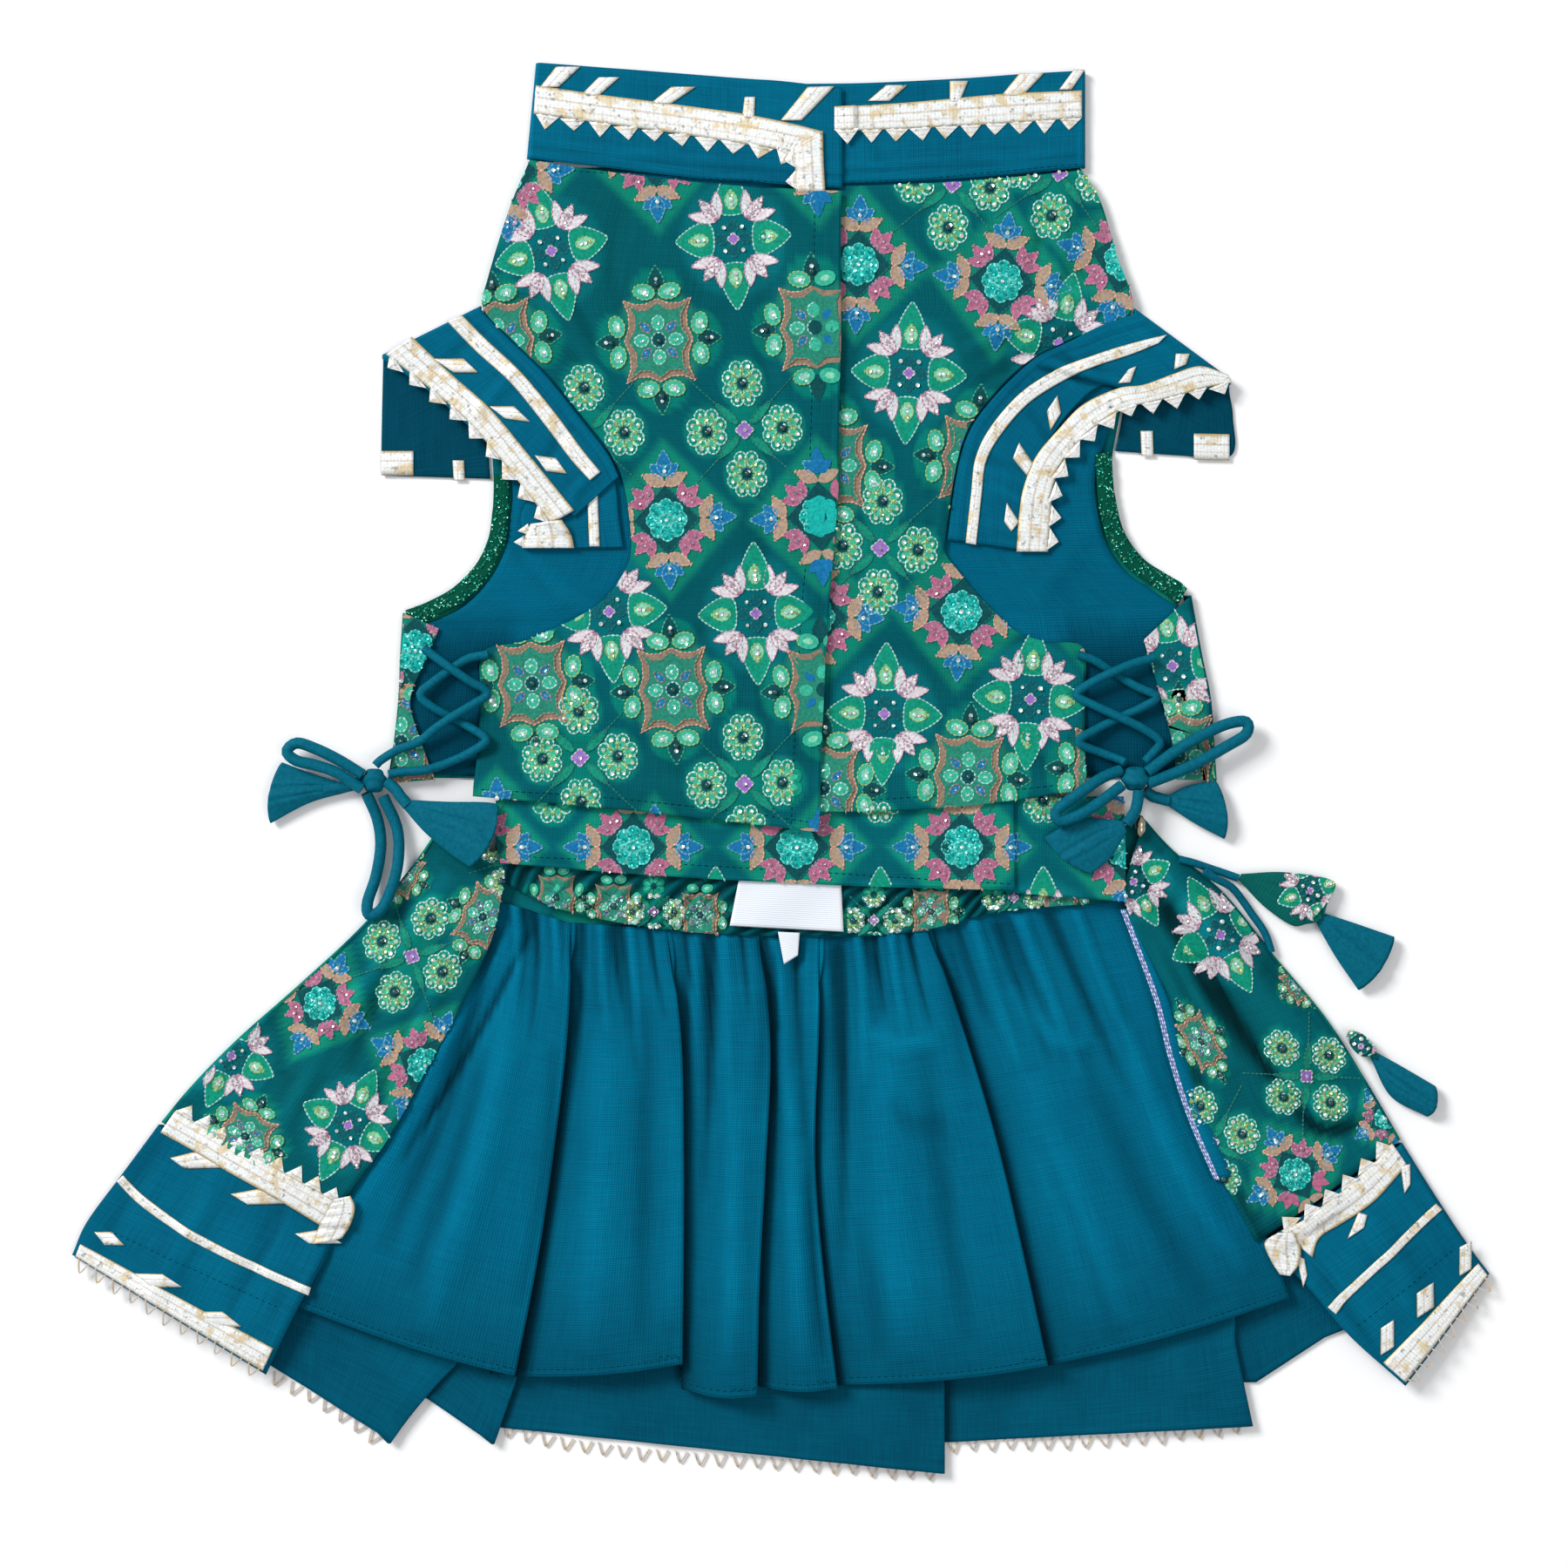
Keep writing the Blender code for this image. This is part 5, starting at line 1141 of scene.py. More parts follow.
# Draws the motifs of one piece of cloth: ink where they are kept, and thread, sequins and beads
# where it is stitched. Each part of a motif has a layer of its own, so that no two are level.
def drawPrint(name, laid, keep, stitched=None, height=None, face=1.0):
    height = height or (lambda x, y: heightOn(name, x, y))
    stitched = stitched or keep
    fills = {12: [], 24: []}
    lines, glints, drops = [], [], []
    for kind, cx, cy, c, s, wide, tall in unpacked(laid):
        turn = np.array([[c, s], [-s, c]])
        parts, threads, sequins, beads = motifs[kind]

        def put(a):
            return (np.asarray(a, float) * (wide, tall)) @ turn + (cx, cy)

        for number, (outline, fill, thread, layer) in enumerate(parts):
            spot = put(outline)
            fills[len(outline)].append((spot, fill, layer + 0.11 * (number % 8)))
            if thread:
                lines.append((np.vstack([spot, spot[:1]]), thread, 0.14 + 0.06 * layer))
        lines += [(put(t), "glow", 0.14) for t in threads]
        glints += [(*put(q[:2]), q[2]) for q in sequins]
        drops += [(*put(q[:2]), q[2]) for q in beads]
    made = [inkPiece(name, fills, keep, height, face)]
    if face > 0:
        made.append(embroidered(name, lines, stitched, height))
        made += spangled(name, "_sequins", glints, stitched, height)
        made += spangled(name, "_beads", drops, stitched, height)
    sewnOn[name] += made


# The skirt. The levels are heights of its wall's middle; a folded side is high at its free edge,
# where it lies on the lining, and low at its fold.
floorLevel = 0.5
wing = {"side": 6.4, "fold": 3.2, "puff": 5.0, "columns": 30, "rows": 64, "open": 63}
border = {"columns": 26, "rows": 30}
fold = {"radius": 1.3, "turns": 8, "shown": 0.985}
# Columns: left edge x, y, left fold x, y, right fold x, y, right edge x, y, bow of the back
skirtRows = [
    (-106.5, -32.2, -132.1, -25.5, 138.5, -19.5, 131.2, -43.5, 28.0),
    (-105.8, -43.5, -142.1, -39.5, 149.5, -31.5, 131.9, -53.5, 29.0),
    (-110.5, -66.2, -160.5, -61.2, 169.2, -48.2, 139.9, -71.5, 34.0),
    (-122.1, -91.2, -183.8, -82.9, 188.5, -72.2, 148.5, -89.5, 44.0),
    (-134.8, -114.5, -207.5, -103.9, 207.9, -95.5, 152.5, -111.2, 56.0),
    (-149.5, -141.2, -224.8, -121.5, 223.2, -119.5, 159.2, -138.2, 68.0),
    (-169.5, -169.2, -236.5, -135.5, 236.5, -142.2, 181.2, -180.9, 76.0),
]


# The border's rows, in the same columns
borderRows = [
    (-169.8, -170.5, -237.5, -136.5, 237.2, -143.5, 182.5, -182.2, 76.0),
    (-172.8, -185.5, -251.1, -154.9, 248.9, -162.2, 198.5, -195.5, 75.0),
    (-185.5, -208.9, -264.8, -173.5, 261.2, -180.9, 216.5, -216.2, 75.0),
    (-196.1, -231.2, -270.5, -186.2, 270.5, -193.5, 237.9, -235.5, 76.0),
]


# Creases of the folded sides
wingCreases = [
    (146.5, -51.5, 162.9, -76.2, 181.9, -110.2, 1.7, -2.4),
    (179.9, -106.2, 188.5, -118.9, 200.5, -127.5, 1.7, -2.2),
    (141.9, -56.2, 157.2, -82.9, 174.5, -115.5, 2.6, 1.3),
    (136.2, -34.5, 158.5, -76.2, 193.9, -126.9, 4.2, -3.4),
    (144.5, -32.9, 171.2, -69.5, 207.9, -111.2, 6.5, 3.4),
    (126.2, -42.9, 144.5, -79.5, 167.9, -126.2, 3.6, 2.0),
    (131.2, -49.5, 149.5, -92.9, 167.9, -139.5, 2.8, -1.8),
    (193.9, -124.9, 206.2, -138.2, 225.9, -135.5, 3.2, -3.4),
    (186.2, -114.5, 204.5, -128.9, 224.5, -126.9, 5.0, 2.2),
    (177.9, -149.5, 194.5, -162.9, 214.5, -167.9, 4.0, 1.6),
    (161.2, -136.2, 177.9, -169.5, 187.9, -186.2, 3.5, -1.4),
    (221.2, -102.9, 234.5, -119.5, 242.9, -136.2, 3.0, 1.4),
    (167.9, -39.5, 181.2, -56.2, 197.9, -79.5, 3.0, -1.4),
    (-125.5, -39.5, -155.5, -79.5, -188.8, -116.2, 4.5, 2.4),
    (-132.1, -26.2, -165.5, -59.5, -202.1, -102.9, 4.0, -1.9),
    (-117.1, -52.9, -138.8, -96.2, -152.1, -136.2, 4.0, 2.0),
    (-142.1, -46.2, -152.1, -82.9, -165.5, -116.2, 3.4, -1.7),
    (-188.8, -82.9, -205.5, -102.9, -227.1, -126.2, 3.8, 1.6),
    (-132.1, -76.2, -148.8, -116.2, -160.5, -156.2, 3.2, -1.6),
    (-172.1, -102.9, -185.5, -126.2, -198.8, -149.5, 3.4, 1.4),
]


# Creases of their borders
borderCreases = [
    (-212.1, -149.5, -227.1, -179.5, -242.1, -206.2, 4.5, 1.5),
    (-188.8, -162.9, -198.8, -186.2, -215.5, -216.2, 3.5, -1.3),
    (-172.1, -172.9, -182.1, -199.5, -195.5, -226.2, 4.0, 1.3),
    (-235.5, -139.5, -248.8, -162.9, -262.1, -186.2, 3.5, -1.1),
    (221.2, -169.5, 234.5, -189.5, 244.5, -216.2, 4.5, 1.5),
    (201.2, -186.2, 217.9, -209.5, 231.2, -229.5, 3.5, -1.3),
    (241.2, -152.9, 254.5, -172.9, 264.5, -189.5, 3.5, 1.2),
]


# Height of a folded side: from its free edge down to its fold, with one soft ridge between
def wingHeight(u, v, puff=0.0):
    side = wing["side"] - 1.2 * (1 - rise(v, 0.1, 0.4))
    height = side + (wing["fold"] - side) * rise(u, 0.25, 1.0)
    ridge = np.exp(-((u - 0.68 + 0.1 * v) / 0.2) ** 2) * rise(v, 0.05, 0.4) * (1 - rise(v, 0.72, 0.86))
    return height + puff * ridge


# Points round a fold: half circle steps past it and their heights
def foldSteps(topHeight, lowHeight=floorLevel):
    radius = (topHeight - lowHeight) / 2
    angle = np.linspace(90, -90, fold["turns"] + 1)[1:-1] * math.pi / 180
    return [(radius * math.cos(a), (topHeight + lowHeight) / 2 + radius * math.sin(a)) for a in angle]


# Rows from the left wing's free edge over its fold, across the back and over the right fold to
# the right wing's free edge. Gives x, y, z and the left wing, the back and the right wing.
def wrapped(table, down, wingCount, puff, backColumns):
    rows = along(table, down)
    level = np.ones(len(down))
    turn = foldSteps(wing["fold"])
    shares = spaced(wingCount, 0.0, fold["shown"])
    columns = [(between(rows, 0, 2, u), between(rows, 1, 3, u), wingHeight(u, down)) for u in shares]
    columns += [(rows[:, 2] - step + fold["radius"], rows[:, 3], level * high) for step, high in turn]
    columns += backColumns(rows, down)
    columns += [(rows[:, 4] + step - fold["radius"], rows[:, 5], level * high) for step, high in turn[::-1]]
    columns += [(between(rows, 6, 4, u), between(rows, 7, 5, u), wingHeight(u, down, puff))
                for u in shares[::-1]]
    left, right = wingCount + 1, len(columns) - wingCount - 1
    return *gridOf(columns), (np.s_[:, :left], np.s_[:, left:right], np.s_[:, right:])


# Back of the panel: level, with gathers 9 mm apart that fade out below the waist
def panelBack(rows, v):
    columns = []
    for u in spaced(110, 0.008, 0.992):
        gather = 0.28 * (1 + math.sin(u * 190 + 2 * math.sin(u * 23))) * (1 - rise(v, 0.15, 0.75))
        columns.append((between(rows, 2, 4, u), between(rows, 3, 5, u) - rows[:, 8] * 4 * u * (1 - u),
                        floorLevel - 0.15 + gather))
    return columns


# A knife pleat: the cloth turns under at its edge, goes back by the overlap and comes out below.
# Gives steps past the edge and heights, which start at twice the lift where the pleat is full.
pleat = {"overlap": 9.5, "turn": 0.9, "full": 0.45, "finer": 5}


def pleatSteps(amount, lift):
    spread = pleat["overlap"] * rise(amount, 0.1, 0.8) - 2.0
    high = 2 * lift * np.minimum(1.0, amount / pleat["full"])
    turn = pleat["turn"] * rise(spread, -2.0, 2.0)
    angles = [math.pi * k / pleat["finer"] for k in range(pleat["finer"] + 1)]
    return ([(turn * math.sin(a), high * (0.75 + 0.25 * math.cos(a))) for a in angles]
            + [(-spread * k, high * (0.5 - 0.02 * k)) for k in (0.35, 0.7)]
            + [(-spread - turn * math.sin(a), high * (0.25 + 0.25 * math.cos(a))) for a in angles])


# The hem's pleats: edge x, y, how low the next part's left and right ends hang, and the lean
hemPleats = [
    (-150.1, -256.2, -257.9, -232.9, 22.0),
    (-110.5, -257.5, -258.2, -252.2, 9.0),
    (61.5, -269.5, -269.5, -257.9, 0.0),
    (179.2, -251.5, -251.5, -235.0, -7.0),
]
hemStart, hemEnd = (-198.8, -226.2), (207.9, -217.9)
hemPleatHeight = 1.4


# Back of the border, from the seam's arc to the pleated hem
def borderBack(rows, v):
    amount = rise(v, 0.1, 0.85)

    def drop(x, hemY, height=0.0):
        x = x + 0 * v
        u = (x - rows[0, 2]) / (rows[0, 4] - rows[0, 2])
        seam = rows[0, 3] * (1 - u) + rows[0, 5] * u - rows[0, 8] * 4 * u * (1 - u)
        for edgeX, *_, lean in hemPleats:
            near = np.maximum(0, 1 - np.abs(x - edgeX) / 36)
            x = x + lean * near * np.minimum(1, (1 - v) / 0.42) * np.minimum(1, v / 0.3)
        return x, seam * (1 - v) + hemY * v, floorLevel + height + 0 * v

    columns = [(rows[:, 2] + 2.5, rows[:, 3] - 0.5, 0 * v + floorLevel), drop(*hemStart)]
    lastX, lastY = hemStart
    for edgeX, edgeY, nextLeft, nextRight, _ in hemPleats:
        count = max(6, round((edgeX - lastX) / 4))
        for part in spaced(count)[1:-1]:
            climb = 2 * hemPleatHeight * np.minimum(1.0, amount / pleat["full"]) * rise(part, 0.1, 1.0)
            wave = 0.25 * math.sin(part * count * 0.9) * rise(v, 0.1, 0.5)
            columns.append(drop(lastX + (edgeX - lastX) * part, lastY + (edgeY - lastY) * part,
                                climb + wave + 0.25))
        steps = pleatSteps(amount, hemPleatHeight)
        for index, (step, height) in enumerate(steps):
            share = index / (len(steps) - 1)
            hemY = nextLeft if share < 0.3 else nextLeft + (nextRight - nextLeft) * rise(share, 0.3, 0.7)
            columns.append(drop(edgeX + step, hemY, height))
        lastX, lastY = edgeX + 2.5, nextRight
        columns.append(drop(lastX, lastY))
    for part in (0.3, 0.6):
        columns.append(drop(lastX + (hemEnd[0] - lastX) * part, lastY + (hemEnd[1] - lastY) * part))
    return columns + [drop(*hemEnd), (rows[:, 4] - 2.5, rows[:, 5] - 0.5, 0 * v + floorLevel)]


# A turned hem: the cloth is thicker in a band along its edge, by the distance from it
def hemmed(distance, width=2.6, height=0.35):
    return height * (1 - rise(distance, width * 0.7, width * 1.2))


# Which columns of a wrapped grid are on its folded sides
def sidesOf(x, parts):
    shown = np.zeros(x.shape[1])
    shown[parts[0][1]] = 1
    shown[parts[2][1]] = 1
    return shown


wingPrints = {
    "left": [
        ("C", -140.5, -71.9, -26, 0.9), ("D", -175.8, -89.9, -26, 0.8), ("A", -209.5, -109.9, -26, 0.8),
        ("A", -164.8, -136.2, -26, 0.86), ("B", -204.1, -140.5, -26, 0.75, 0.62),
        ("D", -135.5, -113.5, -26, 0.86), ("B", -113.5, -56.9, -26, 0.62, 0.72),
        ("C", -102.1, -34.5, -26, 0.6), ("B", -144.8, -40.5, -26, 0.5),
    ],
    "right": [
        ("A", 166.9, -63.5, 28, 0.9), ("C", 200.2, -117.5, 42, 0.82), ("C", 164.2, -143.2, 18, 0.84),
        ("D", 195.9, -154.9, 30, 0.78), ("B", 159.9, -104.2, 30, 0.42, 0.66), ("A", 134.5, -43.5, 28, 0.7),
        ("D", 230.5, -133.9, 34, 0.5), ("B", 197.9, -82.2, 34, 0.42),
    ],
}


# The printed panel, with the print of its folded sides
def skirtPanel():
    x, y, z, parts = wrapped(skirtRows, spaced(wing["rows"]), wing["columns"], wing["puff"], panelBack)
    shown = sidesOf(x, parts)
    creases = creased(x, y, wingCreases) * shown
    z = z + creases
    tint = groundTint(x, y, wingPrints["left"] + wingPrints["right"]).reshape(*x.shape, 4)
    under = groundTint(x, y, lattice(-250, -270, 250, -10, (10.0, -40.0))).reshape(*x.shape, 4)
    shown = shown[None, :, None]
    # Painted shade darkens the troughs of the folded sides' creases and painted highlight lightens their
    # ridges
    clothPiece("skirt_panel", x, y, z, printedCloth, (0.62, 0.155), "gathered", ["skirt_border"],
               tint=(tint * shown + under * (1 - shown)).reshape(-1, 4), carries=False,
               shade=np.clip(1.04 + 0.2 * creases, 0.4, 1.3), split=(parts[0], parts[2]))
    for side, part in (("left", parts[0]), ("right", parts[2])):
        name = "wing_" + side
        mapPart(name, x, y, z, part)
        keep = within(rim(x[part], y[part]))
        stitched = within(rim(x[part][:wing["open"]], y[part][:wing["open"]]))
        sewnOn[name] = []
        drawPrint(name, wingPrints[side], keep, stitched)
        sewnOn["skirt_panel"] += sewnOn[name]


skirtPanel()
print("folded sides made")


# Gives the line of stitches of each folded side, at a share of the border's depth
def skirtBorder(stitchesAt=0.66):
    down = spaced(border["rows"])
    x, y, z, parts = wrapped(borderRows, down, border["columns"], 0.0, borderBack)
    shown = sidesOf(x, parts)
    z = z + creased(x, y, borderCreases) * shown + hemmed((1 - down)[:, None] * 50, 2.6, 0.3)
    clothPiece("skirt_border", x, y, z, tealSilk, (0.70, 0.06), "folded", ["skirt_panel"], carries=False,
               shade=1 - 0.3 * (1 - shown), split=parts)
    mapPart("border_left", x, y, z, parts[0])
    mapPart("border_right", x, y, z, parts[2])
    k = stitchesAt * border["rows"]
    i = int(k)
    return [np.stack([g[part][i] + (g[part][i + 1] - g[part][i]) * (k - i) for g in (x, y)], 1)[2:-2]
            for part in (parts[0], parts[2])]


borderStitches = skirtBorder()

# Lining pleats: x at five heights from waist to hem, y at the waist and hem, y of the next
# part's hem, how far the pleat is laid over and how high it stands at the hem
liningPleats = [
    (-80.5, -82.5, -87.5, -93.8, -102.1, -59.2, -230.9, -232.2, 1.0, 2.9),
    (-44.1, -39.1, -38.1, -38.1, -38.5, -61.2, -226.9, -236.9, 0.75, 2.3),
    (-8.8, -5.1, -6.8, -9.1, -10.1, -61.9, -238.9, -235.5, 1.0, 3.2),
    (14.5, 13.2, 11.9, 15.2, 20.5, -61.2, -236.2, -235.5, 0.7, 2.3),
    (53.9, 68.5, 81.2, 91.2, 100.5, -57.2, -227.5, -228.2, 1.0, 2.9),
]
liningLeft = (-116.5, -131.0, -147.0, -168.0, -186.0, -48.2, -205.0, -205.0, 0.0, 0.0)
liningRight = (137.0, 152.0, 165.0, 180.0, 194.0, -48.5, -202.2, -202.2, 0.0, 0.0)
liningGathers = [
    (-101.5, -49.5, -100.1, -69.5, -102.1, -96.2, 1.7, 1.3),
    (-94.8, -49.5, -92.8, -72.9, -95.5, -106.2, 1.5, -1.3),
    (-86.8, -52.9, -85.5, -66.2, -84.8, -89.5, 1.4, 1.4),
    (-76.1, -56.2, -76.1, -76.2, -78.8, -109.5, 1.6, -1.5),
    (-68.8, -57.9, -68.1, -79.5, -65.5, -102.9, 1.5, 1.6),
    (-63.8, -58.9, -62.8, -74.5, -60.1, -92.9, 1.3, -1.4),
    (-58.1, -59.5, -56.1, -79.5, -52.8, -116.2, 1.7, 1.5),
    (-50.5, -60.2, -48.1, -76.2, -43.8, -97.9, 1.3, -1.2),
    (-36.8, -61.5, -35.5, -79.5, -36.1, -119.5, 1.8, -1.4),
    (-32.1, -62.2, -32.1, -89.5, -30.1, -149.5, 2.4, 1.5),
    (-27.1, -62.2, -26.8, -106.2, -30.1, -166.2, 2.2, -1.7),
    (-21.5, -62.9, -20.8, -86.2, -19.5, -136.2, 2.2, 1.2),
    (-14.8, -62.9, -13.5, -79.5, -12.8, -102.9, 1.4, -1.0),
    (-2.8, -63.5, -0.1, -82.9, 1.9, -122.9, 1.7, 1.4), (5.2, -63.5, 6.5, -92.9, 9.9, -146.2, 2.2, -1.5),
    (16.2, -63.5, 17.2, -99.5, 14.5, -179.5, 2.8, 1.5),
    (21.9, -63.5, 23.9, -119.5, 23.2, -199.5, 2.4, -2.0),
    (29.5, -62.9, 31.2, -82.9, 31.9, -122.9, 1.8, 1.3), (35.5, -62.2, 37.2, -76.2, 39.9, -96.2, 1.3, -1.3),
    (41.9, -61.5, 43.9, -79.5, 47.9, -106.2, 1.5, 1.4), (48.5, -60.9, 51.9, -77.9, 57.2, -99.5, 1.4, -1.5),
    (60.5, -59.5, 63.9, -72.9, 69.2, -89.5, 1.4, 1.2), (66.5, -58.9, 71.9, -76.2, 81.2, -102.9, 1.6, -1.5),
    (73.2, -57.9, 79.9, -79.5, 92.9, -119.5, 2.0, 1.5),
    (81.2, -56.9, 89.5, -79.5, 104.5, -116.2, 1.8, -1.3),
    (90.5, -55.5, 99.9, -79.5, 117.9, -126.2, 2.4, 1.5),
    (101.2, -53.5, 112.9, -79.5, 134.5, -129.5, 2.4, -1.8),
    (111.9, -52.9, 121.9, -79.5, 141.2, -122.9, 2.0, 1.2),
]
# The deepest gathers
liningDeepGathers = [
    (-96.5, -51.2, -97.5, -72.9, -103.8, -111.2, 3.2, -1.1),
    (-61.5, -58.9, -58.8, -79.5, -53.8, -116.2, 3.4, -1.2),
    (-30.1, -62.2, -30.1, -92.9, -32.1, -149.5, 3.0, -1.1),
    (-6.1, -63.5, -4.8, -89.5, -8.8, -136.2, 3.6, -1.3),
    (17.2, -63.5, 19.2, -82.9, 21.2, -126.2, 3.0, -1.0),
    (31.2, -62.9, 35.9, -79.5, 37.9, -106.2, 3.2, -1.0),
    (60.5, -60.2, 65.9, -82.9, 71.9, -122.9, 3.8, -1.4),
    (84.5, -56.9, 93.2, -76.2, 106.2, -102.9, 3.4, -1.0),
]
# Long soft folds down the skirt
liningCreases = [
    (-94.8, -61.2, -117.1, -104.5, -144.8, -150.5, 1.6, -2.6),
    (-102.1, -60.2, -125.5, -101.2, -152.1, -142.9, 3.0, 1.5),
    (-109.5, -59.5, -125.5, -122.9, -152.1, -186.2, 4.0, -2.2),
    (-98.8, -69.5, -112.1, -139.5, -135.5, -216.2, 6.0, 2.2),
    (-117.1, -69.5, -135.5, -122.9, -165.5, -172.9, 4.5, 1.8),
    (-112.1, -106.2, -125.5, -152.9, -142.1, -199.5, 4.0, -1.4),
    (-68.8, -92.9, -68.8, -159.5, -73.5, -222.9, 7.0, 2.0),
    (-50.5, -86.2, -51.5, -152.9, -52.8, -219.5, 4.5, -1.6),
    (-85.5, -106.2, -87.5, -152.9, -98.8, -206.2, 3.5, -1.4),
    (-40.5, -106.2, -39.5, -166.2, -41.5, -212.9, 4.0, 1.2),
    (-17.1, -122.9, -18.1, -179.5, -19.5, -229.5, 4.5, 1.4),
    (2.9, -112.9, 5.2, -169.5, 8.5, -229.5, 4.0, 1.6),
    (12.9, -139.5, 12.5, -179.5, 15.9, -226.2, 2.6, -1.8),
    (-0.5, -99.5, 1.2, -119.5, 5.2, -139.5, 3.0, 1.4), (37.9, -92.9, 41.2, -156.2, 47.9, -226.2, 7.5, 1.8),
    (54.5, -106.2, 62.9, -166.2, 71.2, -219.5, 5.0, -1.6),
    (34.5, -99.5, 44.5, -106.2, 61.2, -102.9, 4.0, 1.2),
    (41.2, -126.2, 51.2, -136.2, 64.5, -136.2, 5.0, -1.1),
    (94.5, -116.2, 111.2, -166.2, 131.2, -212.9, 8.0, 2.0),
    (114.5, -106.2, 137.9, -159.5, 164.5, -206.2, 6.0, -1.8),
    (131.2, -99.5, 151.2, -149.5, 177.9, -192.9, 4.5, 1.8),
    (87.9, -82.9, 104.5, -102.9, 117.9, -106.2, 4.0, 1.3),
    (97.9, -139.5, 114.5, -179.5, 127.9, -219.5, 4.0, -1.2),
    (27.9, -169.5, 34.5, -196.2, 37.9, -226.2, 5.0, -1.1),
]
# The gap shares are painted shade beside each pleat: how much darker, and over how many millimetres it fades
lining = {"rows": 92, "middle": 46, "column": 1.9, "base": 2.2, "low": 1.6, "crown": 2.6, "gather": 1.5,
          "gap": 0.75, "gapShadeReach": 3.4}


# Rows from waist to hem, pleat by pleat. Beside each pleat the cloth is darkened by painted shade. Gives the
# hem's line.
def skirtLining():
    down = spaced(lining["rows"])
    level = np.ones(len(down))
    base = lining["base"] + 2.5 * rise(down, 0.5, 0.95)

    def line(row):
        x = along(np.array(row[:5])[:, None], down)[:, 0]
        y, lowY = [row[5] + (row[k] - row[5]) * down for k in (6, 7)]
        return x, y, lowY, row[8] * rise(down, -0.05, 0.34)

    lastX, _, lastY, _ = line(liningLeft)
    columns = [(lastX, lastY, base, level)]
    gapShadeDepth = 0.0
    for row in liningPleats + [liningRight]:
        edgeX, yLeft, yRight, amount = line(row)
        high = 2 * row[9] * np.minimum(1.0, amount / pleat["full"])
        count = max(8, round((row[2] - lastX[lining["middle"]]) / lining["column"]))
        for part in spaced(count)[1:-1]:
            x = lastX + (edgeX - lastX) * part
            y = lastY + (yLeft - lastY) * part - 1.6 * down * 4 * part * (1 - part)
            crown = lining["crown"] * math.sin(math.pi * part) ** 1.3 * rise(down, 0.05, 0.45)
            gap = 1 - gapShadeDepth * np.exp(-(x - lastX) / lining["gapShadeReach"]) * rise(down, 0.02, 0.3)
            columns.append((x, y, base + high * rise(part, 0.1, 1.05) + crown, gap))
        if row is liningRight:
            columns.append((edgeX, yLeft, base, level))
            break
        steps = pleatSteps(amount, row[9])
        gapShadeDepth = lining["gap"]
        for index, (step, height) in enumerate(steps):
            hidden = index > len(steps) * 0.6
            columns.append((edgeX + step, yLeft, base + height, level - gapShadeDepth * hidden))
        columns.append((edgeX - 0.4, yLeft, base, level - gapShadeDepth))
        lastX, lastY = edgeX + 0.6, yRight
        columns.append((lastX, lastY, base, 1 - gapShadeDepth * rise(down, 0.02, 0.3)))
    x, y, z, gapShades = gridOf(columns)
    gathers = creased(x, y, liningGathers, True) + creased(x, y, liningDeepGathers, True)
    folds = creased(x, y, liningCreases)
    z = z + gathers * lining["gather"] + folds + hemmed((1 - down)[:, None] * 165, 2.8, 0.3)
    # The lining is darker towards its hem; painted shade darkens its gather troughs and fold hollows and
    # painted highlight lightens their ridges
    shade = 1 - 0.32 * rise(down, 0.72, 1.0)[:, None]
    shade = shade * np.clip(1 + 0.5 * gathers + 0.14 * folds, 0.35, 1.16)
    clothPiece("skirt_lining", x, y, np.maximum(z, lining["low"]), tealLining, (0.46, 0.175), "gathered",
               ["skirt_panel", "skirt_border"], shade=shade * gapShades, reach=2)
    return np.stack([x[-1], y[-1]], 1)


liningHem = skirtLining()
print("lining made")

# Right wing's lining: a rolled strip past the printed edge
wingLiningRows = [
    (128.9, -54.2, 138.5, -52.9), (134.5, -68.9, 146.5, -66.2), (141.9, -89.5, 154.5, -86.2),
    (147.2, -110.9, 161.2, -109.5), (154.5, -133.5, 169.2, -131.5), (164.5, -156.9, 178.5, -154.9),
]
across, down = spaced(12)[None, :], spaced(60)[:, None]
x, y = ruled(wingLiningRows, spaced(12), spaced(60))
z = np.zeros_like(x) + 4.3 + 1.4 * down + 1.6 * hump(across, 0.3, 0.2) - 1.2 * across ** 3
clothPiece("wing_lining_right", x, y, z, tealLining, (0.014, 0.108), "folded", ["skirt_lining"])


# Elastic waist casing: ruches as uneven waves, deepest in the middle of its depth
casing = {"columns": 300, "rows": 14, "ruches": 34, "level": 4.4, "height": 0.85}
casingTop = [
    (-108.8, -24.5), (-58.8, -36.9), (-5.5, -42.9), (51.2, -40.9), (94.5, -33.5), (129.2, -25.5),
]
casingLow = [
    (-108.8, -41.9), (-84.1, -53.9), (-45.5, -61.5), (-2.8, -64.2), (47.9, -62.9), (84.5, -54.9),
    (131.2, -50.9),
]
casingPrints = [(kind, x, y, 0, 0.55) for kind, x, y in (
    ("B", -85.5, -49.5), ("B", -63.8, -52.9), ("C", -48.5, -54.9), ("B", -30.8, -56.2),
    ("C", 35.5, -58.2), ("B", 57.2, -54.9), ("C", 88.9, -49.5), ("B", 106.9, -46.9))]


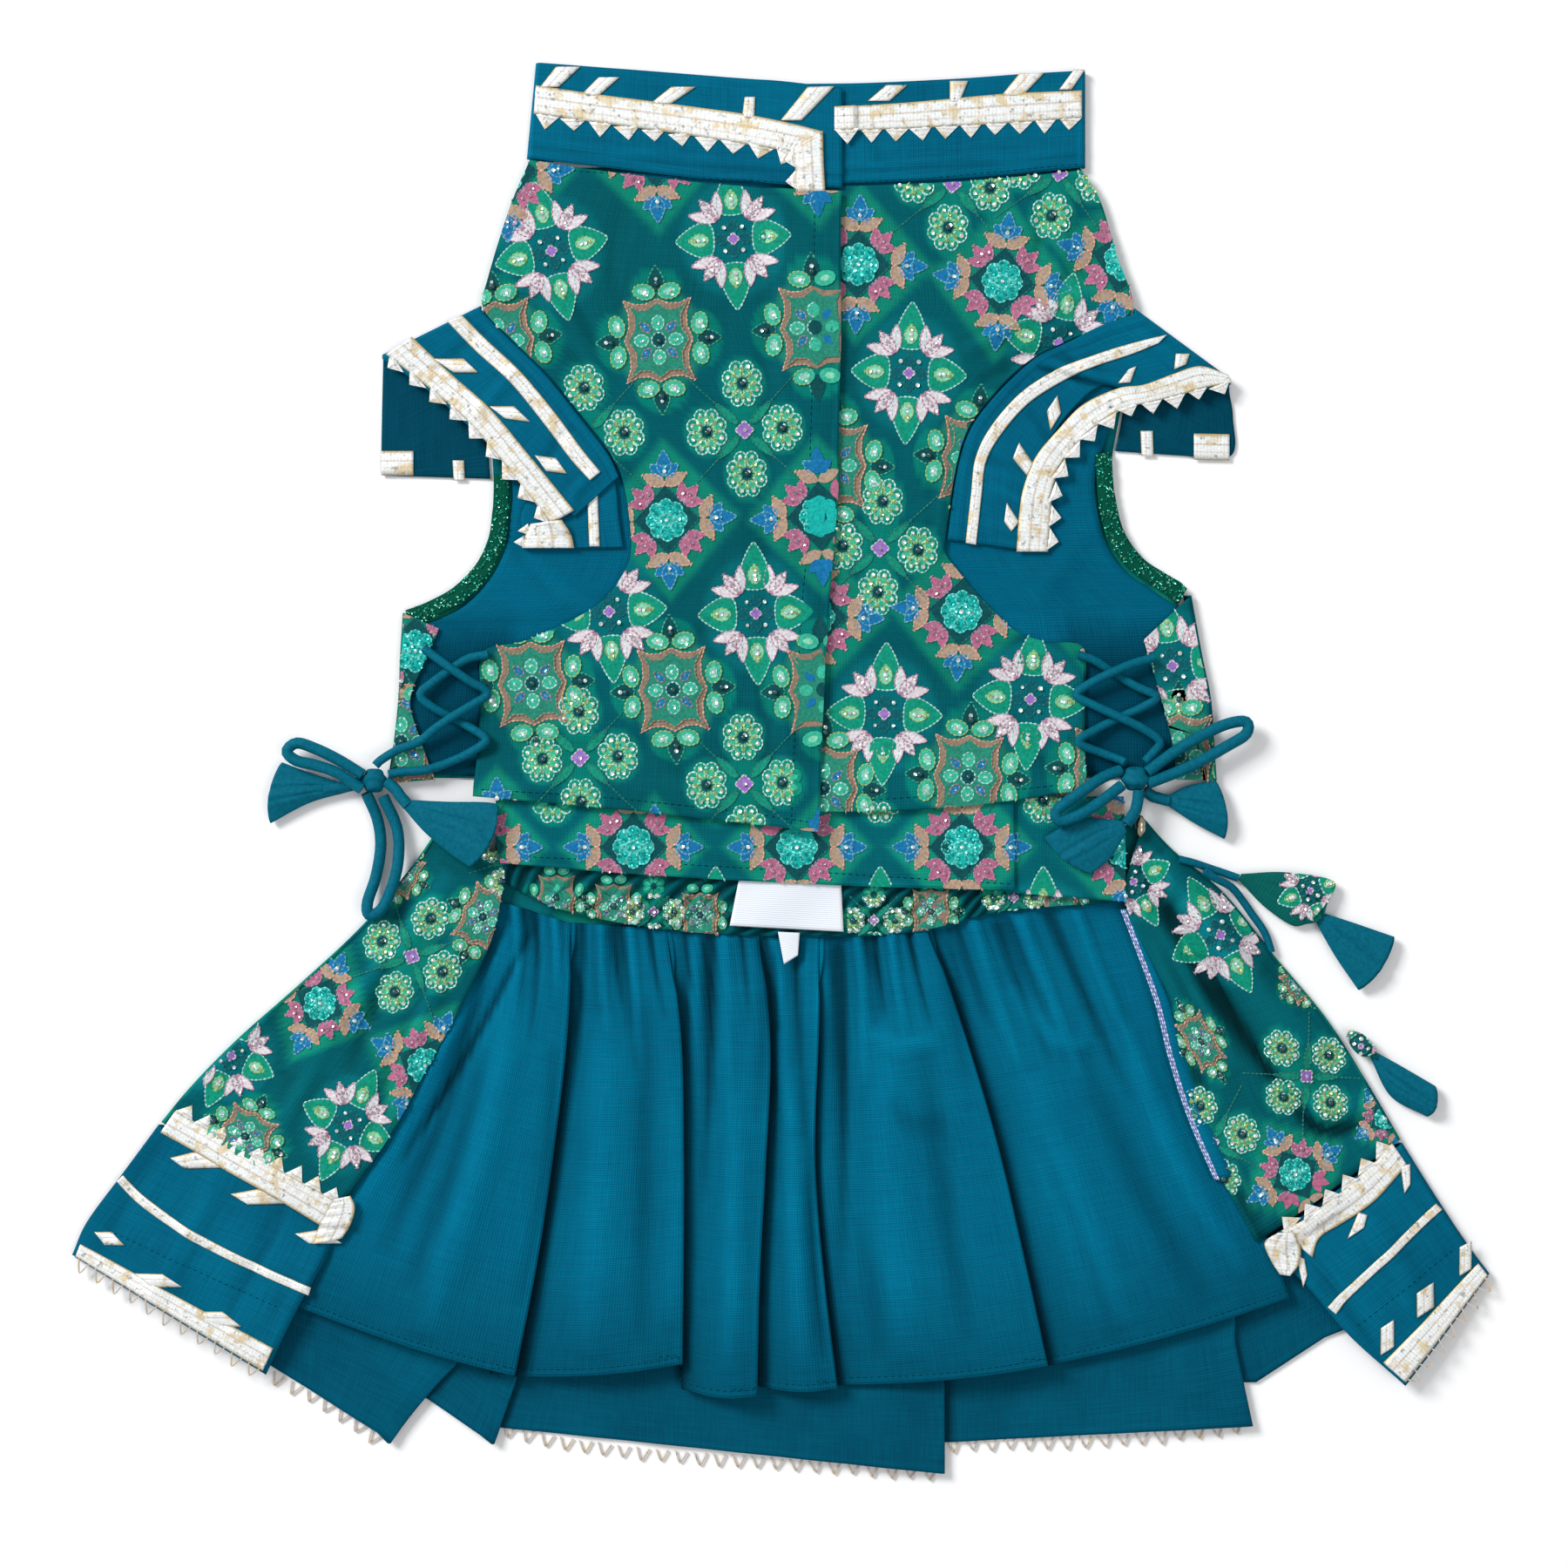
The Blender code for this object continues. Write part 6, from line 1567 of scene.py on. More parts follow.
def waistCasing():
    across, down = spaced(casing["columns"]), spaced(casing["rows"])[:, None]
    top, low = along(casingTop, across), along(casingLow, across)
    x, y = [top[None, :, k] * (1 - down) + low[None, :, k] * down for k in (0, 1)]
    s = across[None, :]
    ruche = np.sin(s * casing["ruches"] * 2 * math.pi + 0.9 * np.sin(s * 21) + 0.5 * down * np.sin(s * 57))
    ruche = 1 - 2 * np.abs(np.sin(np.arcsin(ruche) / 2 + 0.6 * math.pi / 2)) ** 1.6
    swell = (casing["height"] + 0.3 * np.sin(s * 43)) * ruche * (0.75 + 0.5 * np.sin(down * math.pi))
    # Its colour is darkened to 0.85 throughout by painted shade
    clothPiece("waist_casing", x, y, casing["level"] + swell + 0.25 * np.sin(down * 6.3), printedCloth,
               (0.31, 0.021), "gathered", ["skirt_lining"], area=0.0061,
               tint=groundTint(x, y, casingPrints), shade=0.85)
    # It is stitched only where it shows: below the strap, and not behind the label
    keep = within(rim(x, y))
    labelled = within([(-21.5, -40.0), (25.5, -40.0), (25.5, -66.0), (-21.5, -66.0)])
    drawPrint("waist_casing", casingPrints, keep, lambda a, b: keep(a, b) & ~labelled(a, b) & (b < -48.5))


waistCasing()

# The woven label and the size tab below it, both blank
x, y = ruled([(-15.8, -41.5, 22.9, -42.5), (-19.5, -60.2, 23.9, -62.5)], spaced(30), spaced(14))
z = 6.4 + 0.35 * np.sin((x - y) * 0.16) + 0.12 * hump(y, -43.5, 1.0)
clothPiece("woven_label", x, y, z, labelSatin, (0.042, 0.020), "laid", ["waist_casing"], wall=0.4)
x, y = ruled([(-1.1, -62.5, 7.2, -62.9), (1.2, -74.9, 6.5, -71.5)], spaced(10), spaced(12))
clothPiece("size_tab", x, y, 6.0 + 0.2 * np.sin(x * 0.5), labelSatin, (0.010, 0.012), "laid",
           ["waist_casing"], area=0.00009, wall=0.4)

# Belly strap: where the fronts' hems cross it, its print, its creases and its two ends
underHem = {"x": (-117, 14, 14.5, 116), "y": (-11.5, -25.5, -17.0, -9.0)}
strapPrint = [("D", x, -30.2, 0) for x in (-117.1, -56.1, 6.2, 68.9, 131.2)]
for x in (-86.8, -24.8, 37.9, 99.9):
    strapPrint += [("A", x, -64.9, 0), ("C", x, 4.5, 0)]
strapCreases = [
    (-98.8, -19.5, -85.5, -31.2, -65.5, -36.2, 3.0, 0.7),
    (-38.8, -22.9, -25.5, -34.5, -8.8, -39.5, 3.0, -0.6),
    (37.9, -26.2, 47.9, -36.2, 61.2, -42.9, 3.0, 0.6), (94.5, -19.5, 106.2, -34.5, 117.9, -46.2, 3.0, 0.8),
]
strapCloth = {"level": 7.2, "deep": 33, "areaShare": 0.86, "shade": 1.2}
straps = {
    "belly_strap_left": {"columns": 120, "cut": (0.196, 0.032), "lap": 1.4, "rows": [
        (-108.5, -11.0, 88.9, -11.0), (-108.8, -26.2, 88.9, -26.2, 1.5), (-106.8, -36.2, 89.2, -46.5, 2.0)]},
    "belly_strap_right": {"columns": 40, "cut": (0.057, 0.040), "lap": 0.0, "rows": [
        (74.5, -10.9, 130.5, -10.9), (74.5, -26.2, 131.2, -30.2, 0.5), (74.5, -45.9, 131.2, -50.9, 0.5)]},
}
for name, strap in straps.items():
    down, cut = spaced(24), strap["cut"]
    x, y = ruled(strap["rows"], spaced(strap["columns"]), down)
    z = strapCloth["level"] + strap["lap"] * rise(x, 62.9, 72.9) + creased(x, y, strapCreases)
    z = z + hemmed((1 - down)[:, None] * strapCloth["deep"], 2.6, 0.3)
    clothPiece(name, x, y, z, printedCloth, cut, "laid", ["waist_casing"],
               area=cut[0] * cut[1] * strapCloth["areaShare"], tint=groundTint(x, y, strapPrint),
               shade=strapCloth["shade"])
    keep = within(rim(x, y))
    drawPrint(name, strapPrint, keep,
              lambda a, b: keep(a, b) & (b < np.interp(a, underHem["x"], underHem["y"]) - 1.0))
print("casing, labels and strap made")


# The choli. Each row is left x, y and right x, y
backRows = [
    (-96.1, 229.5, 114.5, 229.5), (-103.5, 213.8, 121.5, 215.5), (-111.5, 187.1, 130.5, 187.1),
    (-113.5, 173.1, 133.9, 171.8), (-112.1, 143.8, 131.2, 143.8), (-109.8, 108.8, 126.5, 117.1),
    (-110.5, 97.1, 127.9, 103.8), (-112.1, 87.1, 131.2, 90.5), (-117.1, 77.1, 138.5, 80.1),
    (-125.5, 68.8, 147.9, 73.8), (-134.8, 63.1, 153.9, 69.8), (-140.8, 59.8, 151.9, 63.1),
    (-142.1, 43.8, 155.9, 43.8), (-142.8, 27.1, 159.2, 27.1), (-145.5, 0.5, 161.2, 0.5),
    (-146.1, -3.9, 161.5, -3.9),
]
backLiningRows = [
    (-94.1, 227.5, 112.5, 227.5), (-101.5, 213.8, 119.5, 215.1), (-108.8, 187.1, 127.9, 187.1),
    (-110.8, 173.1, 131.2, 171.8), (-109.5, 143.8, 129.5, 143.8), (-102.8, 109.5, 121.0, 115.5),
    (-103.5, 95.1, 120.5, 101.5), (-105.5, 83.1, 123.9, 86.8), (-111.1, 72.1, 131.2, 75.5),
    (-120.5, 62.1, 141.9, 67.8), (-131.1, 56.5, 148.9, 63.1), (-139.5, 53.1, 153.2, 59.1),
    (-142.1, 43.1, 156.5, 43.1), (-143.1, 27.1, 160.5, 27.1), (-145.8, 0.5, 162.5, 0.5),
    (-146.1, -2.5, 162.9, -2.5),
]
facingLeftRows = [
    (-109.5, 112.1, -103.5, 111.5), (-110.1, 97.1, -104.1, 96.5), (-111.8, 87.1, -106.1, 84.5),
    (-116.8, 77.1, -111.8, 73.5), (-125.1, 68.8, -121.1, 63.5), (-135.5, 63.1, -131.8, 57.8),
    (-143.5, 60.1, -140.8, 54.5),
]
facingRightRows = [
    (126.2, 120.5, 120.2, 119.8), (127.5, 103.8, 121.2, 102.8), (130.9, 90.5, 124.5, 88.1),
    (138.2, 80.1, 131.9, 76.8), (147.5, 73.8, 142.9, 69.1), (155.2, 68.5, 151.9, 62.8),
]
turnLeftRows = [
    (-130.5, 53.1, -144.1, 59.1), (-136.1, 40.5, -145.1, 43.8), (-141.5, 25.5, -145.8, 27.1),
    (-137.5, 10.5, -147.5, 10.5), (-132.1, -4.5, -150.1, -5.9),
]
turnRightRows = [
    (138.5, 48.8, 156.5, 65.8), (141.2, 39.8, 160.5, 43.8), (145.2, 26.5, 163.9, 27.1),
    (149.2, 10.5, 165.2, 10.5), (151.2, -4.5, 166.2, -4.9),
]
backCreases = [
    (-98.8, 80.5, -78.8, 63.8, -58.8, 53.8, 4.0, 0.8), (131.2, 107.1, 107.9, 80.5, 94.5, 60.5, 4.0, 0.8),
    (114.5, 127.1, 101.2, 100.5, 81.2, 77.1, 3.5, -0.7),
    (-108.8, 107.1, -102.1, 83.8, -85.5, 63.8, 3.5, -0.6),
    (134.5, 60.5, 121.2, 47.1, 101.2, 40.5, 3.5, 0.7), (-132.1, 53.8, -112.1, 40.5, -92.1, 27.1, 3.5, 0.7),
]
# The back's print lies on its lower face, which looks down
backPrint = lattice(-150, -10, 170, 235, (6.0, 10.0))
x, y = ruled(backRows, spaced(60), spaced(50))
clothPiece("choli_back", x, y, np.full_like(x, floorLevel), printedCloth, (0.30, 0.235), "laid",
           ["choli_back_lining"], area=0.058, tint=groundTint(x, y, backPrint))
drawPrint("choli_back", backPrint, within(rim(x, y)), height=lambda a, b: np.full_like(a, 0.24), face=-1.0)
x, y = ruled(backLiningRows, spaced(76), spaced(72))
# Painted shade darkens the lining behind the lacings
shadeBehindLacing = rise(-y, -64, -44) * np.maximum(rise(-x, 98, 106), rise(x, 104, 112))
clothPiece("choli_back_lining", x, y, 1.9 + creased(x, y, backCreases), tealLining, (0.30, 0.23), "laid",
           ["choli_back"], area=0.056, shade=0.9 - 0.42 * shadeBehindLacing)

# Armhole facings: dark printed strips strewn with small sequins
facing = {"level": 2.45, "crown": 0.35, "strewn": 1300, "sequin": (0.4, 0.4, 0.35),
          "tones": ("green", "leaf", "leaf", "moss", "glow", "pale")}


def armholeFacing(name, rows, cut):
    across = spaced(6)
    x, y = ruled(rows, across, spaced(60))
    z = facing["level"] + facing["crown"] * np.sin(math.pi * across)[None, :] + 0 * x
    clothPiece(name, x, y, z, printedCloth, cut, "laid", ["choli_back_lining"], area=0.00045,
               tint=np.broadcast_to(np.array(linear("#064C3A")), (x.size, 4)))
    spots = chance.uniform((x.min(), y.min()), (x.max(), y.max()), (facing["strewn"], 2))
    spots = spots[inside(spots[:, 0], spots[:, 1], rim(x, y))]
    tone = inks(facing["tones"])[chance.integers(0, len(facing["tones"]), len(spots))]
    sewnOn[name].append(repeated(
        name + "_sequins", sequinShape, np.column_stack([spots, heightOn(name, *spots.T) + 0.25]),
        chance.uniform(0, 6, len(spots)), facing["sequin"], sequinFilm, tone,
        chance.normal(0, 0.3, (len(spots), 2))))


armholeFacing("armhole_facing_left", facingLeftRows, (0.010, 0.072))
armholeFacing("armhole_facing_right", facingRightRows, (0.010, 0.070))


# A side edge of the back turned over to the front; away is -1 for the left side and 1 for the right
def sideTurn(name, rows, away, laid, cut, level=3.3, shown=14):
    row = along(rows, spaced(60))
    flat = np.ones(len(row))
    columns = [(between(row, 0, 2, u), between(row, 1, 3, u), flat * level) for u in spaced(shown, 0, 0.97)]
    columns += [(row[:, 2] + away * (step - fold["radius"]), row[:, 3], flat * high)
                for step, high in foldSteps(level)]
    columns += [(row[:, 2] - away * deep, row[:, 3], flat * floorLevel) for deep in (1.4, 2.6)]
    x, y, z = gridOf(columns)
    clothPiece(name, x, y, z, printedCloth, cut, "folded", ["choli_back"], area=cut[0] * cut[1] * 0.85,
               tint=groundTint(x, y, laid))
    drawPrint(name, laid, within(rim(x[:, :shown + 1], y[:, :shown + 1])))


sideTurn("side_turn_left", turnLeftRows, -1.0,
         [("D", -139.5, 44.5, 0), ("B", -144.8, 9.8, 0)], (0.024, 0.064))
sideTurn("side_turn_right", turnRightRows, 1.0,
         [("A", 149.5, 38.8, 8), ("B", 151.9, 4.5, 0)], (0.026, 0.066))

frontLeftRows = [
    (-95.8, 232.1, 23.2, 219.8, 2.0), (-103.5, 213.8, 22.9, 206.5), (-111.8, 187.1, 22.9, 183.8),
    (-113.5, 175.1, 22.9, 173.1), (-101.5, 162.5, 22.9, 160.5), (-88.1, 149.1, 22.5, 147.1),
    (-74.5, 132.5, 22.2, 131.1), (-64.5, 119.1, 21.9, 117.8), (-59.5, 106.1, 21.9, 105.1),
    (-57.1, 83.1, 20.2, 83.1), (-61.5, 71.8, 19.2, 71.1), (-68.1, 63.8, 18.5, 62.5),
    (-77.1, 57.8, 18.2, 56.5), (-86.8, 53.1, 17.9, 50.5), (-98.8, 48.1, 17.2, 44.5),
    (-113.8, 44.1, 16.9, 38.5), (-114.5, 27.1, 16.2, 22.1), (-115.5, 10.5, 15.5, 5.5),
    (-116.1, 0.5, 15.2, -4.5), (-116.8, -5.9, 14.9, -14.5), (-117.1, -10.9, 14.2, -24.5, -0.8),
]
frontRightRows = [
    (11.9, 222.1, 114.5, 228.1, 1.6), (11.2, 210.5, 121.9, 216.5), (11.2, 193.8, 127.9, 196.5),
    (11.2, 177.1, 133.9, 173.5), (11.2, 167.1, 111.9, 164.1), (10.9, 157.8, 95.2, 155.8),
    (10.5, 145.5, 81.5, 142.8), (10.2, 132.1, 71.5, 129.5), (9.9, 115.5, 66.5, 113.1),
    (8.5, 93.8, 62.9, 87.1), (7.9, 83.8, 62.9, 81.8), (7.2, 76.5, 67.9, 74.8), (6.9, 69.8, 74.2, 67.1),
    (6.5, 63.1, 81.2, 59.8), (6.2, 56.5, 89.9, 52.1), (5.9, 49.8, 102.5, 47.8), (5.5, 42.1, 115.5, 45.8),
    (4.5, 27.1, 115.9, 27.1), (3.9, 10.5, 115.9, 10.5), (3.5, 0.5, 115.9, 3.1, 0.6),
    (3.2, -7.9, 116.2, -2.5, 1.8), (2.9, -16.2, 116.2, -7.9, 3.4),
]
front = {"height": 3.5, "lapRise": 2.2, "strapClimb": 6.5, "crown": 1.4, "placket": 10.5}
leftPrint = [
    ("D", -48.1, 234.5, 3), ("D", 12.9, 236.5, 3), ("D", -105.5, 227.1, 3), ("A", -18.1, 201.8, 3.5),
    ("A", -87.5, 197.1, 14), ("B", -46.5, 163.1, 3), ("B", 12.9, 167.8, 3), ("B", -107.1, 162.1, 8),
    ("C", -13.8, 128.8, 3), ("C", -74.1, 127.1, 3), ("D", -43.5, 94.5, 3), ("D", 14.9, 95.8, 3),
    ("A", -9.5, 58.8, 2), ("A", -65.5, 59.5, 4), ("B", -41.1, 29.8, 3), ("B", -94.8, 32.1, 3),
    ("B", 16.2, 29.8, 3), ("C", -13.8, -6.2, 2), ("C", -76.5, 3.8, 2), ("D", -47.1, -40.5, 2),
    ("D", 16.2, -40.5, 2), ("D", -107.1, -30.2, 2),
]
rightPrint = [
    ("C", 65.5, 222.8, -6), ("C", 106.2, 227.1, -10), ("D", 84.5, 185.5, -6), ("D", 29.5, 192.1, -2),
    ("D", 131.2, 193.8, -14), ("A", 48.9, 150.5, -3), ("A", 106.2, 162.1, -12), ("B", 74.5, 117.8, -4),
    ("B", 19.5, 115.5, -2), ("C", 37.9, 83.8, -3), ("C", 97.9, 90.5, -4), ("D", 68.9, 59.5, -4),
    ("D", 12.9, 57.8, -2), ("A", 39.5, 20.5, -2), ("A", 95.2, 26.1, -4), ("B", 71.2, -3.5, -3),
    ("B", 16.2, -7.9, -2), ("B", 124.5, -1.2, -3), ("C", 36.2, -39.5, -2), ("D", 122.9, 60.5, -2),
]
leftCreases = [
    (-112.1, 177.1, -98.8, 183.8, -78.8, 182.1, 3.0, 1.4),
    (-102.1, 188.8, -82.1, 178.8, -68.8, 160.5, 3.0, -1.2),
    (-92.1, 167.1, -77.1, 160.5, -65.5, 143.8, 3.5, 1.2),
    (-108.8, 193.8, -92.1, 197.1, -68.8, 193.8, 4.0, 0.8),
    (-68.8, 80.5, -52.1, 73.8, -22.1, 77.1, 4.0, 0.7), (-65.5, 53.8, -38.8, 48.8, -12.1, 60.5, 4.0, -0.7),
    (-112.1, 27.1, -92.1, 17.1, -58.8, 10.5, 4.0, 0.8), (-85.5, 47.1, -65.5, 40.5, -45.5, 20.5, 4.0, -0.6),
    (-112.1, -6.2, -85.5, -7.9, -52.1, -16.2, 3.5, 0.8),
    (11.2, 210.5, 12.5, 127.1, 10.5, -12.9, 2.4, 0.35),
    (-32.1, 217.1, -27.1, 183.8, -32.1, 143.8, 5.0, 0.5),
    (-58.8, 217.1, -65.5, 193.8, -58.8, 167.1, 4.0, -0.6), (-12.1, 107.1, 1.2, 80.5, 17.9, 63.8, 3.5, 0.7),
    (-68.8, 127.1, -58.8, 107.1, -53.8, 87.1, 3.0, 0.9), (-5.5, 40.5, 1.2, 17.1, 2.9, -16.2, 3.5, 0.6),
    (-45.5, 7.1, -32.1, -6.2, 1.2, -19.5, 3.5, -0.6),
]
rightCreases = [
    (117.9, 182.1, 94.5, 172.1, 69.5, 158.8, 3.0, 1.6),
    (127.9, 177.1, 101.2, 160.5, 74.5, 147.1, 3.0, -1.4),
    (99.5, 222.1, 97.9, 200.5, 91.2, 177.1, 2.5, -1.2),
    (106.2, 217.1, 106.2, 193.8, 99.5, 173.8, 3.0, 1.2),
    (124.5, 210.5, 119.5, 193.8, 104.5, 178.8, 3.0, -0.9),
    (54.5, 130.5, 61.2, 107.1, 59.5, 80.5, 3.0, 1.0), (27.9, 107.1, 47.9, 97.1, 67.9, 103.8, 4.0, 0.7),
    (21.2, 63.8, 41.2, 60.5, 64.5, 67.1, 4.0, -0.7), (51.2, 47.1, 74.5, 40.5, 111.2, 45.5, 3.5, 0.9),
    (81.2, 33.8, 97.9, 7.1, 104.5, -6.2, 3.5, -0.8), (21.2, 7.1, 44.5, 0.5, 71.2, 7.1, 4.0, 0.7),
    (31.2, 217.1, 29.5, 173.8, 26.2, 137.1, 3.0, -0.6), (74.5, 80.5, 87.9, 67.1, 97.9, 50.5, 3.0, 0.8),
]
# The edge of the front that laps over
lapLine = [(23.6, 232.0), (22.9, 173.0), (22.0, 131.0), (20.2, 83.0), (18.2, 57.0), (16.2, 22.0),
           (14.4, -26.0)]


def lapAt(y):
    lapX, lapY = zip(*reversed(lapLine))
    return np.interp(y, lapY, lapX)


# A front's plan and height: level over the back, climbing on to the belly strap at the hem.
# Gives its crown too, which is highest in its middle.
def frontGrid(rows, across, down):
    x, y = ruled(rows, spaced(across), spaced(down))
    level = front["height"] + front["strapClimb"] * rise(-y, -11.1, 8.9)
    crown = front["crown"] * np.sin(math.pi * spaced(across))[None, :]
    return x, y, level, crown * np.sin(math.pi * spaced(down))[:, None]


# The lower front, and the one that laps over it
def frontRight():
    x, y, level, crown = frontGrid(frontRightRows, 78, 144)
    z = level + crown * rise(x, 31.2, 54.5) + creased(x, y, rightCreases) * rise(x, 24, 40)
    clothPiece("choli_front_right", x, y, z, printedCloth, (0.135, 0.245), "laid",
               ["choli_back_lining", "belly_strap_left"], area=0.0225, tint=groundTint(x, y, rightPrint))
    keep = within(rim(x, y))
    drawPrint("choli_front_right", rightPrint, keep, lambda a, b: keep(a, b) & (a > lapAt(b) + 0.8))


def frontLeft():
    x, y, level, crown = frontGrid(frontLeftRows, 88, 150)
    z = level + front["lapRise"] * rise(x, -8.8, 1.2) + crown * (1 - rise(x, -18.8, -2.1))
    z = z + creased(x, y, leftCreases) * (1 - 0.6 * rise(x, -10, 8)) + hemmed(lapAt(y) - x, 2.0, 0.35)
    clothPiece("choli_front_left", x, y, z, printedCloth, (0.142, 0.245), "laid",
               ["choli_front_right", "choli_back_lining", "belly_strap_left"], area=0.0272,
               tint=groundTint(x, y, leftPrint))
    keep = within(rim(x, y))
    drawPrint("choli_front_left", leftPrint, keep,
              lambda a, b: keep(a, b) & (a < lapAt(b) - front["placket"]))


frontRight()
frontLeft()
print("choli panels made")

# Collar: from the end on the front's right, round the left fold, along the back, round the
# right fold and back along the front. Columns: x, top y, low y, height
collarLeft = [
    (23.5, 259.1, 221.1, 4.9), (1.2, 261.8, 222.5, 4.9), (-12.1, 262.8, 223.8, 4.4),
    (-32.1, 264.5, 225.1, 3.5), (-65.5, 267.1, 229.1, 3.5), (-91.5, 269.1, 232.5, 3.5),
]
collarBack = [
    (-90.8, 269.0, 231.8, 0.5), (-38.8, 264.6, 231.8, 0.5), (11.2, 261.2, 231.8, 0.5),
    (61.2, 262.4, 231.8, 0.5), (113.9, 266.0, 231.8, 0.5),
]
collarRight = [
    (113.9, 266.1, 229.1, 3.3), (91.2, 264.8, 226.8, 3.3), (67.9, 263.1, 225.1, 3.3),
    (34.5, 261.5, 223.5, 3.3), (9.5, 261.1, 223.1, 3.3),
]
collarCreases = [
    (-85.5, 238.8, -65.5, 233.8, -38.8, 234.5, 2.5, 0.5),
    (67.9, 235.5, 91.2, 231.1, 111.2, 233.8, 2.5, 0.5),
    (-32.1, 228.8, -12.1, 227.1, 7.9, 225.5, 2.5, -0.4), (21.2, 247.1, 29.5, 237.1, 37.9, 227.1, 3.0, 0.6),
    (-65.5, 265.5, -45.5, 262.1, -22.1, 260.5, 2.5, 0.4),
]
# Columns of its grid: the left of its front, the back, the back with both folds, and the right
collarParts = {"left": np.s_[:, :71], "back": np.s_[78:150], "turned": np.s_[:, 71:157],
               "right": np.s_[:, 157:]}


def collarBand():
    leftFold = [(-93.1 + fold["radius"] - step, 269.1, 232.5, high) for step, high in foldSteps(3.5)]
    rightFold = [(115.9 - fold["radius"] + step, 266.1, 229.1, high) for step, high in foldSteps(3.3)[::-1]]
    table = np.vstack([along(collarLeft, spaced(70)), leftFold, along(collarBack, spaced(70)), rightFold,
                       along(collarRight, spaced(60))])
    down = spaced(24)[:, None]
    x = table[None, :, 0] - 3.6 * rise(-table[None, :, 0], 45.5, 98.8) * down
    y = table[None, :, 1] * (1 - down) + table[None, :, 2] * down
    z = table[None, :, 3] + 0 * down
    shown = np.ones(x.shape[1])
    shown[collarParts["back"]] = 0
    welt = 0.3 * hump(down, 0.82, 0.04) - 0.25 * hump(down, 0.87, 0.02)
    z = z + (creased(x, y, collarCreases) + welt) * shown
    z = z + hemmed(x.max() - x, 2.2, 0.3) * (np.arange(x.shape[1]) < 8)
    clothPiece("collar_band", x, y, z, tealSilk, (0.416, 0.038), "folded",
               ["choli_front_left", "choli_front_right", "choli_back"], carries=False,
               split=[collarParts[k] for k in ("left", "turned", "right")])
    for side in ("left", "right"):
        mapPart("collar_" + side, x, y, z, collarParts[side])


collarBand()

# Cap sleeves: a row for each ray from the armhole seam to the laced edge
sleeveRows = {
    "left": [
        (-114.5, 174.8, -152.1, 156.1), (-102.8, 162.8, -132.8, 142.5), (-89.5, 149.5, -112.8, 124.5),
        (-76.1, 132.8, -96.8, 110.5), (-66.1, 119.8, -84.8, 100.5), (-61.8, 111.1, -78.8, 95.8),
    ],
    "right": [
        (134.9, 173.1, 171.5, 146.1), (121.9, 168.5, 151.9, 142.5), (111.9, 163.5, 135.2, 143.1),
        (102.5, 159.1, 122.5, 145.8), (95.5, 155.1, 111.2, 136.8), (81.9, 142.1, 101.9, 123.5),
        (72.2, 128.8, 98.5, 110.5), (67.2, 112.8, 99.9, 93.8), (63.5, 87.1, 102.5, 81.8),
    ],
}
sleeveUnder = {
    "left": [
        (-114.5, 173.8, -152.1, 154.5), (-114.1, 157.1, -152.5, 137.1), (-112.8, 133.8, -152.8, 117.1),
        (-111.1, 110.5, -152.1, 111.8),
    ],
    "right": [
        (134.9, 171.8, 171.5, 143.8), (133.9, 153.8, 172.9, 133.8), (130.5, 133.8, 171.9, 119.1),
        (127.9, 121.1, 151.2, 119.5),
    ],
}
sleeveStripes = {
    "left": [
        (-121.5, 172.5, -127.5, 170.5), (-112.1, 163.1, -116.5, 159.1), (-98.8, 150.5, -102.8, 146.5),
        (-85.5, 134.5, -89.8, 130.5), (-76.1, 121.8, -80.5, 118.1), (-68.8, 112.8, -72.8, 109.5),
    ],
    "right": [
        (147.2, 165.1, 143.9, 161.8), (131.2, 161.1, 133.2, 157.5), (117.9, 156.8, 119.9, 153.1),
        (104.9, 151.8, 108.5, 148.1), (91.2, 142.8, 94.5, 139.1), (79.9, 129.8, 83.9, 127.1),
        (74.2, 117.8, 78.2, 116.5), (72.5, 103.8, 76.5, 103.1), (70.5, 85.8, 74.5, 85.1),
    ],
}
sleeveEndRows = [
    (-65.5, 115.5, -94.8, 105.1), (-62.8, 106.5, -98.8, 97.1), (-61.8, 95.5, -98.8, 89.8),
    (-60.1, 84.1, -98.1, 83.5),
]
sleeveCreases = [
    (97.9, 153.1, 114.5, 148.1, 134.5, 143.1, 1.2, -1.6),
    (99.5, 155.5, 116.2, 150.5, 136.2, 145.8, 2.0, 1.0),
    (-98.8, 153.8, -108.8, 143.8, -117.1, 133.8, 2.5, 0.8),
    (-78.8, 130.5, -85.5, 123.8, -92.1, 112.1, 2.5, -0.7),
    (-112.1, 167.1, -122.1, 160.5, -132.1, 150.5, 2.5, -0.6),
    (-68.8, 113.8, -77.1, 107.1, -82.1, 97.1, 2.5, 0.8),
    (111.2, 160.5, 121.2, 147.1, 134.5, 142.1, 2.5, 0.9),
    (94.5, 137.1, 101.2, 127.1, 106.2, 120.5, 2.5, -0.7), (77.9, 107.1, 87.9, 103.8, 97.9, 97.1, 2.5, 0.8),
    (67.9, 120.5, 81.2, 117.1, 94.5, 112.1, 2.5, -0.6),
    (134.5, 167.1, 144.5, 160.5, 154.5, 150.5, 2.5, 0.7), (71.2, 93.8, 84.5, 92.1, 97.9, 88.8, 2.5, 0.6),
]
underCreases = [
    (-142.1, 147.1, -139.5, 130.5, -138.8, 117.1, 2.5, 0.25),
    (-125.5, 137.1, -124.1, 123.8, -125.5, 112.1, 2.5, 0.25),
    (147.9, 137.1, 149.5, 127.1, 151.2, 120.5, 2.5, 0.25),
]


# The left sleeve's folded part lies higher along its rays, the right one's lower
def sleeveHeight(side, v):
    return 3.5 + 1.4 * rise(v, 0.1, 0.5) if side == "left" else 4.9 - 1.4 * rise(v, 0.22, 0.38)


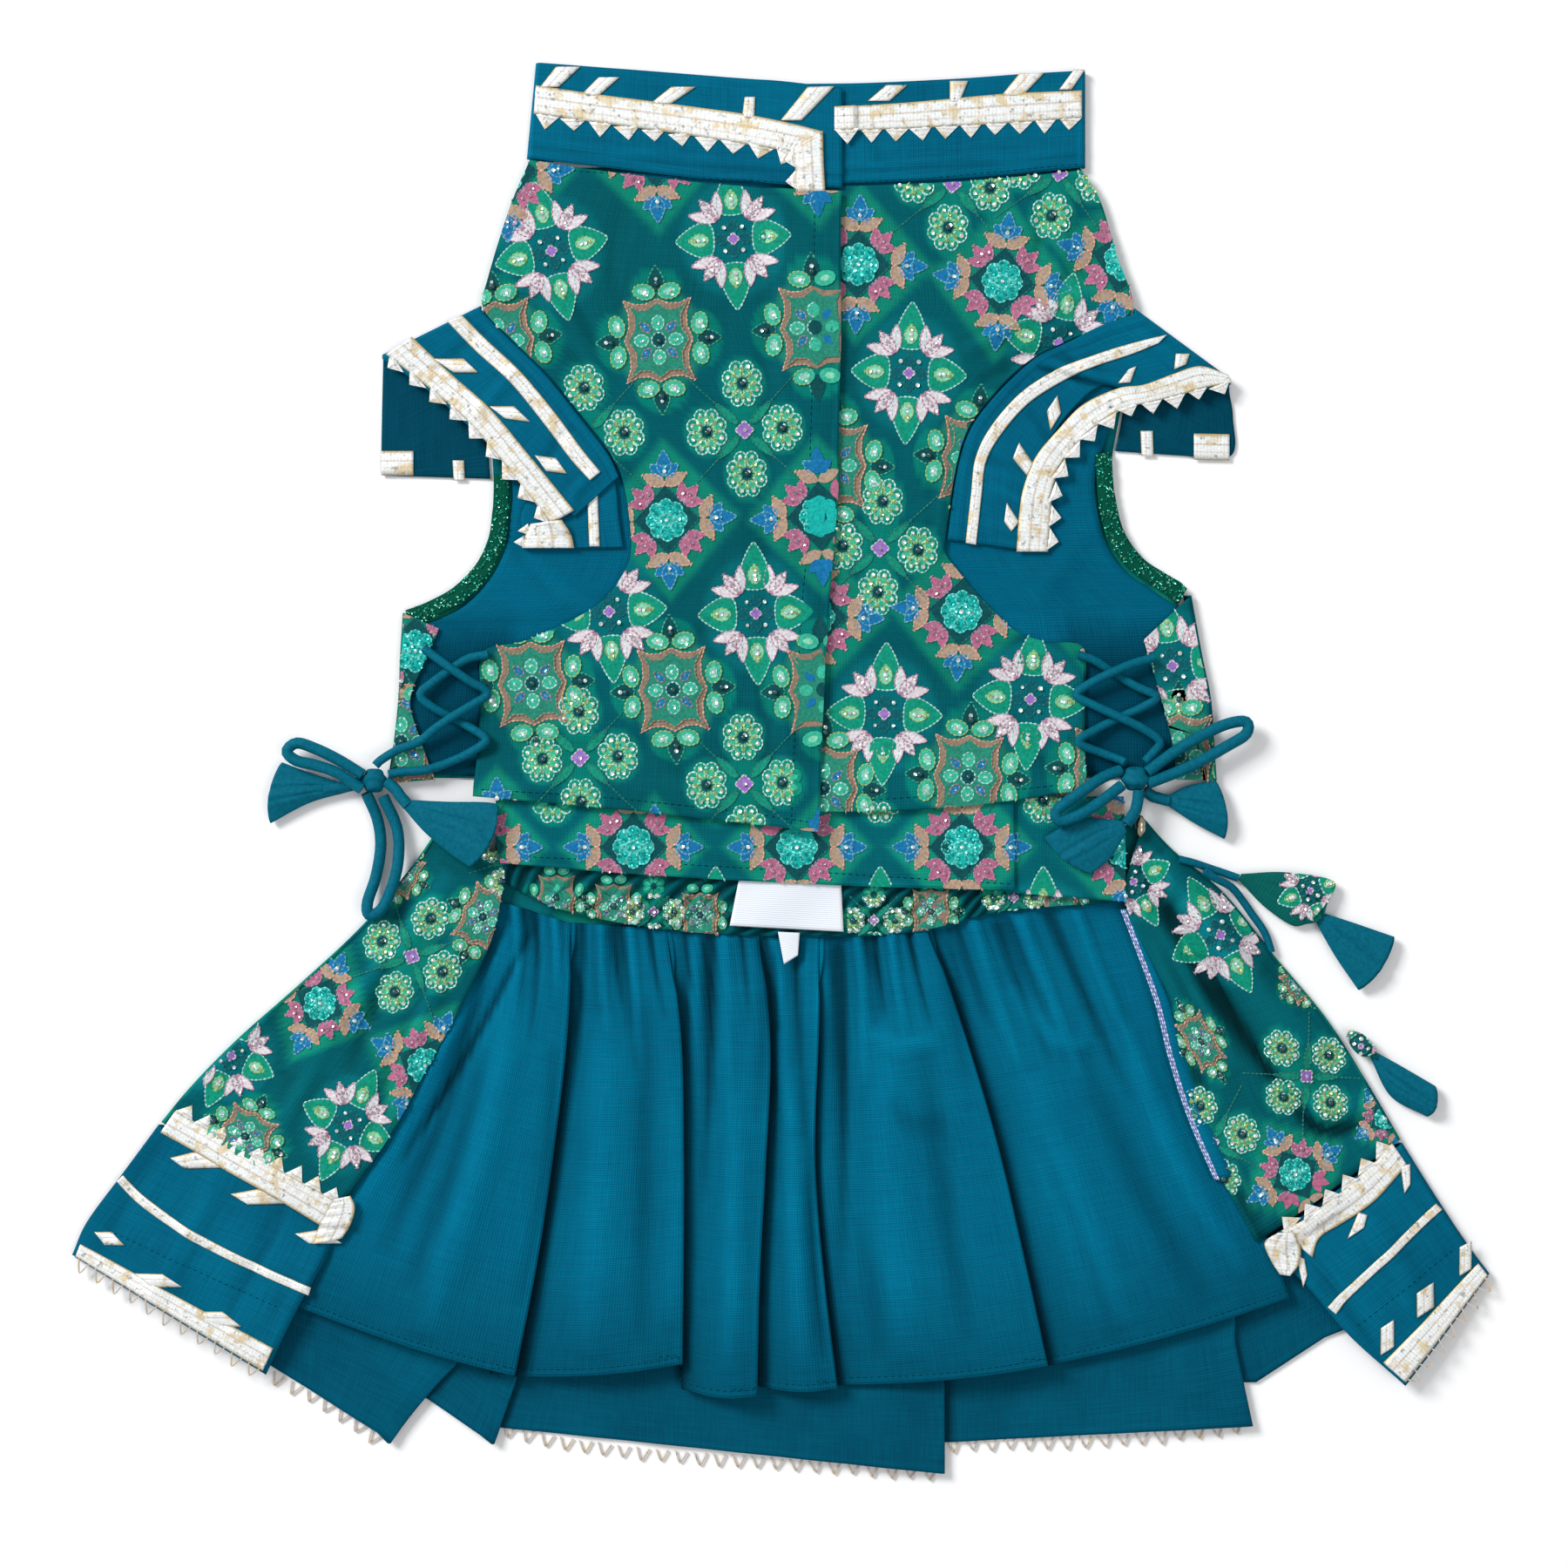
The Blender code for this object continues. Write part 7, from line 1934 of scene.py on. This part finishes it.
# A sleeve from its lower end up over its folded part, round its top edge and down below it
def capSleeve(side, cut, area, rays=90):
    down, across = spaced(rays), spaced(30)
    x, y = ruled(sleeveRows[side], across, down)
    z = sleeveHeight(side, down)[:, None] + creased(x, y, sleeveCreases)
    z = z + 0.25 * hump(across[None, :], 0.08, 0.03) - 0.2 * hump(across[None, :], 0.13, 0.02)
    turns = foldSteps(float(sleeveHeight(side, 0.0)))
    foldX = np.array([x[0] for _ in turns])
    foldY = np.array([y[0] + step for step, _ in turns])
    foldZ = np.array([0 * x[0] + high for _, high in turns])
    lowX, lowY = ruled(sleeveUnder[side], across, spaced(30))
    lowZ = floorLevel + 0.1 + creased(lowX, lowY, underCreases)
    # Painted shade darkens the rows from the fold to the part below it
    dark = (np.arange(len(x) + len(turns) + len(lowX)) > rays + 4)[:, None]
    clothPiece("sleeve_" + side, np.vstack([x[::-1], foldX, lowX]), np.vstack([y[::-1], foldY, lowY]),
               np.vstack([z[::-1], foldZ, lowZ]), tealSilk, cut, "folded",
               ["choli_front_" + side, "choli_back"], area=area, carries=False, shade=1 - 0.52 * dark,
               split=(np.s_[:len(x)], np.s_[len(x) + len(turns):]))
    mapPart("sleeve_" + side, x, y, z)
    mapPart("under_" + side, lowX, lowY, lowZ)


capSleeve("left", (0.13, 0.075), 0.0055)
capSleeve("right", (0.15, 0.075), 0.0072)
x, y = ruled(sleeveEndRows, spaced(30), spaced(40))
z = 3.5 + creased(x, y, [(-72.1, 107.1, -82.1, 100.5, -92.1, 93.8, 3.0, 0.5)])
clothPiece("sleeve_left_end", x, y, z, tealSilk, (0.037, 0.030), "folded", ["choli_back_lining"])
print("collar and sleeves made")


# A ribbon between two lines of the plan: rows are upper x, y and lower x, y. Across it the ribbon
# is slightly crowned; along it, its ribs run crosswise and v goes from edge to edge. Its waves
# are a sine of 1.9s + 1.5 sin(0.23s), where s is the way along it in millimetres.
ribbon = {"lift": 0.35, "wall": 0.3, "crown": 0.15}


def strip(name, rows, surface, lift=ribbon["lift"], fromCad=False, columns=9, wave=0.12):
    rows = np.asarray(rows, float)
    run = np.linalg.norm(np.diff((rows[:, :2] + rows[:, 2:]) / 2, axis=0), axis=1).sum()
    count = max(4, round(run))
    row = along(rows, spaced(count))
    v = spaced(columns - 1)[None, :]
    x, y = [row[:, k:k + 1] * (1 - v) + row[:, k + 2:k + 3] * v for k in (0, 1)]
    s = spaced(count)[:, None] * run
    ripple = wave * np.sin(s * 1.9 + 1.5 * np.sin(s * 0.23)) * (v - 0.2)
    z = surface(x, y) + lift + ribbon["crown"] * np.sin(math.pi * v) + ripple
    uv = np.stack([np.broadcast_to(k, x.shape).ravel() for k in (s * millimetre, v)], 1)
    piece = makeMesh(name + "_gota", pointsOf(x, y, z), gridFaces(*x.shape), gota, uv)
    walled(piece, ribbon["wall"])
    if fromCad:
        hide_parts(name)
    return piece, row


# Copies of a small shape along the lower line of a ribbon, pointing away from its upper line.
# Their colour is that of the yarn at v, and it goes on by the slope down each copy.
def fringe(name, row, surface, shape, pitch, deep, lift=ribbon["lift"], thick=0.45, wide=1.0,
           yarn=(0.25, -0.8)):
    away = row[:, 2:4] - row[:, 0:2]
    spot, _ = paced(np.column_stack([row[:, 2:4], away / np.linalg.norm(away, axis=1)[:, None]]), pitch)
    count = len(spot)
    out = spot[:, 2:4] / np.linalg.norm(spot[:, 2:4], axis=1)[:, None]
    turn = np.arctan2(out[:, 1], out[:, 0]) + math.pi / 2
    tip = spot[:, :2] + out * deep * 0.5
    low = np.maximum(surface(spot[:, 0], spot[:, 1]), surface(tip[:, 0], tip[:, 1]))
    places = np.column_stack([spot[:, :2], low + lift])
    run = np.linalg.norm(np.diff(row[:, 2:4], axis=0), axis=1).sum() / count
    widths = run * wide * chance.uniform(0.9, 1.04, count)
    sizes = np.column_stack([widths, deep * chance.uniform(0.86, 1.12, count), np.full(count, thick)])
    piece = repeated(name, shape, places, turn + chance.normal(0, 0.06, count), sizes, gota)
    uv = np.tile(shape[0][:, :2] * (millimetre, yarn[1]), (count, 1)) + (0, yarn[0])
    lay = piece.data.uv_layers.new(name="lay")
    lay.data.foreach_set("uv", uv.astype(np.float32)[cornersOf(piece.data)].ravel())
    return piece


# A ribbon with a row of pointed teeth along its lower edge
def toothedLace(name, host, surface, rows, pitch, deep, lift=ribbon["lift"], fromCad=True):
    piece, row = strip(name, rows, surface, lift, fromCad)
    sewnOn[host] += [piece, fringe(name + "_teeth", row, surface, toothShape, pitch, deep, lift)]


# Short bars of ribbon cut on a slant: the two corners of one end, then those of the other
def bars(name, table, surface, host, lift=ribbon["lift"]):
    for k, ends in enumerate(table):
        rows = np.reshape(ends, (2, 4))
        sewnOn[host].append(strip(f"{name}_{k + 1}", rows, surface, lift, columns=5, wave=0.05)[0])


# The upper laces: lower and upper edge from the free edge to the fold
upperLaces = {
    "left": [
        (-172.8, -175.9, -167.8, -165.9), (-188.8, -166.2, -183.5, -157.2),
        (-198.8, -160.5, -193.8, -151.5), (-212.8, -152.9, -207.5, -143.9),
        (-223.5, -146.5, -218.1, -138.2), (-236.8, -139.2, -231.1, -130.9),
    ],
    "right": [
        (202.5, -186.6, 190.5, -176.4), (205.2, -179.2, 199.5, -171.9), (212.9, -174.2, 206.9, -166.2),
        (219.9, -169.9, 214.2, -161.2), (227.2, -164.5, 221.2, -155.2), (234.2, -156.9, 227.9, -149.2),
        (238.9, -151.5, 233.2, -143.2),
    ],
}
# The sleeve laces: inner and outer edge from the armhole's top to its lower end
sleeveLaces = {
    "left": [
        (-140.8, 164.5, -150.8, 157.8), (-126.1, 150.5, -133.1, 144.1), (-111.1, 137.1, -118.1, 130.8),
        (-96.5, 119.8, -103.8, 113.8), (-78.8, 98.1, -87.5, 93.1),
    ],
    "right": [
        (170.5, 149.8, 171.9, 146.8), (159.9, 153.1, 162.5, 145.1), (149.5, 150.1, 151.9, 142.1),
        (138.5, 146.1, 139.9, 139.1), (127.9, 144.5, 131.2, 137.1), (115.2, 138.5, 119.9, 129.8),
        (105.9, 129.1, 112.2, 122.5), (97.2, 118.5, 105.9, 113.5), (92.5, 106.5, 103.5, 103.8),
        (90.9, 96.5, 102.9, 95.1), (89.9, 82.5, 101.9, 82.5),
    ],
}
borderStripes = {
    "left": [
        (-251.1, -155.5, -253.5, -157.9), (-245.8, -161.2, -248.1, -163.9),
        (-238.5, -166.9, -240.5, -169.9), (-229.5, -173.2, -231.1, -176.2),
        (-219.8, -178.9, -221.5, -181.9), (-210.1, -183.9, -211.5, -186.9),
        (-200.5, -188.5, -201.8, -191.5), (-190.8, -192.9, -192.1, -195.9),
        (-178.8, -197.9, -179.8, -200.9),
    ],
    "right": [
        (249.9, -166.2, 252.2, -168.5), (233.2, -181.9, 235.5, -184.2), (215.5, -198.2, 217.9, -200.5),
        (208.2, -205.5, 211.5, -208.2),
    ],
}
collarTop = over("collar_left", "collar_right")
toothedLace("collar_lace_left", "collar_band", collarTop, [
    (-93.5, 260.4, -94.3, 249.6), (-68.8, 256.8, -68.8, 246.0), (-42.1, 253.4, -42.1, 242.4),
    (-15.5, 249.6, -17.1, 238.4), (4.9, 245.4, 0.5, 235.4), (15.7, 242.6, 7.5, 234.0)], 9.9, 5.0)
toothedLace("collar_lace_right", "collar_band", collarTop, [
    (20.4, 252.1, 20.4, 242.9), (51.2, 254.1, 51.2, 244.1), (84.5, 257.1, 84.5, 245.9),
    (114.9, 258.5, 114.9, 248.1)], 9.6, 4.8)
for side, pitch in (("left", 9.8), ("right", 9.4)):
    toothedLace("sleeve_lace_" + side, "sleeve_" + side, over("sleeve_" + side), sleeveLaces[side],
                pitch, 4.4)
    toothedLace("upper_lace_" + side, "skirt_border", over("wing_" + side, "border_" + side),
                upperLaces[side], 8.5, 5.2)
# The left collar lace turns down at its end, and the left sleeve lace turns under
toothedLace("collar_lace_turn", "collar_band", over("collar_left"), [
    (16.0, 242.8, 4.6, 236.4), (16.3, 231.0, 5.4, 230.0), (16.9, 219.8, 5.8, 219.6)], 7.2, 4.2, 1.0, False)
toothedLace("sleeve_lace_turn", "sleeve_left_end", over("sleeve_left_end", "sleeve_left"), [
    (-83.5, 94.5, -95.5, 93.1), (-80.1, 89.1, -97.5, 88.5), (-78.8, 83.8, -98.8, 83.8)], 5.4, 4.2,
    1.2, False)
# The upper laces end in a bulky turned fold
laceTurns = {
    "left": [(-163.8, -162.9, -170.1, -164.2), (-162.1, -167.5, -172.8, -168.9),
             (-163.8, -173.9, -176.1, -175.2), (-167.1, -179.2, -178.1, -181.2)],
    "right": [(195.2, -176.9, 189.2, -176.9), (197.9, -182.9, 184.2, -180.9),
              (197.2, -188.9, 186.5, -187.5), (193.9, -193.5, 189.9, -192.9)],
}
for side, rows in laceTurns.items():
    surface = over("wing_" + side, "border_" + side)
    sewnOn["skirt_border"].append(strip("upper_lace_turn_" + side, rows, surface, 1.5, wave=0.5)[0])


# The two edges of a lace between two shares down the border of a folded side
def onBorder(side, first, last):
    a, b = ((0, 1), (2, 3)) if side == "left" else ((6, 7), (4, 5))
    u = spaced(8, 0.02, fold["shown"])[:, None]
    rows = [along(borderRows, v + 0 * u[:, 0]) for v in (first, last)]
    return np.hstack([row[:, a] * (1 - u) + row[:, b] * u for row in rows])


# Picots are small and thin, and take the yarn in the ribbon's middle
picots = {"pitch": 7.4, "yarn": (0.405, 0.0)}
for side in ("left", "right"):
    sleeve = over("sleeve_" + side)
    stripe, _ = strip("sleeve_stripe_" + side, sleeveStripes[side], sleeve, fromCad=True)
    sewnOn["sleeve_" + side].append(stripe)
    surface = over("border_" + side)
    stripe, _ = strip("border_stripe_" + side, borderStripes[side], surface, fromCad=True)
    lace, row = strip("hem_lace_" + side, onBorder(side, 0.86, 0.99), surface, fromCad=True, columns=7)
    edging = fringe("hem_picots_" + side, row, surface, picotShape, picots["pitch"], 4.4, 0.1, 0.7, 0.68,
                    picots["yarn"])
    sewnOn["skirt_border"] += [stripe, lace, edging]
print("laces made")

bars("collar_bar", [
    (-91.8, 259.8, -84.8, 259.8, -85.8, 267.5, -76.5, 267.5),
    (-76.5, 256.5, -69.5, 256.5, -69.5, 263.5, -61.5, 263.5),
    (-49.8, 253.5, -41.8, 253.5, -41.8, 259.8, -32.5, 259.8),
    (-14.8, 247.8, -10.1, 247.5, -13.8, 255.8, -9.8, 255.8),
    (-0.1, 246.8, 7.9, 246.8, 10.2, 259.5, 20.5, 259.8),
    (33.2, 254.5, 41.5, 254.5, 40.2, 260.5, 48.2, 260.5),
    (64.5, 254.1, 68.2, 254.1, 64.5, 262.1, 71.5, 262.1),
    (84.2, 256.5, 92.2, 256.5, 91.2, 265.1, 100.5, 265.1),
    (106.2, 258.8, 110.9, 258.8, 111.9, 266.5, 116.2, 266.5),
], collarTop, "collar_band", 0.3)
bars("sleeve_bar_left", [
    (-132.5, 156.1, -124.8, 150.8, -121.1, 156.1, -115.5, 150.8),
    (-111.1, 137.8, -105.1, 133.1, -101.8, 137.8, -95.5, 131.8),
    (-93.8, 119.1, -89.5, 113.1, -85.8, 118.1, -81.5, 112.1),
], over("sleeve_left"), "sleeve_left")
bars("sleeve_bar_right", [
    (101.5, 136.1, 105.5, 142.1, 102.9, 128.8, 106.9, 135.5),
    (88.5, 118.1, 90.9, 124.1, 93.9, 111.5, 96.2, 116.1),
    (85.2, 93.8, 86.2, 101.1, 87.9, 90.1, 90.9, 93.8),
    (128.5, 146.5, 133.2, 146.8, 132.5, 151.8, 135.5, 153.1),
    (149.9, 151.8, 154.5, 153.8, 150.5, 157.8, 155.9, 157.8),
], over("sleeve_right"), "sleeve_right")
bars("border_bar_left", [
    (-223.5, -146.5, -213.1, -152.5, -233.1, -148.9, -227.5, -152.9),
    (-198.8, -160.5, -188.8, -166.2, -209.8, -162.5, -203.1, -166.5),
    (-174.8, -175.9, -167.1, -181.2, -185.1, -177.5, -179.5, -181.2),
    (-262.1, -177.2, -258.1, -182.2, -255.5, -177.2, -250.5, -182.2),
    (-246.5, -192.9, -239.8, -197.9, -235.5, -192.9, -228.1, -197.9),
    (-224.5, -207.2, -217.1, -212.9, -212.8, -207.2, -205.5, -212.9),
], over("border_left"), "skirt_border")
bars("border_bar_right", [
    (236.5, -152.2, 240.2, -151.2, 237.9, -162.5, 240.2, -158.9),
    (220.2, -169.5, 223.5, -170.5, 215.9, -179.5, 222.2, -175.2),
    (196.2, -185.5, 199.5, -187.2, 198.9, -197.9, 200.5, -193.2),
    (258.9, -182.9, 263.5, -180.5, 258.9, -193.9, 263.5, -191.2),
    (242.2, -200.2, 248.9, -196.2, 242.2, -209.5, 248.9, -205.5),
    (228.5, -213.5, 233.5, -210.2, 228.5, -223.9, 233.5, -220.5),
], over("border_right"), "skirt_border")
bars("sleeve_end_stripe", [
    (-74.1, 109.8, -70.1, 109.8, -73.1, 84.5, -69.1, 84.5),
], over("sleeve_left_end"), "sleeve_left_end")
bars("under_bar_left", [
    (-152.8, 121.1, -152.8, 111.8, -140.5, 121.1, -140.5, 111.8),
    (-125.5, 117.5, -121.1, 117.5, -125.1, 109.8, -120.8, 109.8),
], over("under_left"), "sleeve_left")
bars("under_bar_right", [
    (157.9, 127.8, 157.9, 117.8, 171.5, 127.5, 171.5, 117.5),
    (137.5, 128.8, 142.2, 128.8, 137.9, 119.1, 142.5, 119.1),
], over("under_right"), "sleeve_right")

# Picots along the hem of the back, past each part of its band
backHem = ([(-194.8, -230.9), (-172.1, -243.5), (-152.1, -256.9)],
           [(-107.1, -251.5), (-82.1, -256.9), (-48.8, -261.2), (1.2, -264.9), (61.2, -268.9)],
           [(62.5, -257.9), (94.5, -256.9), (134.5, -255.5), (177.9, -250.9)])
for k, route in enumerate(backHem):
    line = along(route, spaced(40))
    way = np.gradient(line, axis=0)
    out = np.stack([way[:, 1], -way[:, 0]], 1) / np.linalg.norm(way, axis=1)[:, None]
    row = np.column_stack([line - out * 4, line])
    sewnOn["skirt_border"].append(fringe(
        f"back_picots_{k + 1}", row, lambda x, y: np.full_like(x, floorLevel), picotShape,
        picots["pitch"], 3.9, 0.0, 0.6, 0.64, picots["yarn"]))
print("bars and picots made")


# Running stitches along routes of the plan, in one mesh; a size is length, width and height
def sewing(name, host, routes, tones, surface=None, pitch=2.6, size=(2.0, 0.45, 0.16), thread=sewingThread):
    surface = surface or over(host)
    spots, turns = zip(*[paced(along(route, spaced(60)), pitch) for route in routes])
    spots, turns = np.vstack(spots), np.concatenate(turns)
    places = np.column_stack([spots[:, :2], surface(spots[:, 0], spots[:, 1]) + 0.02])
    tint = np.array([linear(tone) for tone in tones])[np.arange(len(spots)) % len(tones)]
    tint = tint * chance.uniform(0.9, 1.1, (len(spots), 1))
    tint[:, 3] = 1
    sewnOn[host].append(repeated(name, stitchShape, places, turns, size, thread, tint))


seam = {"lining": ["#013B4E"], "collar": ["#014058"], "print": ["#012F34"],
        "serging": ["#C9CCF6", "#8E97E0", "#E6E8FC"]}
# The lining's hem line goes back at each pleat, and is sewn in the runs between them
hemLine = liningHem + (0, 2.8)
runs = np.split(hemLine, np.where(np.diff(hemLine[:, 0]) <= 0)[0] + 1)
sewing("lining_hem_stitches", "skirt_lining", [r for r in runs if len(r) > 12], seam["lining"])
for side, line in zip(("left", "right"), borderStitches):
    sewing("border_stitches_" + side, "skirt_border", [line], seam["lining"], over("border_" + side))
sewing("collar_stitches", "collar_band", [
    [(-90.5, 228.5), (-45.5, 225.8), (2.9, 223.1), (21.2, 221.8)],
    [(26.2, 223.1), (64.5, 225.8), (113.9, 230.5)]], seam["collar"], collarTop)
placketLine = [(x - front["placket"], y) for x, y in lapLine[:-1]] + [(3.9, -22.0)]
sewing("placket_stitches", "choli_front_left", [placketLine], seam["print"])
sewing("front_hem_stitches", "choli_front_left", [
    [(-114.5, -8.2), (-65.5, -11.5), (-15.5, -16.9), (13.9, -21.2)]], seam["print"])
sewing("front_right_hem_stitches", "choli_front_right", [
    [(18.5, -13.2), (51.2, -11.2), (84.5, -8.9), (114.5, -5.5)]], seam["print"])
sewing("strap_stitches", "belly_strap_left", [
    [(-105.5, -33.5), (-48.8, -36.2), (7.9, -39.5), (67.9, -43.2), (87.9, -44.2)]], seam["print"])
serged = along([r[:2] for r in wingLiningRows], spaced(40))
sewing("wing_serging", "wing_lining_right", [serged + (aside, 0) for aside in (0.9, 1.6, 2.3)],
       seam["serging"], pitch=1.6, size=(2.2, 0.75, 0.4), thread=rayonThread)

# The tassel caps are printed cloth with an embroidered half motif each: two edge lines, the
# height at both ends, how tall, and the motif
caps = {
    "tassel_cap_a": ([(175.9, -40.5), (192.9, -39.9), (211.2, -43.5), (207.2, -52.9)],
                     [(174.9, -42.9), (184.5, -52.9), (195.2, -60.2), (201.2, -59.5)], (2.6, 2.9), 2.4,
                     ("A", 201.9, -46.9, 20, 0.6)),
    "tassel_cap_b": ([(217.2, -100.2), (221.9, -101.5), (225.9, -105.5), (226.9, -108.2)],
                     [(215.9, -102.9), (218.5, -107.5), (221.9, -110.2), (224.5, -110.2)], (2.8, 2.9), 2.3,
                     ("A", 221.2, -106.2, 35, 0.5)),
}
for name, (left, right, height, tall, motif) in caps.items():
    clothCone(name, left, right, height, tall, 1.2, printedCloth, linear("#0A5D58"))
    sewnOn[name] = []
    keep = within(np.vstack([along(left, spaced(20)), along(right, spaced(20))[::-1]]))
    drawPrint(name, [motif], keep, height=lambda a, b: heightOn(name, a, b) + 0.1)

for name, facts in cloths.items():
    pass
for name, facts in cords.items():
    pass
